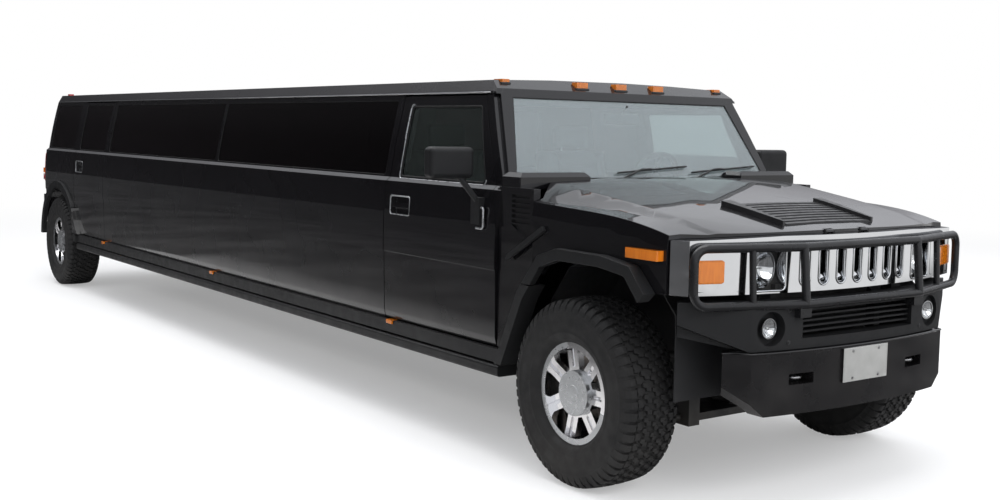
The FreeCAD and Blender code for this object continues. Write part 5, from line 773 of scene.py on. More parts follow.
def bar_tree():
    """A round bar along every edge path of the input mesh."""
    tree, entry, leave = node_group(
        "bar_on_path", ("Radius", "NodeSocketFloat", 0.005), ("Sides", "NodeSocketInt", 10),
        ("Finish", "NodeSocketMaterial", None))
    curve, ring, sweep, smooth = new_nodes(
        tree, "GeometryNodeMeshToCurve", "GeometryNodeCurvePrimitiveCircle", "GeometryNodeCurveToMesh",
        "GeometryNodeSetShadeSmooth")
    wire(tree, (entry, "Geometry", curve, "Mesh"), (entry, "Radius", ring, "Radius"),
         (entry, "Sides", ring, "Resolution"), (curve, "Curve", sweep, "Curve"),
         (ring, "Curve", sweep, "Profile Curve"), (sweep, "Mesh", smooth, "Geometry"))
    sweep.inputs["Fill Caps"].default_value = True
    finish_tree(tree, entry, leave, smooth.outputs["Geometry"])
    return tree


TREES = {"ring": ring_tree(), "row": row_tree(), "bar": bar_tree()}


def evaluated(holder):
    """The object's mesh with all its modifiers applied."""
    return bpy.data.meshes.new_from_object(holder.evaluated_get(bpy.context.evaluated_depsgraph_get()))


def grown(tree_name, base=None, **values):
    """Runs a tree on a base mesh and returns the result as a plain mesh."""
    tree = TREES[tree_name]
    sockets = {item.name: item.identifier for item in tree.interface.items_tree if item.in_out == "INPUT"}
    holder = on_set("holder", base or bpy.data.meshes.new("seed"))
    extra = []
    modifier = holder.modifiers.new("maker", "NODES")
    modifier.node_group = tree
    for label, value in values.items():
        if isinstance(value, bpy.types.Mesh):
            value = on_set("copied_piece", value)
            extra.append(value)
        modifier[sockets[label]] = value
    bpy.context.view_layer.update()
    result = evaluated(holder)
    holder.modifiers.remove(modifier)
    for item in [holder] + extra:
        bpy.data.objects.remove(item)
    return result


def bar(paths, radius, mat, sides=10):
    """A round bar along paths; each path is (points, closed)."""
    data = bpy.data.meshes.new("paths")
    points, edges = [], []
    for path, closed in paths:
        first = len(points)
        points += [tuple(p) for p in path]
        edges += [(first + i, first + i + 1) for i in range(len(path) - 1)]
        if closed:
            edges.append((len(points) - 1, first))
    data.from_pydata(points, edges, [])
    return grown("bar", data, Radius=radius, Sides=sides, Finish=mat)


def bar_piece(name, paths, radius, mat, body="root", sides=10):
    """A finished piece of round bar along paths."""
    return as_piece(name, bar(paths, radius, mat, sides), mat, body)


def row(low, high, rounding, count, step, mat):
    """A row of copies of one small block, set out along a step."""
    piece = painted(block(low, high, rounding, 1), mat)
    return grown("row", Piece=piece, Count=count, Step=step, Finish=mat)


print("trees", list(TREES))

# %% [markdown]
# ## Tyres
#
# An all-terrain tyre reads by its tread: zig-zag blocks that lock into each other
# and shoulder lugs that fold over the edge. The casing is turned on the lathe,
# down to the bottom of the grooves, and the blocks are set around it by Geometry
# Nodes, out to the radius that the solid had. It stands for the plain tyre.

# %% Tyre casing
TYRE_RADIUS = 0.4365
GROOVE = 0.0115
FLOOR_RADIUS = TYRE_RADIUS - GROOVE
CASING = [
    (0.0, FLOOR_RADIUS), (0.05, FLOOR_RADIUS - 0.0012), (0.095, FLOOR_RADIUS - 0.0045),
    (0.124, FLOOR_RADIUS - 0.0085), (0.137, 0.408), (0.146, 0.392), (0.1515, 0.376), (0.1535, 0.374),
    (0.1545, 0.366), (0.1535, 0.364), (0.1562, 0.34), (0.1568, 0.32), (0.1558, 0.3), (0.1535, 0.284),
    (0.1545, 0.282), (0.1535, 0.279), (0.149, 0.264), (0.141, 0.252), (0.132, 0.2455), (0.126, 0.242),
    (0.1225, 0.2375), (0.1215, 0.23), (0.112, 0.219),
]
INSIDE = [(0.096, 0.221), (0.098, 0.236), (0.128, 0.252), (0.1405, 0.3), (0.1405, 0.34), (0.128, 0.388),
          (0.1, 0.4035)]


def mirrored(half):
    """Full closed profile from its +Y half, which starts on the middle plane."""
    middle = [p for p in half if p[0] == 0.0]
    side = [p for p in half if p[0] != 0.0]
    return [(-y, r) for y, r in reversed(side)] + middle + side


def casing_mesh():
    """Tyre casing about the Y axis, down to the bottom of its grooves."""
    inner = INSIDE + [(-y, r) for y, r in reversed(INSIDE)]
    return turned(mirrored(CASING) + inner, steps=120, angle=math.radians(50))


print("casing points", len(CASING) + len(INSIDE))

# %% [markdown]
# A block's outline is drawn flat, as if the tread were unrolled, and then bent on
# to the wheel. The feet of the blocks are wider than their tops, as in a mould,
# and the shoulder lugs thin out on the side wall, as the photograph shows.

# %% Tread blocks
MM = 0.001
TREAD_HALF, CROWN_DROP = 0.128, 0.007


def wrapped(u, v, r):
    """Point of the unrolled tread: u around the wheel, v across it, at radius r."""
    a = u / TYRE_RADIUS
    return (r * math.sin(a), v, r * math.cos(a))


def crown_drop(v):
    """How far the tread surface lies below the crown at v."""
    return CROWN_DROP * (v / TREAD_HALF) ** 2


def tread_block(outline, draft=0.0026, chamfer=0.0014):
    """Block on an outline of (u, v), as wide as the outline at its foot."""
    mesh = bmesh.new()
    cu = sum(u for u, v in outline) / len(outline)
    cv = sum(v for u, v in outline) / len(outline)

    def level(inset, top):
        ring = []
        for u, v in outline:
            k = 1 - inset / math.hypot(u - cu, v - cv)
            u2, v2 = cu + (u - cu) * k, cv + (v - cv) * k
            r = TYRE_RADIUS - crown_drop(v2) - (0.0 if top else GROOVE + 0.002)
            ring.append((u2, v2, r))
        return ring

    foot = level(0.0, False)
    rim = [(u, v, r - chamfer) for u, v, r in level(draft, True)]
    top = level(draft + chamfer, True)
    rows = [[mesh.verts.new(wrapped(*p)) for p in ring] for ring in (foot, rim, top)]
    count = len(outline)
    for lower, upper in zip(rows, rows[1:]):
        for i in range(count):
            k = (i + 1) % count
            mesh.faces.new((lower[i], lower[k], upper[k], upper[i]))
    mesh.faces.new(rows[-1])
    mesh.faces.new(list(reversed(rows[0])))
    bmesh.ops.recalc_face_normals(mesh, faces=mesh.faces)
    return as_data(mesh, "tread_block")


def shifted(outline, dv, turn):
    """The outline, turned round where turn is -1, and moved across the tread."""
    return [(turn * u * MM, turn * v * MM + dv) for u, v in outline]


ZIGZAG = ((-21, -24), (-1, -24), (6, -7), (21, -1), (21, 20), (1, 24), (-6, 7), (-21, 3))
MIDDLE_BLOCK = ((-20, -19), (-2, -22), (3, -6), (21, -3), (20, 19), (2, 22), (-3, 6), (-21, 3))
SHOULDER = ((-20, -20), (-4, -24), (4, -14), (20, -11), (20, 8), (5, 13), (-6, 9), (-20, 12))


def shoulder_lug(width, length):
    """Lug that folds over the tread edge and thins out on the side wall."""
    mesh = bmesh.new()
    line = [(0.107, 0.4315), (0.122, 0.4298), (0.131, 0.4248), (0.139, 0.4135), (0.1475, 0.3985),
            (0.1475 + length * 0.2, 0.3985 - length)]
    low = [(0.107, 0.416), (0.122, 0.414), (0.126, 0.41), (0.132, 0.402), (0.14, 0.39),
           (0.146, 0.3985 - length)]
    rows = []
    for share in (-0.5, -0.42, 0.42, 0.5):
        lift = 0.0 if abs(share) < 0.5 else 0.0016
        rows.append([mesh.verts.new(wrapped(width * share, v, r - lift)) for v, r in line])
    feet = [[mesh.verts.new(wrapped(width * share, v, r)) for v, r in low] for share in (-0.5, 0.5)]
    sheets = [feet[0]] + rows + [feet[1]]
    for a, b in zip(sheets, sheets[1:] + sheets[:1]):
        for i in range(len(line) - 1):
            mesh.faces.new((a[i], a[i + 1], b[i + 1], b[i]))
    for end in (0, -1):
        mesh.faces.new([sheet[end] for sheet in sheets])
    bmesh.ops.recalc_face_normals(mesh, faces=mesh.faces)
    return as_data(mesh, "shoulder_lug")


BLOCKS_AROUND = 54
HALF_TURN = Matrix.Rotation(math.pi, 4, "Z")


def tyre_mesh():
    """Casing and tread of one tyre about the Y axis, centred on the origin."""
    pitch = 2 * math.pi / BLOCKS_AROUND
    pieces = [(painted(casing_mesh(), rubber), UNMOVED)]
    # outline, distance from the middle, way round, start as a share of the pitch
    rows = [(MIDDLE_BLOCK, 0.0, 1, 0.0), (ZIGZAG, 0.0485, 1, 0.5), (ZIGZAG, -0.0485, -1, 0.25),
            (SHOULDER, 0.0935, 1, 0.15), (SHOULDER, -0.0935, -1, 0.6)]
    for outline, dv, turn, phase in rows:
        ring = grown("ring", Piece=tread_block(shifted(outline, dv, turn)), Count=BLOCKS_AROUND,
                     Start=phase * pitch, Finish=rubber)
        pieces.append((ring, UNMOVED))
    for width, length, phase in ((0.036, 0.022, 0.0), (0.033, 0.03, 1.0)):
        ring = grown("ring", Piece=shoulder_lug(width, length), Count=BLOCKS_AROUND // 2, Start=phase * pitch,
                     Finish=rubber)
        pieces += [(ring, UNMOVED), (ring, HALF_TURN)]
    return joined_mesh(pieces)


tyre_base = tyre_mesh()
print("tyre faces", len(tyre_base.polygons))


def at_wheel(x, side):
    """Places a wheel part made about the origin, with its outer face to +Y."""
    turn = UNMOVED if side > 0 else HALF_TURN
    return Matrix.Translation((x, side * WHEEL_Y, WHEEL_Z)) @ turn


WHEELS = [(place, word, x, side) for place, x in (("front", FRONT_AXLE), ("rear", REAR_AXLE))
          for side, word in SIDES]
for place, word, x, side in WHEELS:
    as_piece(f"tyre_tread_{place}_{word}", tyre_base.copy(), rubber, f"wheel_{place}_{word}",
             at_wheel(x, side), (f"tyre_{place}_{word}",))
print("tyres", len(WHEELS))

# %% [markdown]
# ## Wheels
#
# The chromed wheel keeps the solid's hairpin spokes, with their edges softened so
# that each bar carries a bright line. The wide cap is satin, the disc brake behind
# is bare steel, and a valve and the cap's stepped face finish it.

# %% Wheels
CAP_FACE, CAP_RIM, CAP_FOOT = 0.119, 0.1045, 0.0935
DISC_RIM, DISC_FACE = 0.17, 0.0305
VALVE_PLACE = Matrix.Translation((0.06, 0.085, 0.192))


def repaint(piece, mat, test):
    """Gives the faces whose centre passes the test another finish."""
    piece.data.materials.append(mat)
    index = len(piece.data.materials) - 1
    for face in piece.data.polygons:
        if test(face.center):
            face.material_index = index


def cap_mesh():
    """Stepped blank centre cap about the Y axis."""
    profile = [(-0.008, 0.1025), (-0.002, 0.1015), (0.0005, 0.098), (0.0005, 0.074), (-0.0015, 0.0715),
               (-0.0015, 0.04), (0.002, 0.037), (0.0024, 0.0002), (-0.008, 0.0002)]
    return turned([(CAP_FACE + y, r) for y, r in profile], steps=72)


def valve_mesh():
    """Rubber valve about the Y axis."""
    profile = [(0.0, 0.0045), (0.022, 0.0045), (0.023, 0.003), (0.034, 0.003), (0.035, 0.0002), (0.0, 0.0002)]
    return turned(profile, steps=12)


for place, word, x, side in WHEELS:
    def from_axle(p):
        """Radius of a point about the wheel's axle, and how far out it lies from the hub."""
        return math.hypot(p.x - x, p.z - WHEEL_Z), side * p.y - WHEEL_Y

    body, hub = f"wheel_{place}_{word}", at_wheel(x, side)
    wheel = softened(f"rim_{place}_{word}", 0.0016)
    repaint(wheel, brake_steel, lambda p: from_axle(p)[0] < DISC_RIM and from_axle(p)[1] < DISC_FACE)
    repaint(wheel, cap_metal, lambda p: from_axle(p)[0] < CAP_RIM and from_axle(p)[1] > CAP_FOOT)
    as_piece(f"wheel_cap_{place}_{word}", cap_mesh(), cap_metal, body, hub)
    as_piece(f"tyre_valve_{place}_{word}", valve_mesh(), smooth_plastic, body, hub @ VALVE_PLACE)
print("wheels", len(WHEELS))

# %% [markdown]
# ## Seals around the glass
#
# Each pane sits in a rubber gasket. The outline of a pane is read from the frame:
# the faces that look outwards are found, and their open edges give the path of
# the gasket, which the bar tree then draws.

# %% Window gaskets
def outlines(node, facing, least=0.6):
    """Closed paths around the faces of a node that look along facing."""
    mesh = merged(NODES[node].data)
    mesh.normal_update()
    facing = Vector(facing).normalized()
    chosen = {f for f in mesh.faces if f.normal.dot(facing) > least}
    follow = {}
    for edge in mesh.edges:
        if sum(f in chosen for f in edge.link_faces) == 1:
            a, b = edge.verts
            follow.setdefault(a, []).append(b)
            follow.setdefault(b, []).append(a)
    paths, used = [], set()
    for start in list(follow):
        if start in used:
            continue
        path, here = [], start
        while here is not None and here not in used:
            used.add(here)
            path.append(here.co.copy())
            here = next((v for v in follow[here] if v not in used), None)
        if len(path) > 3:
            paths.append((path, True))
    mesh.free()
    return paths


def gasket(name, node, facing, radius):
    """Rubber bar around the outer face of each pane of a node."""
    bar_piece(name, outlines(node, facing), radius, seal_rubber, NODES[node]["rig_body"], 8)


gasket("windscreen_seal", "windscreen", (1, 0, 0.5), 0.006)
gasket("liftgate_seal", "liftgate_glass", (-1, 0, 0), 0.006)
for side, word in SIDES:
    gasket(f"door_front_seal_{word}", f"door_front_glass_{word}", (0, side, 0), 0.006)
    gasket(f"door_rear_seal_{word}", f"door_rear_glass_{word}", (0, side, 0), 0.004)
    gasket(f"fixed_glass_seal_{word}", "fixed_glass", (0, side, 0), 0.0038)

# %% [markdown]
# A thin bright bar frames the lower and the rear edge of each cab window, just
# outside the gasket. It follows the pane's own outline, moved out a little.

# %% Bright reveal at the cab windows
LOWER_EDGE, REAR_EDGE = 0.03, 0.16
REVEAL_OUT, REVEAL_PROUD = 0.012, 0.004


def outwards(value, middle):
    """The value moved away from the middle by the reveal's distance."""
    return value + (REVEAL_OUT if value > middle else -REVEAL_OUT)


for side, word in SIDES:
    node = f"door_front_glass_{word}"
    low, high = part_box(node)
    centre = (low + high) / 2
    path = outlines(node, (0, side, 0))[0][0]
    wanted = [p.z < low.z + LOWER_EDGE or p.x < low.x + REAR_EDGE for p in path]
    start = next(i for i in range(len(path)) if wanted[i] and not wanted[i - 1])
    order = zip(path[start:] + path[:start], wanted[start:] + wanted[:start])
    keep = [Vector((outwards(p.x, centre.x), p.y + side * REVEAL_PROUD, outwards(p.z, centre.z)))
            for p, good in order if good]
    bar_piece(f"window_reveal_{word}", [(keep, False)], 0.0048, cap_metal, f"door_front_{word}", 8)
print("reveals", len(SIDES))

# %% [markdown]
# ## Lamps
#
# A headlamp is a bowl, a bulb and a clear cover. The bowl is a turned parabola in
# mirror finish with few, flat sides, so that it glints like a stepped reflector,
# and the cover is a thin dome with thickness, so light bends at both faces.

# %% Lamp parts
TO_FRONT = Matrix.Rotation(math.radians(-90.0), 4, "Z")


def bowl(radius, depth, steps=28):
    """Mirror bowl that opens towards +Y, its mouth at y = 0."""
    rings = 7
    profile = [(-depth * (1 - (i / rings) ** 2), max(radius * i / rings, 0.004)) for i in range(rings + 1)]
    profile += [(0.0, radius + 0.002), (-depth * 0.4, radius + 0.002), (-depth - 0.004, 0.01),
                (-depth - 0.004, 0.004)]
    return turned(profile, steps=steps, angle=math.radians(8.0))


def dome(radius, rise, thick=0.0025, steps=48):
    """Clear cover over a mouth at y = 0, bulging towards +Y."""
    rings = 8
    outer = [(rise * (1 - (i / rings) ** 2), max(radius * i / rings, 0.0003)) for i in range(rings + 1)]
    inner = [(y - thick, r) for y, r in reversed(outer)]
    return turned(outer + inner, steps=steps, angle=math.radians(40))


def lamp_ring(radius, width, height, steps=64):
    """Bright bezel ring around a mouth at y = 0."""
    profile = [(-0.004, radius), (height, radius + width * 0.25), (height, radius + width * 0.7),
               (-0.004, radius + width), (-0.008, radius + width), (-0.008, radius)]
    return turned(profile, steps=steps)


def bulb(length):
    """Bulb on the axle of its bowl, its tip at y = 0."""
    profile = [(-length, 0.006), (-length * 0.3, 0.006), (-length * 0.2, 0.004), (-length * 0.05, 0.0035),
               (0.0, 0.0003), (-length, 0.0003)]
    return turned(profile, steps=16)


def part_boxes(node):
    """Low and high corner of each separate part of a node."""
    mesh = merged(NODES[node].data)
    found, seen = [], set()
    for vert in mesh.verts:
        if vert in seen:
            continue
        stack, points = [vert], []
        seen.add(vert)
        while stack:
            v = stack.pop()
            points.append(v.co.copy())
            for edge in v.link_edges:
                other = edge.other_vert(v)
                if other not in seen:
                    seen.add(other)
                    stack.append(other)
        found.append((Vector([min(p[i] for p in points) for i in range(3)]),
                      Vector([max(p[i] for p in points) for i in range(3)])))
    mesh.free()
    return found


print("front lamps", len(part_boxes("front_lamps")))

# %% Lamp optics and covers
HEADLAMP_LEAST = 0.06
optics, covers = [], []
for low, high in part_boxes("front_lamps"):
    radius, depth = (high.z - low.z) / 2, high.x - low.x
    place = Matrix.Translation((high.x - 0.004, (low.y + high.y) / 2, (low.z + high.z) / 2)) @ TO_FRONT
    big = radius > HEADLAMP_LEAST
    optics.append((painted(bowl(radius - 0.008, depth * 0.85), chrome), place))
    optics.append((painted(lamp_ring(radius - 0.006, 0.008 if big else 0.006, 0.003), chrome), place))
    optics.append((painted(bulb(depth * 0.6), bolt_steel), place))
    covers.append((painted(dome(radius - 0.006, 0.004 if big else 0.003), clear_lens), place))
as_piece("lamp_optics", joined_mesh(optics), chrome, "root")
as_piece("lamp_covers", joined_mesh(covers), clear_lens, "root",
         stands_for=("front_lamps",))
print("covers", len(covers))

# %% [markdown]
# ## Nose
#
# The chrome shell has seven round-ended slots. A pressed lip runs round each slot
# and each lamp opening. The lips are bars along paths laid on the bowed face.

# %% Slots of the nose
NOSE_FRONT, NOSE_BOW, NOSE_HALF = 0.775, 0.15, 0.9
SLOT_YS = [0.11 * (i - 3) for i in range(7)]
SLOT_HALF, SLOT_LOW, SLOT_HIGH = 0.0305, 0.976, 1.150


def nose_x_at(y):
    """X of the shell's front face at a distance from the middle."""
    return ahead(NOSE_FRONT - NOSE_BOW * (y / NOSE_HALF) ** 2)


def stadium(y, half, low, high, steps=10):
    """Path around a round-ended slot on the bowed face."""
    points = []
    for centre, start in ((high - half, 0.0), (low + half, math.pi)):
        for i in range(steps + 1):
            a = start + math.pi * i / steps
            dy, dz = half * math.cos(a), half * math.sin(a)
            points.append(Vector((nose_x_at(y + dy), y + dy, centre + dz)))
    return points, True


slot_lips = [stadium(y, SLOT_HALF, SLOT_LOW, SLOT_HIGH) for y in SLOT_YS]
bar_piece("grille_slot_lips", slot_lips, 0.0045, chrome)
print("slot lips", len(slot_lips))

# %% [markdown]
# The headlamp has a chrome frame. Outside it a seam shows where the panel of the
# turn lamp is let in, and that lamp is a ribbed amber lens in a frame of its own.

# %% Frames of the nose lamps
LAMP_Z, HEADLAMP_Y, PANEL_Y = 1.055, 0.526, 0.765
LENS_Y, LENS_Z = 0.82, 1.05
RIB_COUNT, RIB_FROM, RIB_STEP = 13, 0.76, 0.01
RIB_LOW, RIB_HIGH = 1.013, 1.087


def rounded_outline(a, b, half_a, half_b, corner, steps=5):
    """Points around a rounded rectangle with its middle at (a, b)."""
    points = []
    for sa, sb, start in ((1, 1, 0.0), (-1, 1, 0.5), (-1, -1, 1.0), (1, -1, 1.5)):
        for i in range(steps + 1):
            turn = math.pi * (start + 0.5 * i / steps)
            points.append((a + sa * (half_a - corner) + corner * math.cos(turn),
                           b + sb * (half_b - corner) + corner * math.sin(turn)))
    return points


def rounded_frame(y, z, half_y, half_z, corner, x_at):
    """Path around a rounded rectangle that is seen along X."""
    return [Vector((x_at(py), py, pz)) for py, pz in rounded_outline(y, z, half_y, half_z, corner)], True


def nose_frames(y, z, half_y, half_z, corner, proud=0.0):
    """Frames left and right on the bowed face, a little proud of it."""
    return [rounded_frame(side * y, z, half_y, half_z, corner, lambda at: nose_x_at(at) + proud)
            for side, word in SIDES]


def upright(x, y, low, high):
    """Straight path from a low to a high point."""
    return [Vector((x, y, low)), Vector((x, y, high))], False


bar_piece("headlamp_frames", nose_frames(HEADLAMP_Y, LAMP_Z, 0.089, 0.0935, 0.02), 0.005, chrome)
bar_piece("turn_panel_seams", nose_frames(PANEL_Y, LAMP_Z, 0.122, 0.089, 0.012, -0.001), 0.0028, seal_rubber,
          sides=6)
bar_piece("turn_lamp_frames", nose_frames(LENS_Y, LENS_Z, 0.073, 0.0455, 0.01, 0.001), 0.0045, amber_lens,
          sides=8)
rib_ys = [side * (RIB_FROM + RIB_STEP * i) for side, word in SIDES for i in range(RIB_COUNT)]
ribs = [upright(nose_x_at(y) + 0.0012, y, RIB_LOW, RIB_HIGH) for y in rib_ys]
bar_piece("turn_lamp_ribs", ribs, 0.0024, amber_lens, sides=8)
print("lens ribs", len(ribs))

# %% [markdown]
# Inside each slot stand a round chrome post and, at its foot, a small scoop that
# tips towards the sky. Behind them a black radiator with fine fins closes the
# view: its fins are one thin block, repeated by the step tree.

# %% Behind the slots
TIPPED = Matrix.Rotation(math.radians(-38.0), 4, "Y")
SCOOP_BACK, SCOOP_Z = 0.02, 1.006
POST_BACK, POST_LOW, POST_HIGH = 0.034, 1.004, 1.146
CORE_HALF, CORE_LOW, CORE_HIGH = 0.38, 0.956, 1.146

scoops = [(painted(bowl(0.0245, 0.016, 24), chrome),
           Matrix.Translation((nose_x_at(y) - SCOOP_BACK, y, SCOOP_Z)) @ TIPPED @ TO_FRONT) for y in SLOT_YS]
as_piece("slot_scoops", joined_mesh(scoops), chrome, "root")
slot_posts = [upright(nose_x_at(y) - POST_BACK, y, POST_LOW, POST_HIGH) for y in SLOT_YS]
bar_piece("slot_vanes", slot_posts, 0.0125, chrome, sides=20)

fins = row((ahead(0.632), -0.378, 0.9615), (ahead(0.650), 0.378, 0.9635), 0.0006, 31, (0.0, 0.0, 0.006),
           smooth_plastic)
core = [plain((ahead(0.616), -CORE_HALF, CORE_LOW), (ahead(0.634), CORE_HALF, CORE_HIGH), 0.003,
              smooth_plastic), (fins, UNMOVED)]
core += [plain((ahead(0.63), y - 0.008, CORE_LOW), (ahead(0.652), y + 0.008, CORE_HIGH), 0.002,
               smooth_plastic) for y in (-0.38, -0.19, 0.0, 0.19, 0.38)]
as_piece("radiator_core", joined_mesh(core), smooth_plastic, "root")
print("radiator blocks", len(core))

# %% [markdown]
# ## Bolts
#
# A cap screw is a flat hexagon with a washer. One tree scatter would do for a
# flat plate, but these sit on several faces, so each is placed by its own matrix
# and the screws of one part are joined.

# %% Bolts
HEAD_HEIGHT = 0.005


def bolt_mesh(radius):
    """Hexagon head on a washer, along +Y, its foot at y = 0."""
    washer = turned([(-0.001, radius * 1.5), (0.0012, radius * 1.5), (0.0016, radius * 1.35),
                     (0.0016, 0.0003), (-0.001, 0.0003)], steps=20)
    head = turned([(0.001, radius), (HEAD_HEIGHT * 0.85, radius), (HEAD_HEIGHT, radius * 0.82),
                   (HEAD_HEIGHT, 0.0003), (0.001, 0.0003)], steps=6)
    return joined_mesh([(washer, UNMOVED), (head, UNMOVED)])


def aimed(place, direction):
    """Matrix that turns +Y along the direction and moves it to the place."""
    return Matrix.Translation(place) @ Vector(direction).to_track_quat("Y", "Z").to_matrix().to_4x4()


def bolts(name, places, radius, flatness, mat):
    """One piece of screws; each place is (its foot, its direction)."""
    shape = painted(bolt_mesh(radius), mat)
    shape.transform(Matrix.Diagonal((1.0, flatness, 1.0, 1.0)))
    as_piece(name, joined_mesh([(shape, aimed(p, d)) for p, d in places]), mat, "root")


print("bolt head height", HEAD_HEIGHT, "m")

# %% [markdown]
# The blank plate is pressed: its field lies a little lower than the rounded edge
# that runs around it, and four flat screws hold it. The front of the softened
# solid is pulled back by the depth of the pressing, so the edge stays in place.

# %% Blank plate
PLATE_Z, PRESSED = 0.62, 0.0016
PLATE_HALF_Y, PLATE_HALF_Z = 0.147, 0.0705
SCREW_Y, SCREW_Z = 0.089, 0.0605
plate_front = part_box("plate")[1].x
plate_field = plate_front - PRESSED
for corner in softened("plate", 0.0005, segments=1).data.vertices:
    if corner.co.x > plate_front - 0.001:
        corner.co.x -= PRESSED
plate_places = [((plate_field, sy * SCREW_Y, PLATE_Z + sz * SCREW_Z), (1, 0, 0))
                for sy in (1, -1) for sz in (1, -1)]
bolts("plate_screws", plate_places, 0.0055, 0.3, bolt_steel)
plate_edge = rounded_frame(0.0, PLATE_Z, PLATE_HALF_Y, PLATE_HALF_Z, 0.012, lambda y: plate_field)
bar_piece("plate_border", [plate_edge], PRESSED, plate_blank, sides=6)
print("plate screws", len(plate_places))

# %% [markdown]
# Four dark cap screws hold the upper band of the bumper. Its face is bowed, so
# the foot of each screw is measured along that bow.

# %% Bumper bolts
BUMPER_FRONT, BUMPER_BOW, BUMPER_HALF = 0.8185, 0.066, 0.66
BOLT_YS, BOLT_ZS, BOLT_LEAN = (-0.455, 0.455), (0.742, 0.882), 0.15


def bumper_x_at(y):
    """X of the front bumper's face at a distance from the middle."""
    return ahead(BUMPER_FRONT - BUMPER_BOW * (y / BUMPER_HALF) ** 2)


bumper_places = [((bumper_x_at(y), y, z), (1, -y * BOLT_LEAN, 0)) for y in BOLT_YS for z in BOLT_ZS]
bolts("bumper_bolts", bumper_places, 0.008, 1.0, smooth_plastic)
print("bumper bolts", len(bumper_places))

# %% [markdown]
# ## Two-tone front bumper
#
# The solid is one moulding, but on the vehicle the upper band is grained plastic
# and the lower band is painted in body colour. A tow eye of bent bar sits in each
# slot of the lower band.

# %% Front bumper finish and tow eyes
BAND_TOP, BAND_HALF, BAND_REAR = 0.7055, 0.76, ahead(0.55)
EYE_Y, EYE_Z = 0.391, 0.584
EYE_SHAPE = ((0.738, -0.03), (0.772, -0.03), (0.786, -0.017), (0.79, 0.0), (0.786, 0.017), (0.772, 0.03),
             (0.738, 0.03))
repaint(bpy.data.objects["bumper_front_panel"], paint,
        lambda p: p.z < BAND_TOP and abs(p.y) < BAND_HALF and p.x > BAND_REAR)
eyes = [([Vector((ahead(x), side * EYE_Y + y, EYE_Z)) for x, y in EYE_SHAPE], False) for side, word in SIDES]
bar_piece("tow_eyes", eyes, 0.0085, bolt_steel, sides=12)
print("tow eyes", len(eyes))

# %% [markdown]
# A rounded, painted lip closes the seam between the two bands. Its path is read
# from the solid: the foremost corner in each narrow strip near that height, left
# out where the face steps back behind a corner farther from the middle.

# %% Lip between the bands
LIP_Z, LIP_INSET, STRIP = 0.7035, 0.002, 0.02
foremost = {}
for vert in NODES["bumper_front"].data.vertices:
    p = vert.co
    if 0.7 < p.z < 0.714 and p.x > ahead(0.6):
        key = round(p.y / STRIP)
        if key not in foremost or p.x > foremost[key].x:
            foremost[key] = p.copy()
lip_path = []
for key in sorted(foremost):
    p = foremost[key]
    farther_out = [q.x for k, q in foremost.items() if abs(k) > abs(key) and k * key > 0]
    if p.x >= max(farther_out, default=0.0):
        lip_path.append(Vector((p.x - LIP_INSET, p.y, LIP_Z)))
bar_piece("bumper_lip", [(lip_path, False)], 0.0055, paint)
print("lip points", len(lip_path))

# %% [markdown]
# ## Mirrors and handles
#
# The door mirror is a rounded shell with a glass that looks back, set in a lip.
# A bent strap wraps its foot. Each door has a pull in a framed recess.

# %% Mirrors
GLASS_IN, GLASS_OUT, GLASS_LOW, GLASS_HIGH = 1.046, 1.258, 1.402, 1.514
MIRROR_Y, MIRROR_Z, STRAP_Y = 1.152, 1.458, 1.012
STRAP = ((-0.792, 1.236), (-0.738, 1.236), (-0.730, 1.228), (-0.730, 1.142), (-0.740, 1.132), (-0.792, 1.132))
for side, word in SIDES:
    body = f"door_front_{word}"
    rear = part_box(f"mirror_{word}")[0].x
    y0, y1 = across(side, GLASS_IN, GLASS_OUT)
    glass_data = block((rear - 0.0004, y0, GLASS_LOW), (rear + 0.004, y1, GLASS_HIGH), 0.0015)
    as_piece(f"mirror_glass_{word}", glass_data, chrome, body)
    lip = rounded_frame(side * MIRROR_Y, MIRROR_Z, 0.107, 0.057, 0.02, lambda y: rear + 0.0005)
    bar_piece(f"mirror_lip_{word}", [lip], 0.003, smooth_plastic, body, 8)
    strap = [Vector((ahead(x), side * STRAP_Y, z)) for x, z in STRAP]
    bar_piece(f"mirror_strap_{word}", [(strap, False)], 0.006, cap_metal, body)
print("mirrors", len(SIDES))

# %% Door handles
HANDLE_REARS = {"door_front": ahead(-1.738) + 0.06, "door_rear": REAR_AXLE + 0.478 + 0.06}
HANDLE_LENGTH, HANDLE_LOW, HANDLE_HIGH = 0.21, 1.144, 1.248
CREASE_Z, WAIST_Z, CREASE_Y, LEAN_IN = 0.932, 1.328, 1.003, 0.017


def door_skin(z):
    """Distance of a door's skin from the middle; it leans in from the crease to the waist."""
    return CREASE_Y - (z - CREASE_Z) / (WAIST_Z - CREASE_Z) * LEAN_IN


for group, rear_x in HANDLE_REARS.items():
    outline = rounded_outline(rear_x + HANDLE_LENGTH / 2, (HANDLE_LOW + HANDLE_HIGH) / 2, HANDLE_LENGTH / 2,
                              (HANDLE_HIGH - HANDLE_LOW) / 2, 0.018)
    for side, word in SIDES:
        path = [Vector((x, side * (door_skin(z) + 0.003), z)) for x, z in outline]
        bar_piece(f"{group}_handle_frame_{word}", [(path, True)], 0.0042, cap_metal, f"{group}_{word}")
print("handles", len(HANDLE_REARS) * len(SIDES))

# %% [markdown]
# ## Roof line
#
# A bright drip moulding runs along the roof's edge and catches the sky, as a thin
# line does in the photograph. The amber roof lamps sit on small black bases.

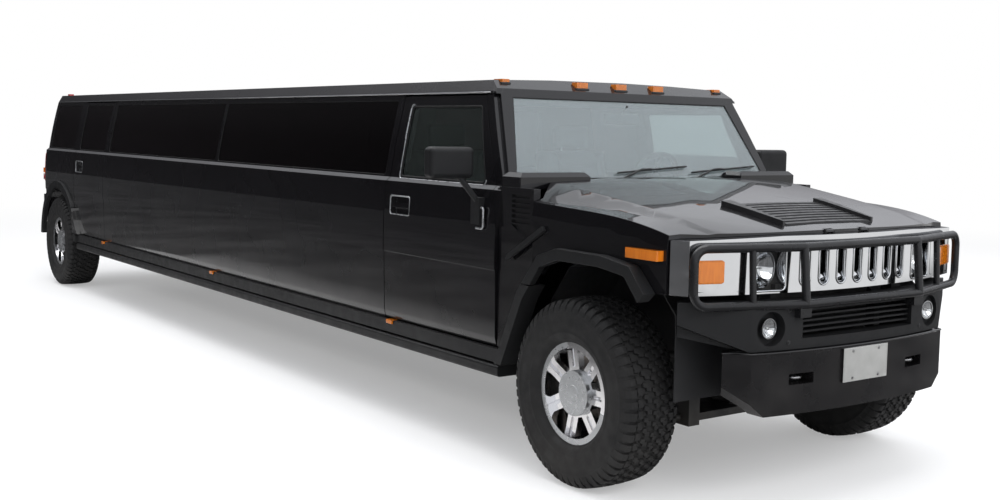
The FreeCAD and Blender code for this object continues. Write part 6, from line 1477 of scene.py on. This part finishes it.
# %% Drip moulding and lamp bases
DRIP_Y, DRIP_Z, ROOF_LEAST = 0.8705, 1.8145, 1.8
drips = [([Vector((x, side * DRIP_Y, DRIP_Z)) for x in (-4.55, -2.0, 0.5, 3.0, 3.19)], False)
         for side, word in SIDES]
bar_piece("drip_moulding", drips, 0.0042, chrome, sides=8)
bases = [plain((low.x - 0.007, low.y - 0.007, low.z - 0.004), (high.x + 0.005, high.y + 0.007, low.z + 0.008),
               0.003, smooth_plastic) for low, high in part_boxes("amber_lamps") if low.z > ROOF_LEAST]
as_piece("roof_lamp_bases", joined_mesh(bases), smooth_plastic, "root")
print("drip mouldings", len(drips), "lamp bases", len(bases))

# %% [markdown]
# ## Wipers
#
# Each wiper is an arm from a splined cap to a thin rubber blade that lies on the
# glass near its foot. The blade follows the plane of the glass.

# %% Wipers
SCREEN_FOOT, SCREEN_HEAD = Vector((ahead(-0.604), 0.0, 1.352)), Vector((ahead(-0.864), 0.0, 1.836))
SCREEN_UP = (SCREEN_HEAD - SCREEN_FOOT).normalized()
SCREEN_OUT = Vector((SCREEN_UP.z, 0.0, -SCREEN_UP.x))
PIVOT_YS = (0.27, -0.27)
CAP_PROFILE = [(0.0, 0.014), (0.012, 0.0125), (0.016, 0.008), (0.0165, 0.0003), (0.0, 0.0003)]
POST_PROFILE = [(-0.03, 0.007), (0.0, 0.007), (0.0, 0.0003), (-0.03, 0.0003)]


def on_screen(up, y, out):
    """Point up the windscreen from its foot, across it, and out of the glass."""
    return SCREEN_FOOT + SCREEN_UP * up + SCREEN_OUT * out + Vector((0.0, y, 0.0))


def blade_path(pivot_y, out):
    """Path along a wiper's blade, at a distance out of the glass."""
    return [on_screen(0.062 + 0.012 * i, pivot_y + 0.04 + 0.17 * i, out) for i in range(4)], False


wiper_low, wiper_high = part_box("wipers")
wiper_parts = []
for pivot_y in PIVOT_YS:
    pivot = Vector((wiper_low.x + 0.006, pivot_y, wiper_high.z - 0.008))
    arm = [pivot, pivot + Vector((0.0, 0.05, 0.004)), on_screen(0.074, pivot_y + 0.2, 0.024),
           on_screen(0.08, pivot_y + 0.28, 0.016)]
    cap, post = turned(CAP_PROFILE, steps=20), turned(POST_PROFILE, steps=16)
    wiper_parts += [
        (bar([blade_path(pivot_y, 0.004)], 0.0035, seal_rubber, 6), UNMOVED),
        (bar([blade_path(pivot_y, 0.011)], 0.0045, smooth_plastic, 8), UNMOVED),
        (bar([(arm, False)], 0.0055, smooth_plastic, 8), UNMOVED),
        (painted(cap, smooth_plastic), aimed(pivot + Vector((0.0, 0.0, -0.008)), (0, 0, 1))),
        (painted(post, smooth_plastic), aimed(pivot + Vector((0.0, 0.0, -0.006)), (0, 0, 1)))]
as_piece("wiper_sets", joined_mesh(wiper_parts), smooth_plastic, "root",
         stands_for=("wipers",))
print("wipers", len(PIVOT_YS))

# %% [markdown]
# ## Running boards
#
# Ribbed rubber pads are let into the board's top beside each door and along the
# stretch. One pad is a plate with a row of ribs from the step tree.

# %% Step pads
PAD_LENGTH, PAD_COUNT, PAD_GAP, FIRST_PAD_FRONT = 0.94, 6, 0.215, 3.40
PAD_IN, PAD_OUT = 0.873, 0.998
RIB_EVERY, RIBS_ON_PAD = 0.02, 46
pads = []
for side, word in SIDES:
    y0, y1 = across(side, PAD_IN, PAD_OUT)
    for i in range(PAD_COUNT):
        x0 = FIRST_PAD_FRONT - PAD_LENGTH - i * (PAD_LENGTH + PAD_GAP)
        pads.append(plain((x0, y0, 0.4655), (x0 + PAD_LENGTH, y1, 0.4685), 0.001, seal_rubber, 1))
        pads.append((row((x0 + 0.012, y0 + 0.008, 0.468), (x0 + 0.02, y1 - 0.008, 0.4712), 0.001, RIBS_ON_PAD,
                         (RIB_EVERY, 0.0, 0.0), seal_rubber), UNMOVED))
as_piece("step_pads", joined_mesh(pads), seal_rubber, "root")
print("step pads", len(SIDES) * PAD_COUNT)

# %% [markdown]
# ## Underneath
#
# Springs and dampers have no joint here, so the solids leave them out. The rear
# dampers can be seen in the arches, so two plain tubes are turned on the lathe
# and stood in their place.

# %% Dampers
DAMPER_X, DAMPER_Y, DAMPER_LOW, DAMPER_HIGH = REAR_AXLE - 0.1, 0.5, 0.42, 0.6
damper_length = DAMPER_HIGH - DAMPER_LOW
tube = turned([(0.0, 0.03), (damper_length, 0.03), (damper_length, 0.0003), (0.0, 0.0003)], steps=24)
dampers = [(painted(tube, chassis_paint), aimed((DAMPER_X, side * DAMPER_Y, DAMPER_LOW), (0, 0, 1)))
           for side, word in SIDES]
as_piece("rear_dampers", joined_mesh(dampers), chassis_paint, "root")
print("dampers", len(dampers))

# %% [markdown]
# ## Padded seats
#
# A seat is foam under leather: it swells between its seams. Each pad starts as a
# slightly smaller block, is given even faces, and is blown up for twenty frames
# as cloth with a little air pressure. How far a point may move is capped, so the
# pad stays in the place its solid has. Seams are pressed in afterwards.

# %% Blowing a pad up
AIR_FRAMES, AIR_PRESSURE = 20, 4.0


def even_faces(data, voxel):
    """The mesh remade from even faces."""
    holder = on_set("even", data)
    modifier = holder.modifiers.new("even_faces", "REMESH")
    modifier.mode, modifier.voxel_size = "VOXEL", voxel
    result = evaluated(holder)
    bpy.data.objects.remove(holder)
    return result


def blown_up(data, held, cap):
    """Cloth run with air pressure; points that pass held stay, others move at most cap."""
    scene = bpy.context.scene
    holder = on_set("pad_in_air", data)
    rest = [v.co.copy() for v in data.vertices]
    group = holder.vertex_groups.new(name="held")
    group.add([i for i, p in enumerate(rest) if held(p)], 1.0, "REPLACE")
    cloth = holder.modifiers.new("air", "CLOTH")
    cloth.settings.use_pressure = True
    cloth.settings.uniform_pressure_force = AIR_PRESSURE
    cloth.settings.effector_weights.gravity = 0.0
    cloth.settings.vertex_group_mass = "held"
    cloth.collision_settings.use_collision = False
    cloth.point_cache.frame_start, cloth.point_cache.frame_end = 1, AIR_FRAMES
    for step in range(1, AIR_FRAMES + 1):
        scene.frame_set(step)
    result = evaluated(holder)
    bpy.data.objects.remove(holder)
    scene.frame_set(1)
    for vert, start in zip(result.vertices, rest):
        move = vert.co - start
        if move.length > cap:
            vert.co = start + move * (cap / move.length)
    return result


print("air frames", AIR_FRAMES)

# %% Sewing and finishing a pad
SMOOTH_ROUNDS = 2


def sewn(data, axis, places, width, depth, inside):
    """Presses seams in at places along an axis, where the point passes inside."""
    inwards = [-v.normal for v in data.vertices]
    for vert, way in zip(data.vertices, inwards):
        if inside(vert.co):
            near = min(abs(vert.co[axis] - p) for p in places)
            vert.co += way * depth * math.exp(-(near / width) ** 2)
    return data


def smoothed(data):
    """The mesh relaxed, shaded smooth and divided once."""
    mesh = bmesh.new()
    mesh.from_mesh(data)
    for i in range(SMOOTH_ROUNDS):
        bmesh.ops.smooth_vert(mesh, verts=mesh.verts, factor=0.5, use_axis_x=True, use_axis_y=True,
                              use_axis_z=True)
    for face in mesh.faces:
        face.smooth = True
    mesh.to_mesh(data)
    mesh.free()
    holder = on_set("finer", data)
    modifier = holder.modifiers.new("finer", "SUBSURF")
    modifier.levels = modifier.render_levels = 1
    finer = evaluated(holder)
    bpy.data.objects.remove(holder)
    return finer


def pad(low, high, voxel, cap, rounding, held, seams=None):
    """A stuffed block that fills the box from low to high."""
    inset = Vector((cap, cap, cap)) * 0.75
    start = block(Vector(low) + inset, Vector(high) - inset, rounding, 4)
    data = smoothed(blown_up(even_faces(start, voxel), held, cap))
    if seams:
        data = sewn(data, *seams)
    return painted(data, leather)


def welt(data, height, radius=0.0035, count=96):
    """Piping bar around a pad at a height, on its surface."""
    tree = BVHTree.FromPolygons([v.co for v in data.vertices], [tuple(p.vertices) for p in data.polygons])
    centre = sum((v.co for v in data.vertices), Vector()) / len(data.vertices)
    centre.z = height
    points = []
    for i in range(count):
        a = 2 * math.pi * i / count
        way = Vector((math.cos(a), math.sin(a), 0.0))
        hit = tree.ray_cast(centre + way * 2.0, -way)[0]
        if hit:
            points.append(hit)
    return bar([(points, True)], radius, leather, 6)


print("smoothing rounds", SMOOTH_ROUNDS)

# %% [markdown]
# The front seats have a cushion with two bolsters, a raked back and a head pad on
# two posts. The back is made upright and then leaned to the rake of the solid.

# %% Pads of the front seats
BOLSTER_SEAMS, SEAM_WIDTH, SEAM_DEPTH = (-0.155, 0.155), 0.009, 0.012
QUILT_WIDTH, QUILT_DEPTH, QUILT_HALF = 0.007, 0.006, 0.15
cushion = pad((-0.26, -0.27, 0.0), (0.26, 0.27, 0.17), 0.012, 0.016, 0.03, lambda p: p.z < 0.02,
              (1, BOLSTER_SEAMS, SEAM_WIDTH, SEAM_DEPTH, lambda p: p.z > 0.08))
cushion = sewn(cushion, 0, (-0.13, -0.02, 0.09), QUILT_WIDTH, QUILT_DEPTH,
               lambda p: p.z > 0.08 and abs(p.y) < QUILT_HALF)
backrest = pad((0.0, -0.27, 0.0), (0.15, 0.27, 0.6), 0.012, 0.016, 0.03, lambda p: p.x < 0.02,
               (1, BOLSTER_SEAMS, SEAM_WIDTH, SEAM_DEPTH, lambda p: p.x > 0.07))
backrest = sewn(backrest, 2, (0.14, 0.25, 0.36, 0.47), QUILT_WIDTH, QUILT_DEPTH,
                lambda p: p.x > 0.07 and abs(p.y) < QUILT_HALF)
head_pad = pad((0.0, -0.135, 0.0), (0.08, 0.135, 0.15), 0.01, 0.01, 0.02, lambda p: p.z < 0.012)
print("cushion faces", len(cushion.polygons))

# %% Front seats
SEAT_X, SEAT_Y, SEAT_Z = ahead(-1.56), 0.47, 0.76
RAKE, BACK_LIFT = math.radians(14.0), Matrix.Translation((0.0, 0.0, 0.16))
HEAD_X, HEAD_Z, POST_X = 2.108, 1.508, 2.148
CABIN_FLOOR = 0.631
for side, word in SIDES:
    y = side * SEAT_Y
    flat = Matrix.Translation((SEAT_X, y, SEAT_Z))
    lean = Matrix.Translation((SEAT_X - 0.262, y, SEAT_Z)) @ Matrix.Rotation(-RAKE, 4, "Y") @ BACK_LIFT
    piped = joined_mesh([(cushion, flat), (welt(cushion, 0.115), flat)])
    seat = as_piece(f"front_seat_cushion_{word}", piped, leather, "root",
                    stands_for=("front_seats",))
    rest = as_piece(f"front_seat_back_{word}", joined_mesh([(backrest, lean)]), leather, "root",
                    stands_for=("front_seats",))
    top = as_piece(f"front_seat_head_{word}", head_pad.copy(), leather, "root",
                   Matrix.Translation((HEAD_X, y, HEAD_Z)), ("front_seats",))
    posts = [upright(POST_X, y + dy, 1.46, 1.52) for dy in (-0.07, 0.07)]
    hard = [plain((SEAT_X - 0.24, y - 0.2, CABIN_FLOOR), (SEAT_X + 0.24, y + 0.2, 0.664), 0.006, trim),
            plain((SEAT_X - 0.22, y - 0.16, 0.66), (SEAT_X + 0.22, y + 0.16, 0.765), 0.012, trim),
            (bar(posts, 0.006, bolt_steel, 10), UNMOVED)]
    as_piece(f"front_seat_base_{word}", joined_mesh(hard), trim, "root")
print("front seats", len(SIDES))

# %% [markdown]
# The lounge bench is one long plinth with loose pads side by side. One cushion and
# one back pad are blown up once, and copies stand next to each other, as in the
# workshop, where one pattern is cut many times.

# %% Pads of the lounge
LONG_X0, LONG_X1, LONG_PADS = -2.194, 1.878, 7
REAR_X0, REAR_HALF = -4.694, 0.462
BENCH_WALL, DEPTH, BACK = 0.897, 0.56, 0.13
PAD_TOP, BACK_TOP, PLINTH_TOP = 0.99, 1.282, 0.86
pitch = (LONG_X1 - LONG_X0) / LONG_PADS


def near_foot(p):
    """Points at the foot of a pad, which are sewn down."""
    return p.z < 0.015


def bench_cushion(length, width, voxel):
    """A loose cushion about its own middle."""
    return pad((-length / 2, -width / 2, 0.0), (length / 2, width / 2, PAD_TOP - PLINTH_TOP), voxel, 0.014,
               0.028, near_foot)


def bench_back(length, width):
    """A loose back pad about its own middle."""
    return pad((-length / 2, -width / 2, 0.0), (length / 2, width / 2, BACK_TOP - PAD_TOP), 0.022, 0.012,
               0.024, near_foot)


lounge_cushion, lounge_back = bench_cushion(pitch, DEPTH, 0.026), bench_back(pitch, BACK)
rear_cushion, rear_back = bench_cushion(DEPTH, REAR_HALF, 0.02), bench_back(BACK, REAR_HALF)
print("pad pitch", round(pitch, 3), "m")

# %% Lounge seats
long_pads, rear_pads = [], []
for i in range(LONG_PADS):
    x = LONG_X0 + pitch * (i + 0.5)
    long_pads.append((lounge_cushion, Matrix.Translation((x, BENCH_WALL - DEPTH / 2, PLINTH_TOP))))
    long_pads.append((lounge_back, Matrix.Translation((x, BENCH_WALL - BACK / 2, PAD_TOP))))
for side, word in SIDES:
    y = side * REAR_HALF / 2
    rear_pads.append((rear_cushion, Matrix.Translation((REAR_X0 + DEPTH / 2, y, PLINTH_TOP))))
    rear_pads.append((rear_back, Matrix.Translation((REAR_X0 + BACK / 2, y, PAD_TOP))))
for name, group in (("lounge_side_pads", long_pads), ("lounge_rear_pads", rear_pads)):
    soft = as_piece(name, joined_mesh(group), leather, "root",
                    stands_for=("lounge_seats",))
plinths = [plain((LONG_X0, BENCH_WALL - DEPTH + 0.02, CABIN_FLOOR), (LONG_X1, BENCH_WALL, PLINTH_TOP + 0.002),
                 0.006, trim),
           plain((REAR_X0, -REAR_HALF, CABIN_FLOOR), (REAR_X0 + DEPTH - 0.02, REAR_HALF, PLINTH_TOP + 0.002),
                 0.006, trim)]
as_piece("lounge_plinths", joined_mesh(plinths), trim, "root")
print("lounge pads", len(long_pads) + len(rear_pads))

# %% [markdown]
# ## Cabin
#
# What shows through the windscreen and the open doors is kept simple and real: an
# instrument hood, vents with slats, a blank centre panel, a mirror on its stalk, a
# pale roof lining and trimmed doors with an arm rest and a pull.

# %% Dashboard
DASH_REAR = 3.138
VENT_Z, VENT_LOW = 1.25, 1.222
KNOB = [(0.0, 0.018), (0.016, 0.016), (0.018, 0.013), (0.018, 0.0003), (0.0, 0.0003)]
dash = [plain((3.15, 0.29, 1.322), (3.32, 0.65, 1.372), 0.02, trim),
        plain((DASH_REAR - 0.006, -0.15, 1.06), (DASH_REAR + 0.01, 0.15, 1.3), 0.005, smooth_plastic),
        plain((DASH_REAR - 0.008, -0.12, 1.19), (DASH_REAR, 0.12, 1.285), 0.004, smooth_plastic),
        plain((DASH_REAR - 0.004, -0.72, 1.03), (DASH_REAR + 0.01, -0.24, 1.19), 0.006, trim)]
slats = row((DASH_REAR - 0.007, -0.055, 0.0), (DASH_REAR + 0.004, 0.055, 0.0035), 0.001, 7, (0.0, 0.0, 0.009),
            smooth_plastic)
for y in (-0.78, -0.3, 0.22, 0.78):
    ring = rounded_frame(y, VENT_Z, 0.062, 0.038, 0.012, lambda at: DASH_REAR - 0.005)
    dash.append((slats, Matrix.Translation((0.0, y, VENT_LOW))))
    dash.append((bar([ring], 0.004, smooth_plastic, 8), UNMOVED))
for y in (-0.075, 0.0, 0.075):
    dash.append((painted(turned(KNOB, steps=28), trim), aimed((DASH_REAR - 0.005, y, 1.115), (-1, 0, 0))))
as_piece("dash_fittings", joined_mesh(dash), trim, "root")
print("dash pieces", len(dash))

# %% Steering wheel pad
COLUMN_TILT = math.radians(25.0)
COLUMN = Vector((-math.cos(COLUMN_TILT), 0.0, math.sin(COLUMN_TILT)))
WHEEL_CENTRE = Vector((2.946, 0.47, 1.338))
PAD_PROFILE = [(0.0, 0.062), (0.014, 0.06), (0.022, 0.05), (0.026, 0.03), (0.027, 0.0003), (0.0, 0.0003)]
pad_shape = turned(PAD_PROFILE, steps=48, angle=math.radians(40))
as_piece("steering_pad", pad_shape, trim, "steering_wheel", aimed(WHEEL_CENTRE + COLUMN * 0.006, COLUMN))
print("steering pad faces", len(pad_shape.polygons))

# %% Inner mirror and roof lining
stalk = [([Vector((3.245, 0.0, 1.765)), Vector((3.215, 0.0, 1.74)), Vector((3.2, 0.0, 1.715))], False)]
inner = [plain((3.186, -0.125, 1.665), (3.206, 0.125, 1.725), 0.009, smooth_plastic),
         plain((3.1845, -0.118, 1.672), (3.187, 0.118, 1.718), 0.001, chrome),
         (bar(stalk, 0.007, smooth_plastic, 10), UNMOVED)]
as_piece("inner_mirror", joined_mesh(inner), smooth_plastic, "root")
as_piece("roof_lining", block((-4.6, -0.8, 1.782), (3.06, 0.8, 1.79), 0.003), pale_trim, "root")
print("mirror parts", len(inner))

# %% [markdown]
# A door trim is a dark board on the door's inner face, with a pale upper panel, an
# arm rest, a map pocket and a bent pull. Each is measured from that inner face.

# %% Door trims
PULL = ((0.5, 0.012, 1.075), (0.5, 0.03, 1.082), (0.6, 0.03, 1.082), (0.6, 0.012, 1.075))
for group in ("door_front", "door_rear"):
    for side, word in SIDES:
        low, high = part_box(f"{group}_{word}")
        x0, x1 = low.x + 0.12, high.x - 0.14
        face = min(abs(low.y), abs(high.y))
        board = across(side, face - 0.011, face + 0.002)
        rest = across(side, face - 0.058, face - 0.008)
        upper = across(side, face - 0.016, face - 0.009)
        sheet = [plain((x0, board[0], 0.66), (x1, board[1], 1.28), 0.004, trim),
                 plain((x0 + 0.1, rest[0], 0.965), (x0 + 0.52, rest[1], 1.005), 0.012, trim),
                 plain((x0 + 0.03, upper[0], 1.03), (x1 - 0.03, upper[1], 1.25), 0.003, pale_trim),
                 plain((x0 + 0.04, rest[0], 0.7), (x0 + 0.42, rest[1], 0.79), 0.008, trim)]
        pull = [Vector((x0 + along, side * (face - off), z)) for along, off, z in PULL]
        sheet.append((bar([(pull, False)], 0.006, cap_metal, 10), UNMOVED))
        as_piece(f"{group}_trim_{word}", joined_mesh(sheet), trim, f"{group}_{word}")
print("trim parts in a door", len(sheet))

# %% [markdown]
# ## Tail
#
# The tail carries what such a tail gate always has: a framed pull, lamps with an
# amber and a clear field, and a ribbed step on the bumper.

# %% Tail fittings
GATE_REAR, GRIP_Z = -4.814, 0.965
grip = rounded_frame(0.0, GRIP_Z, 0.105, 0.034, 0.014, lambda y: GATE_REAR - 0.0005)
grip_bar = ([Vector((GATE_REAR - 0.004, y, GRIP_Z)) for y in (-0.09, 0.09)], False)
as_piece("liftgate_handle", joined_mesh([(bar([grip], 0.0045, cap_metal, 10), UNMOVED),
                                         (bar([grip_bar], 0.008, smooth_plastic, 12), UNMOVED)]),
         cap_metal, "liftgate")
LOW_LAMPS = 1.5
LAMP_FIELDS = ((1.02, 1.08, chrome), (1.09, 1.14, amber_lens))
fields = [plain((low.x - 0.0015, low.y + 0.009, z0), (low.x + 0.006, high.y - 0.009, z1), 0.0015, mat)
          for low, high in part_boxes("rear_lamps") if low.z < LOW_LAMPS for z0, z1, mat in LAMP_FIELDS]
as_piece("tail_lamp_fields", joined_mesh(fields), amber_lens, "root")
print("lamp fields", len(fields))

# %% Rear step
STEP_RIBS, STEP_BOLT_X, STEP_BOLT_Y = 61, -4.867, 0.66
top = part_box("bumper_rear")[1].z
step = [plain((-4.908, -0.62, top - 0.001), (-4.826, 0.62, top + 0.0025), 0.001, seal_rubber),
        (row((-4.904, -0.605, top + 0.002), (-4.83, -0.595, top + 0.006), 0.001, STEP_RIBS, (0.0, 0.02, 0.0),
             seal_rubber), UNMOVED)]
as_piece("rear_step", joined_mesh(step), seal_rubber, "root")
step_bolts = [((STEP_BOLT_X, y, top), (0, 0, 1)) for y in (-STEP_BOLT_Y, STEP_BOLT_Y)]
bolts("rear_bumper_bolts", step_bolts, 0.008, 0.8, smooth_plastic)
print("step ribs", STEP_RIBS, "bolts", len(step_bolts))
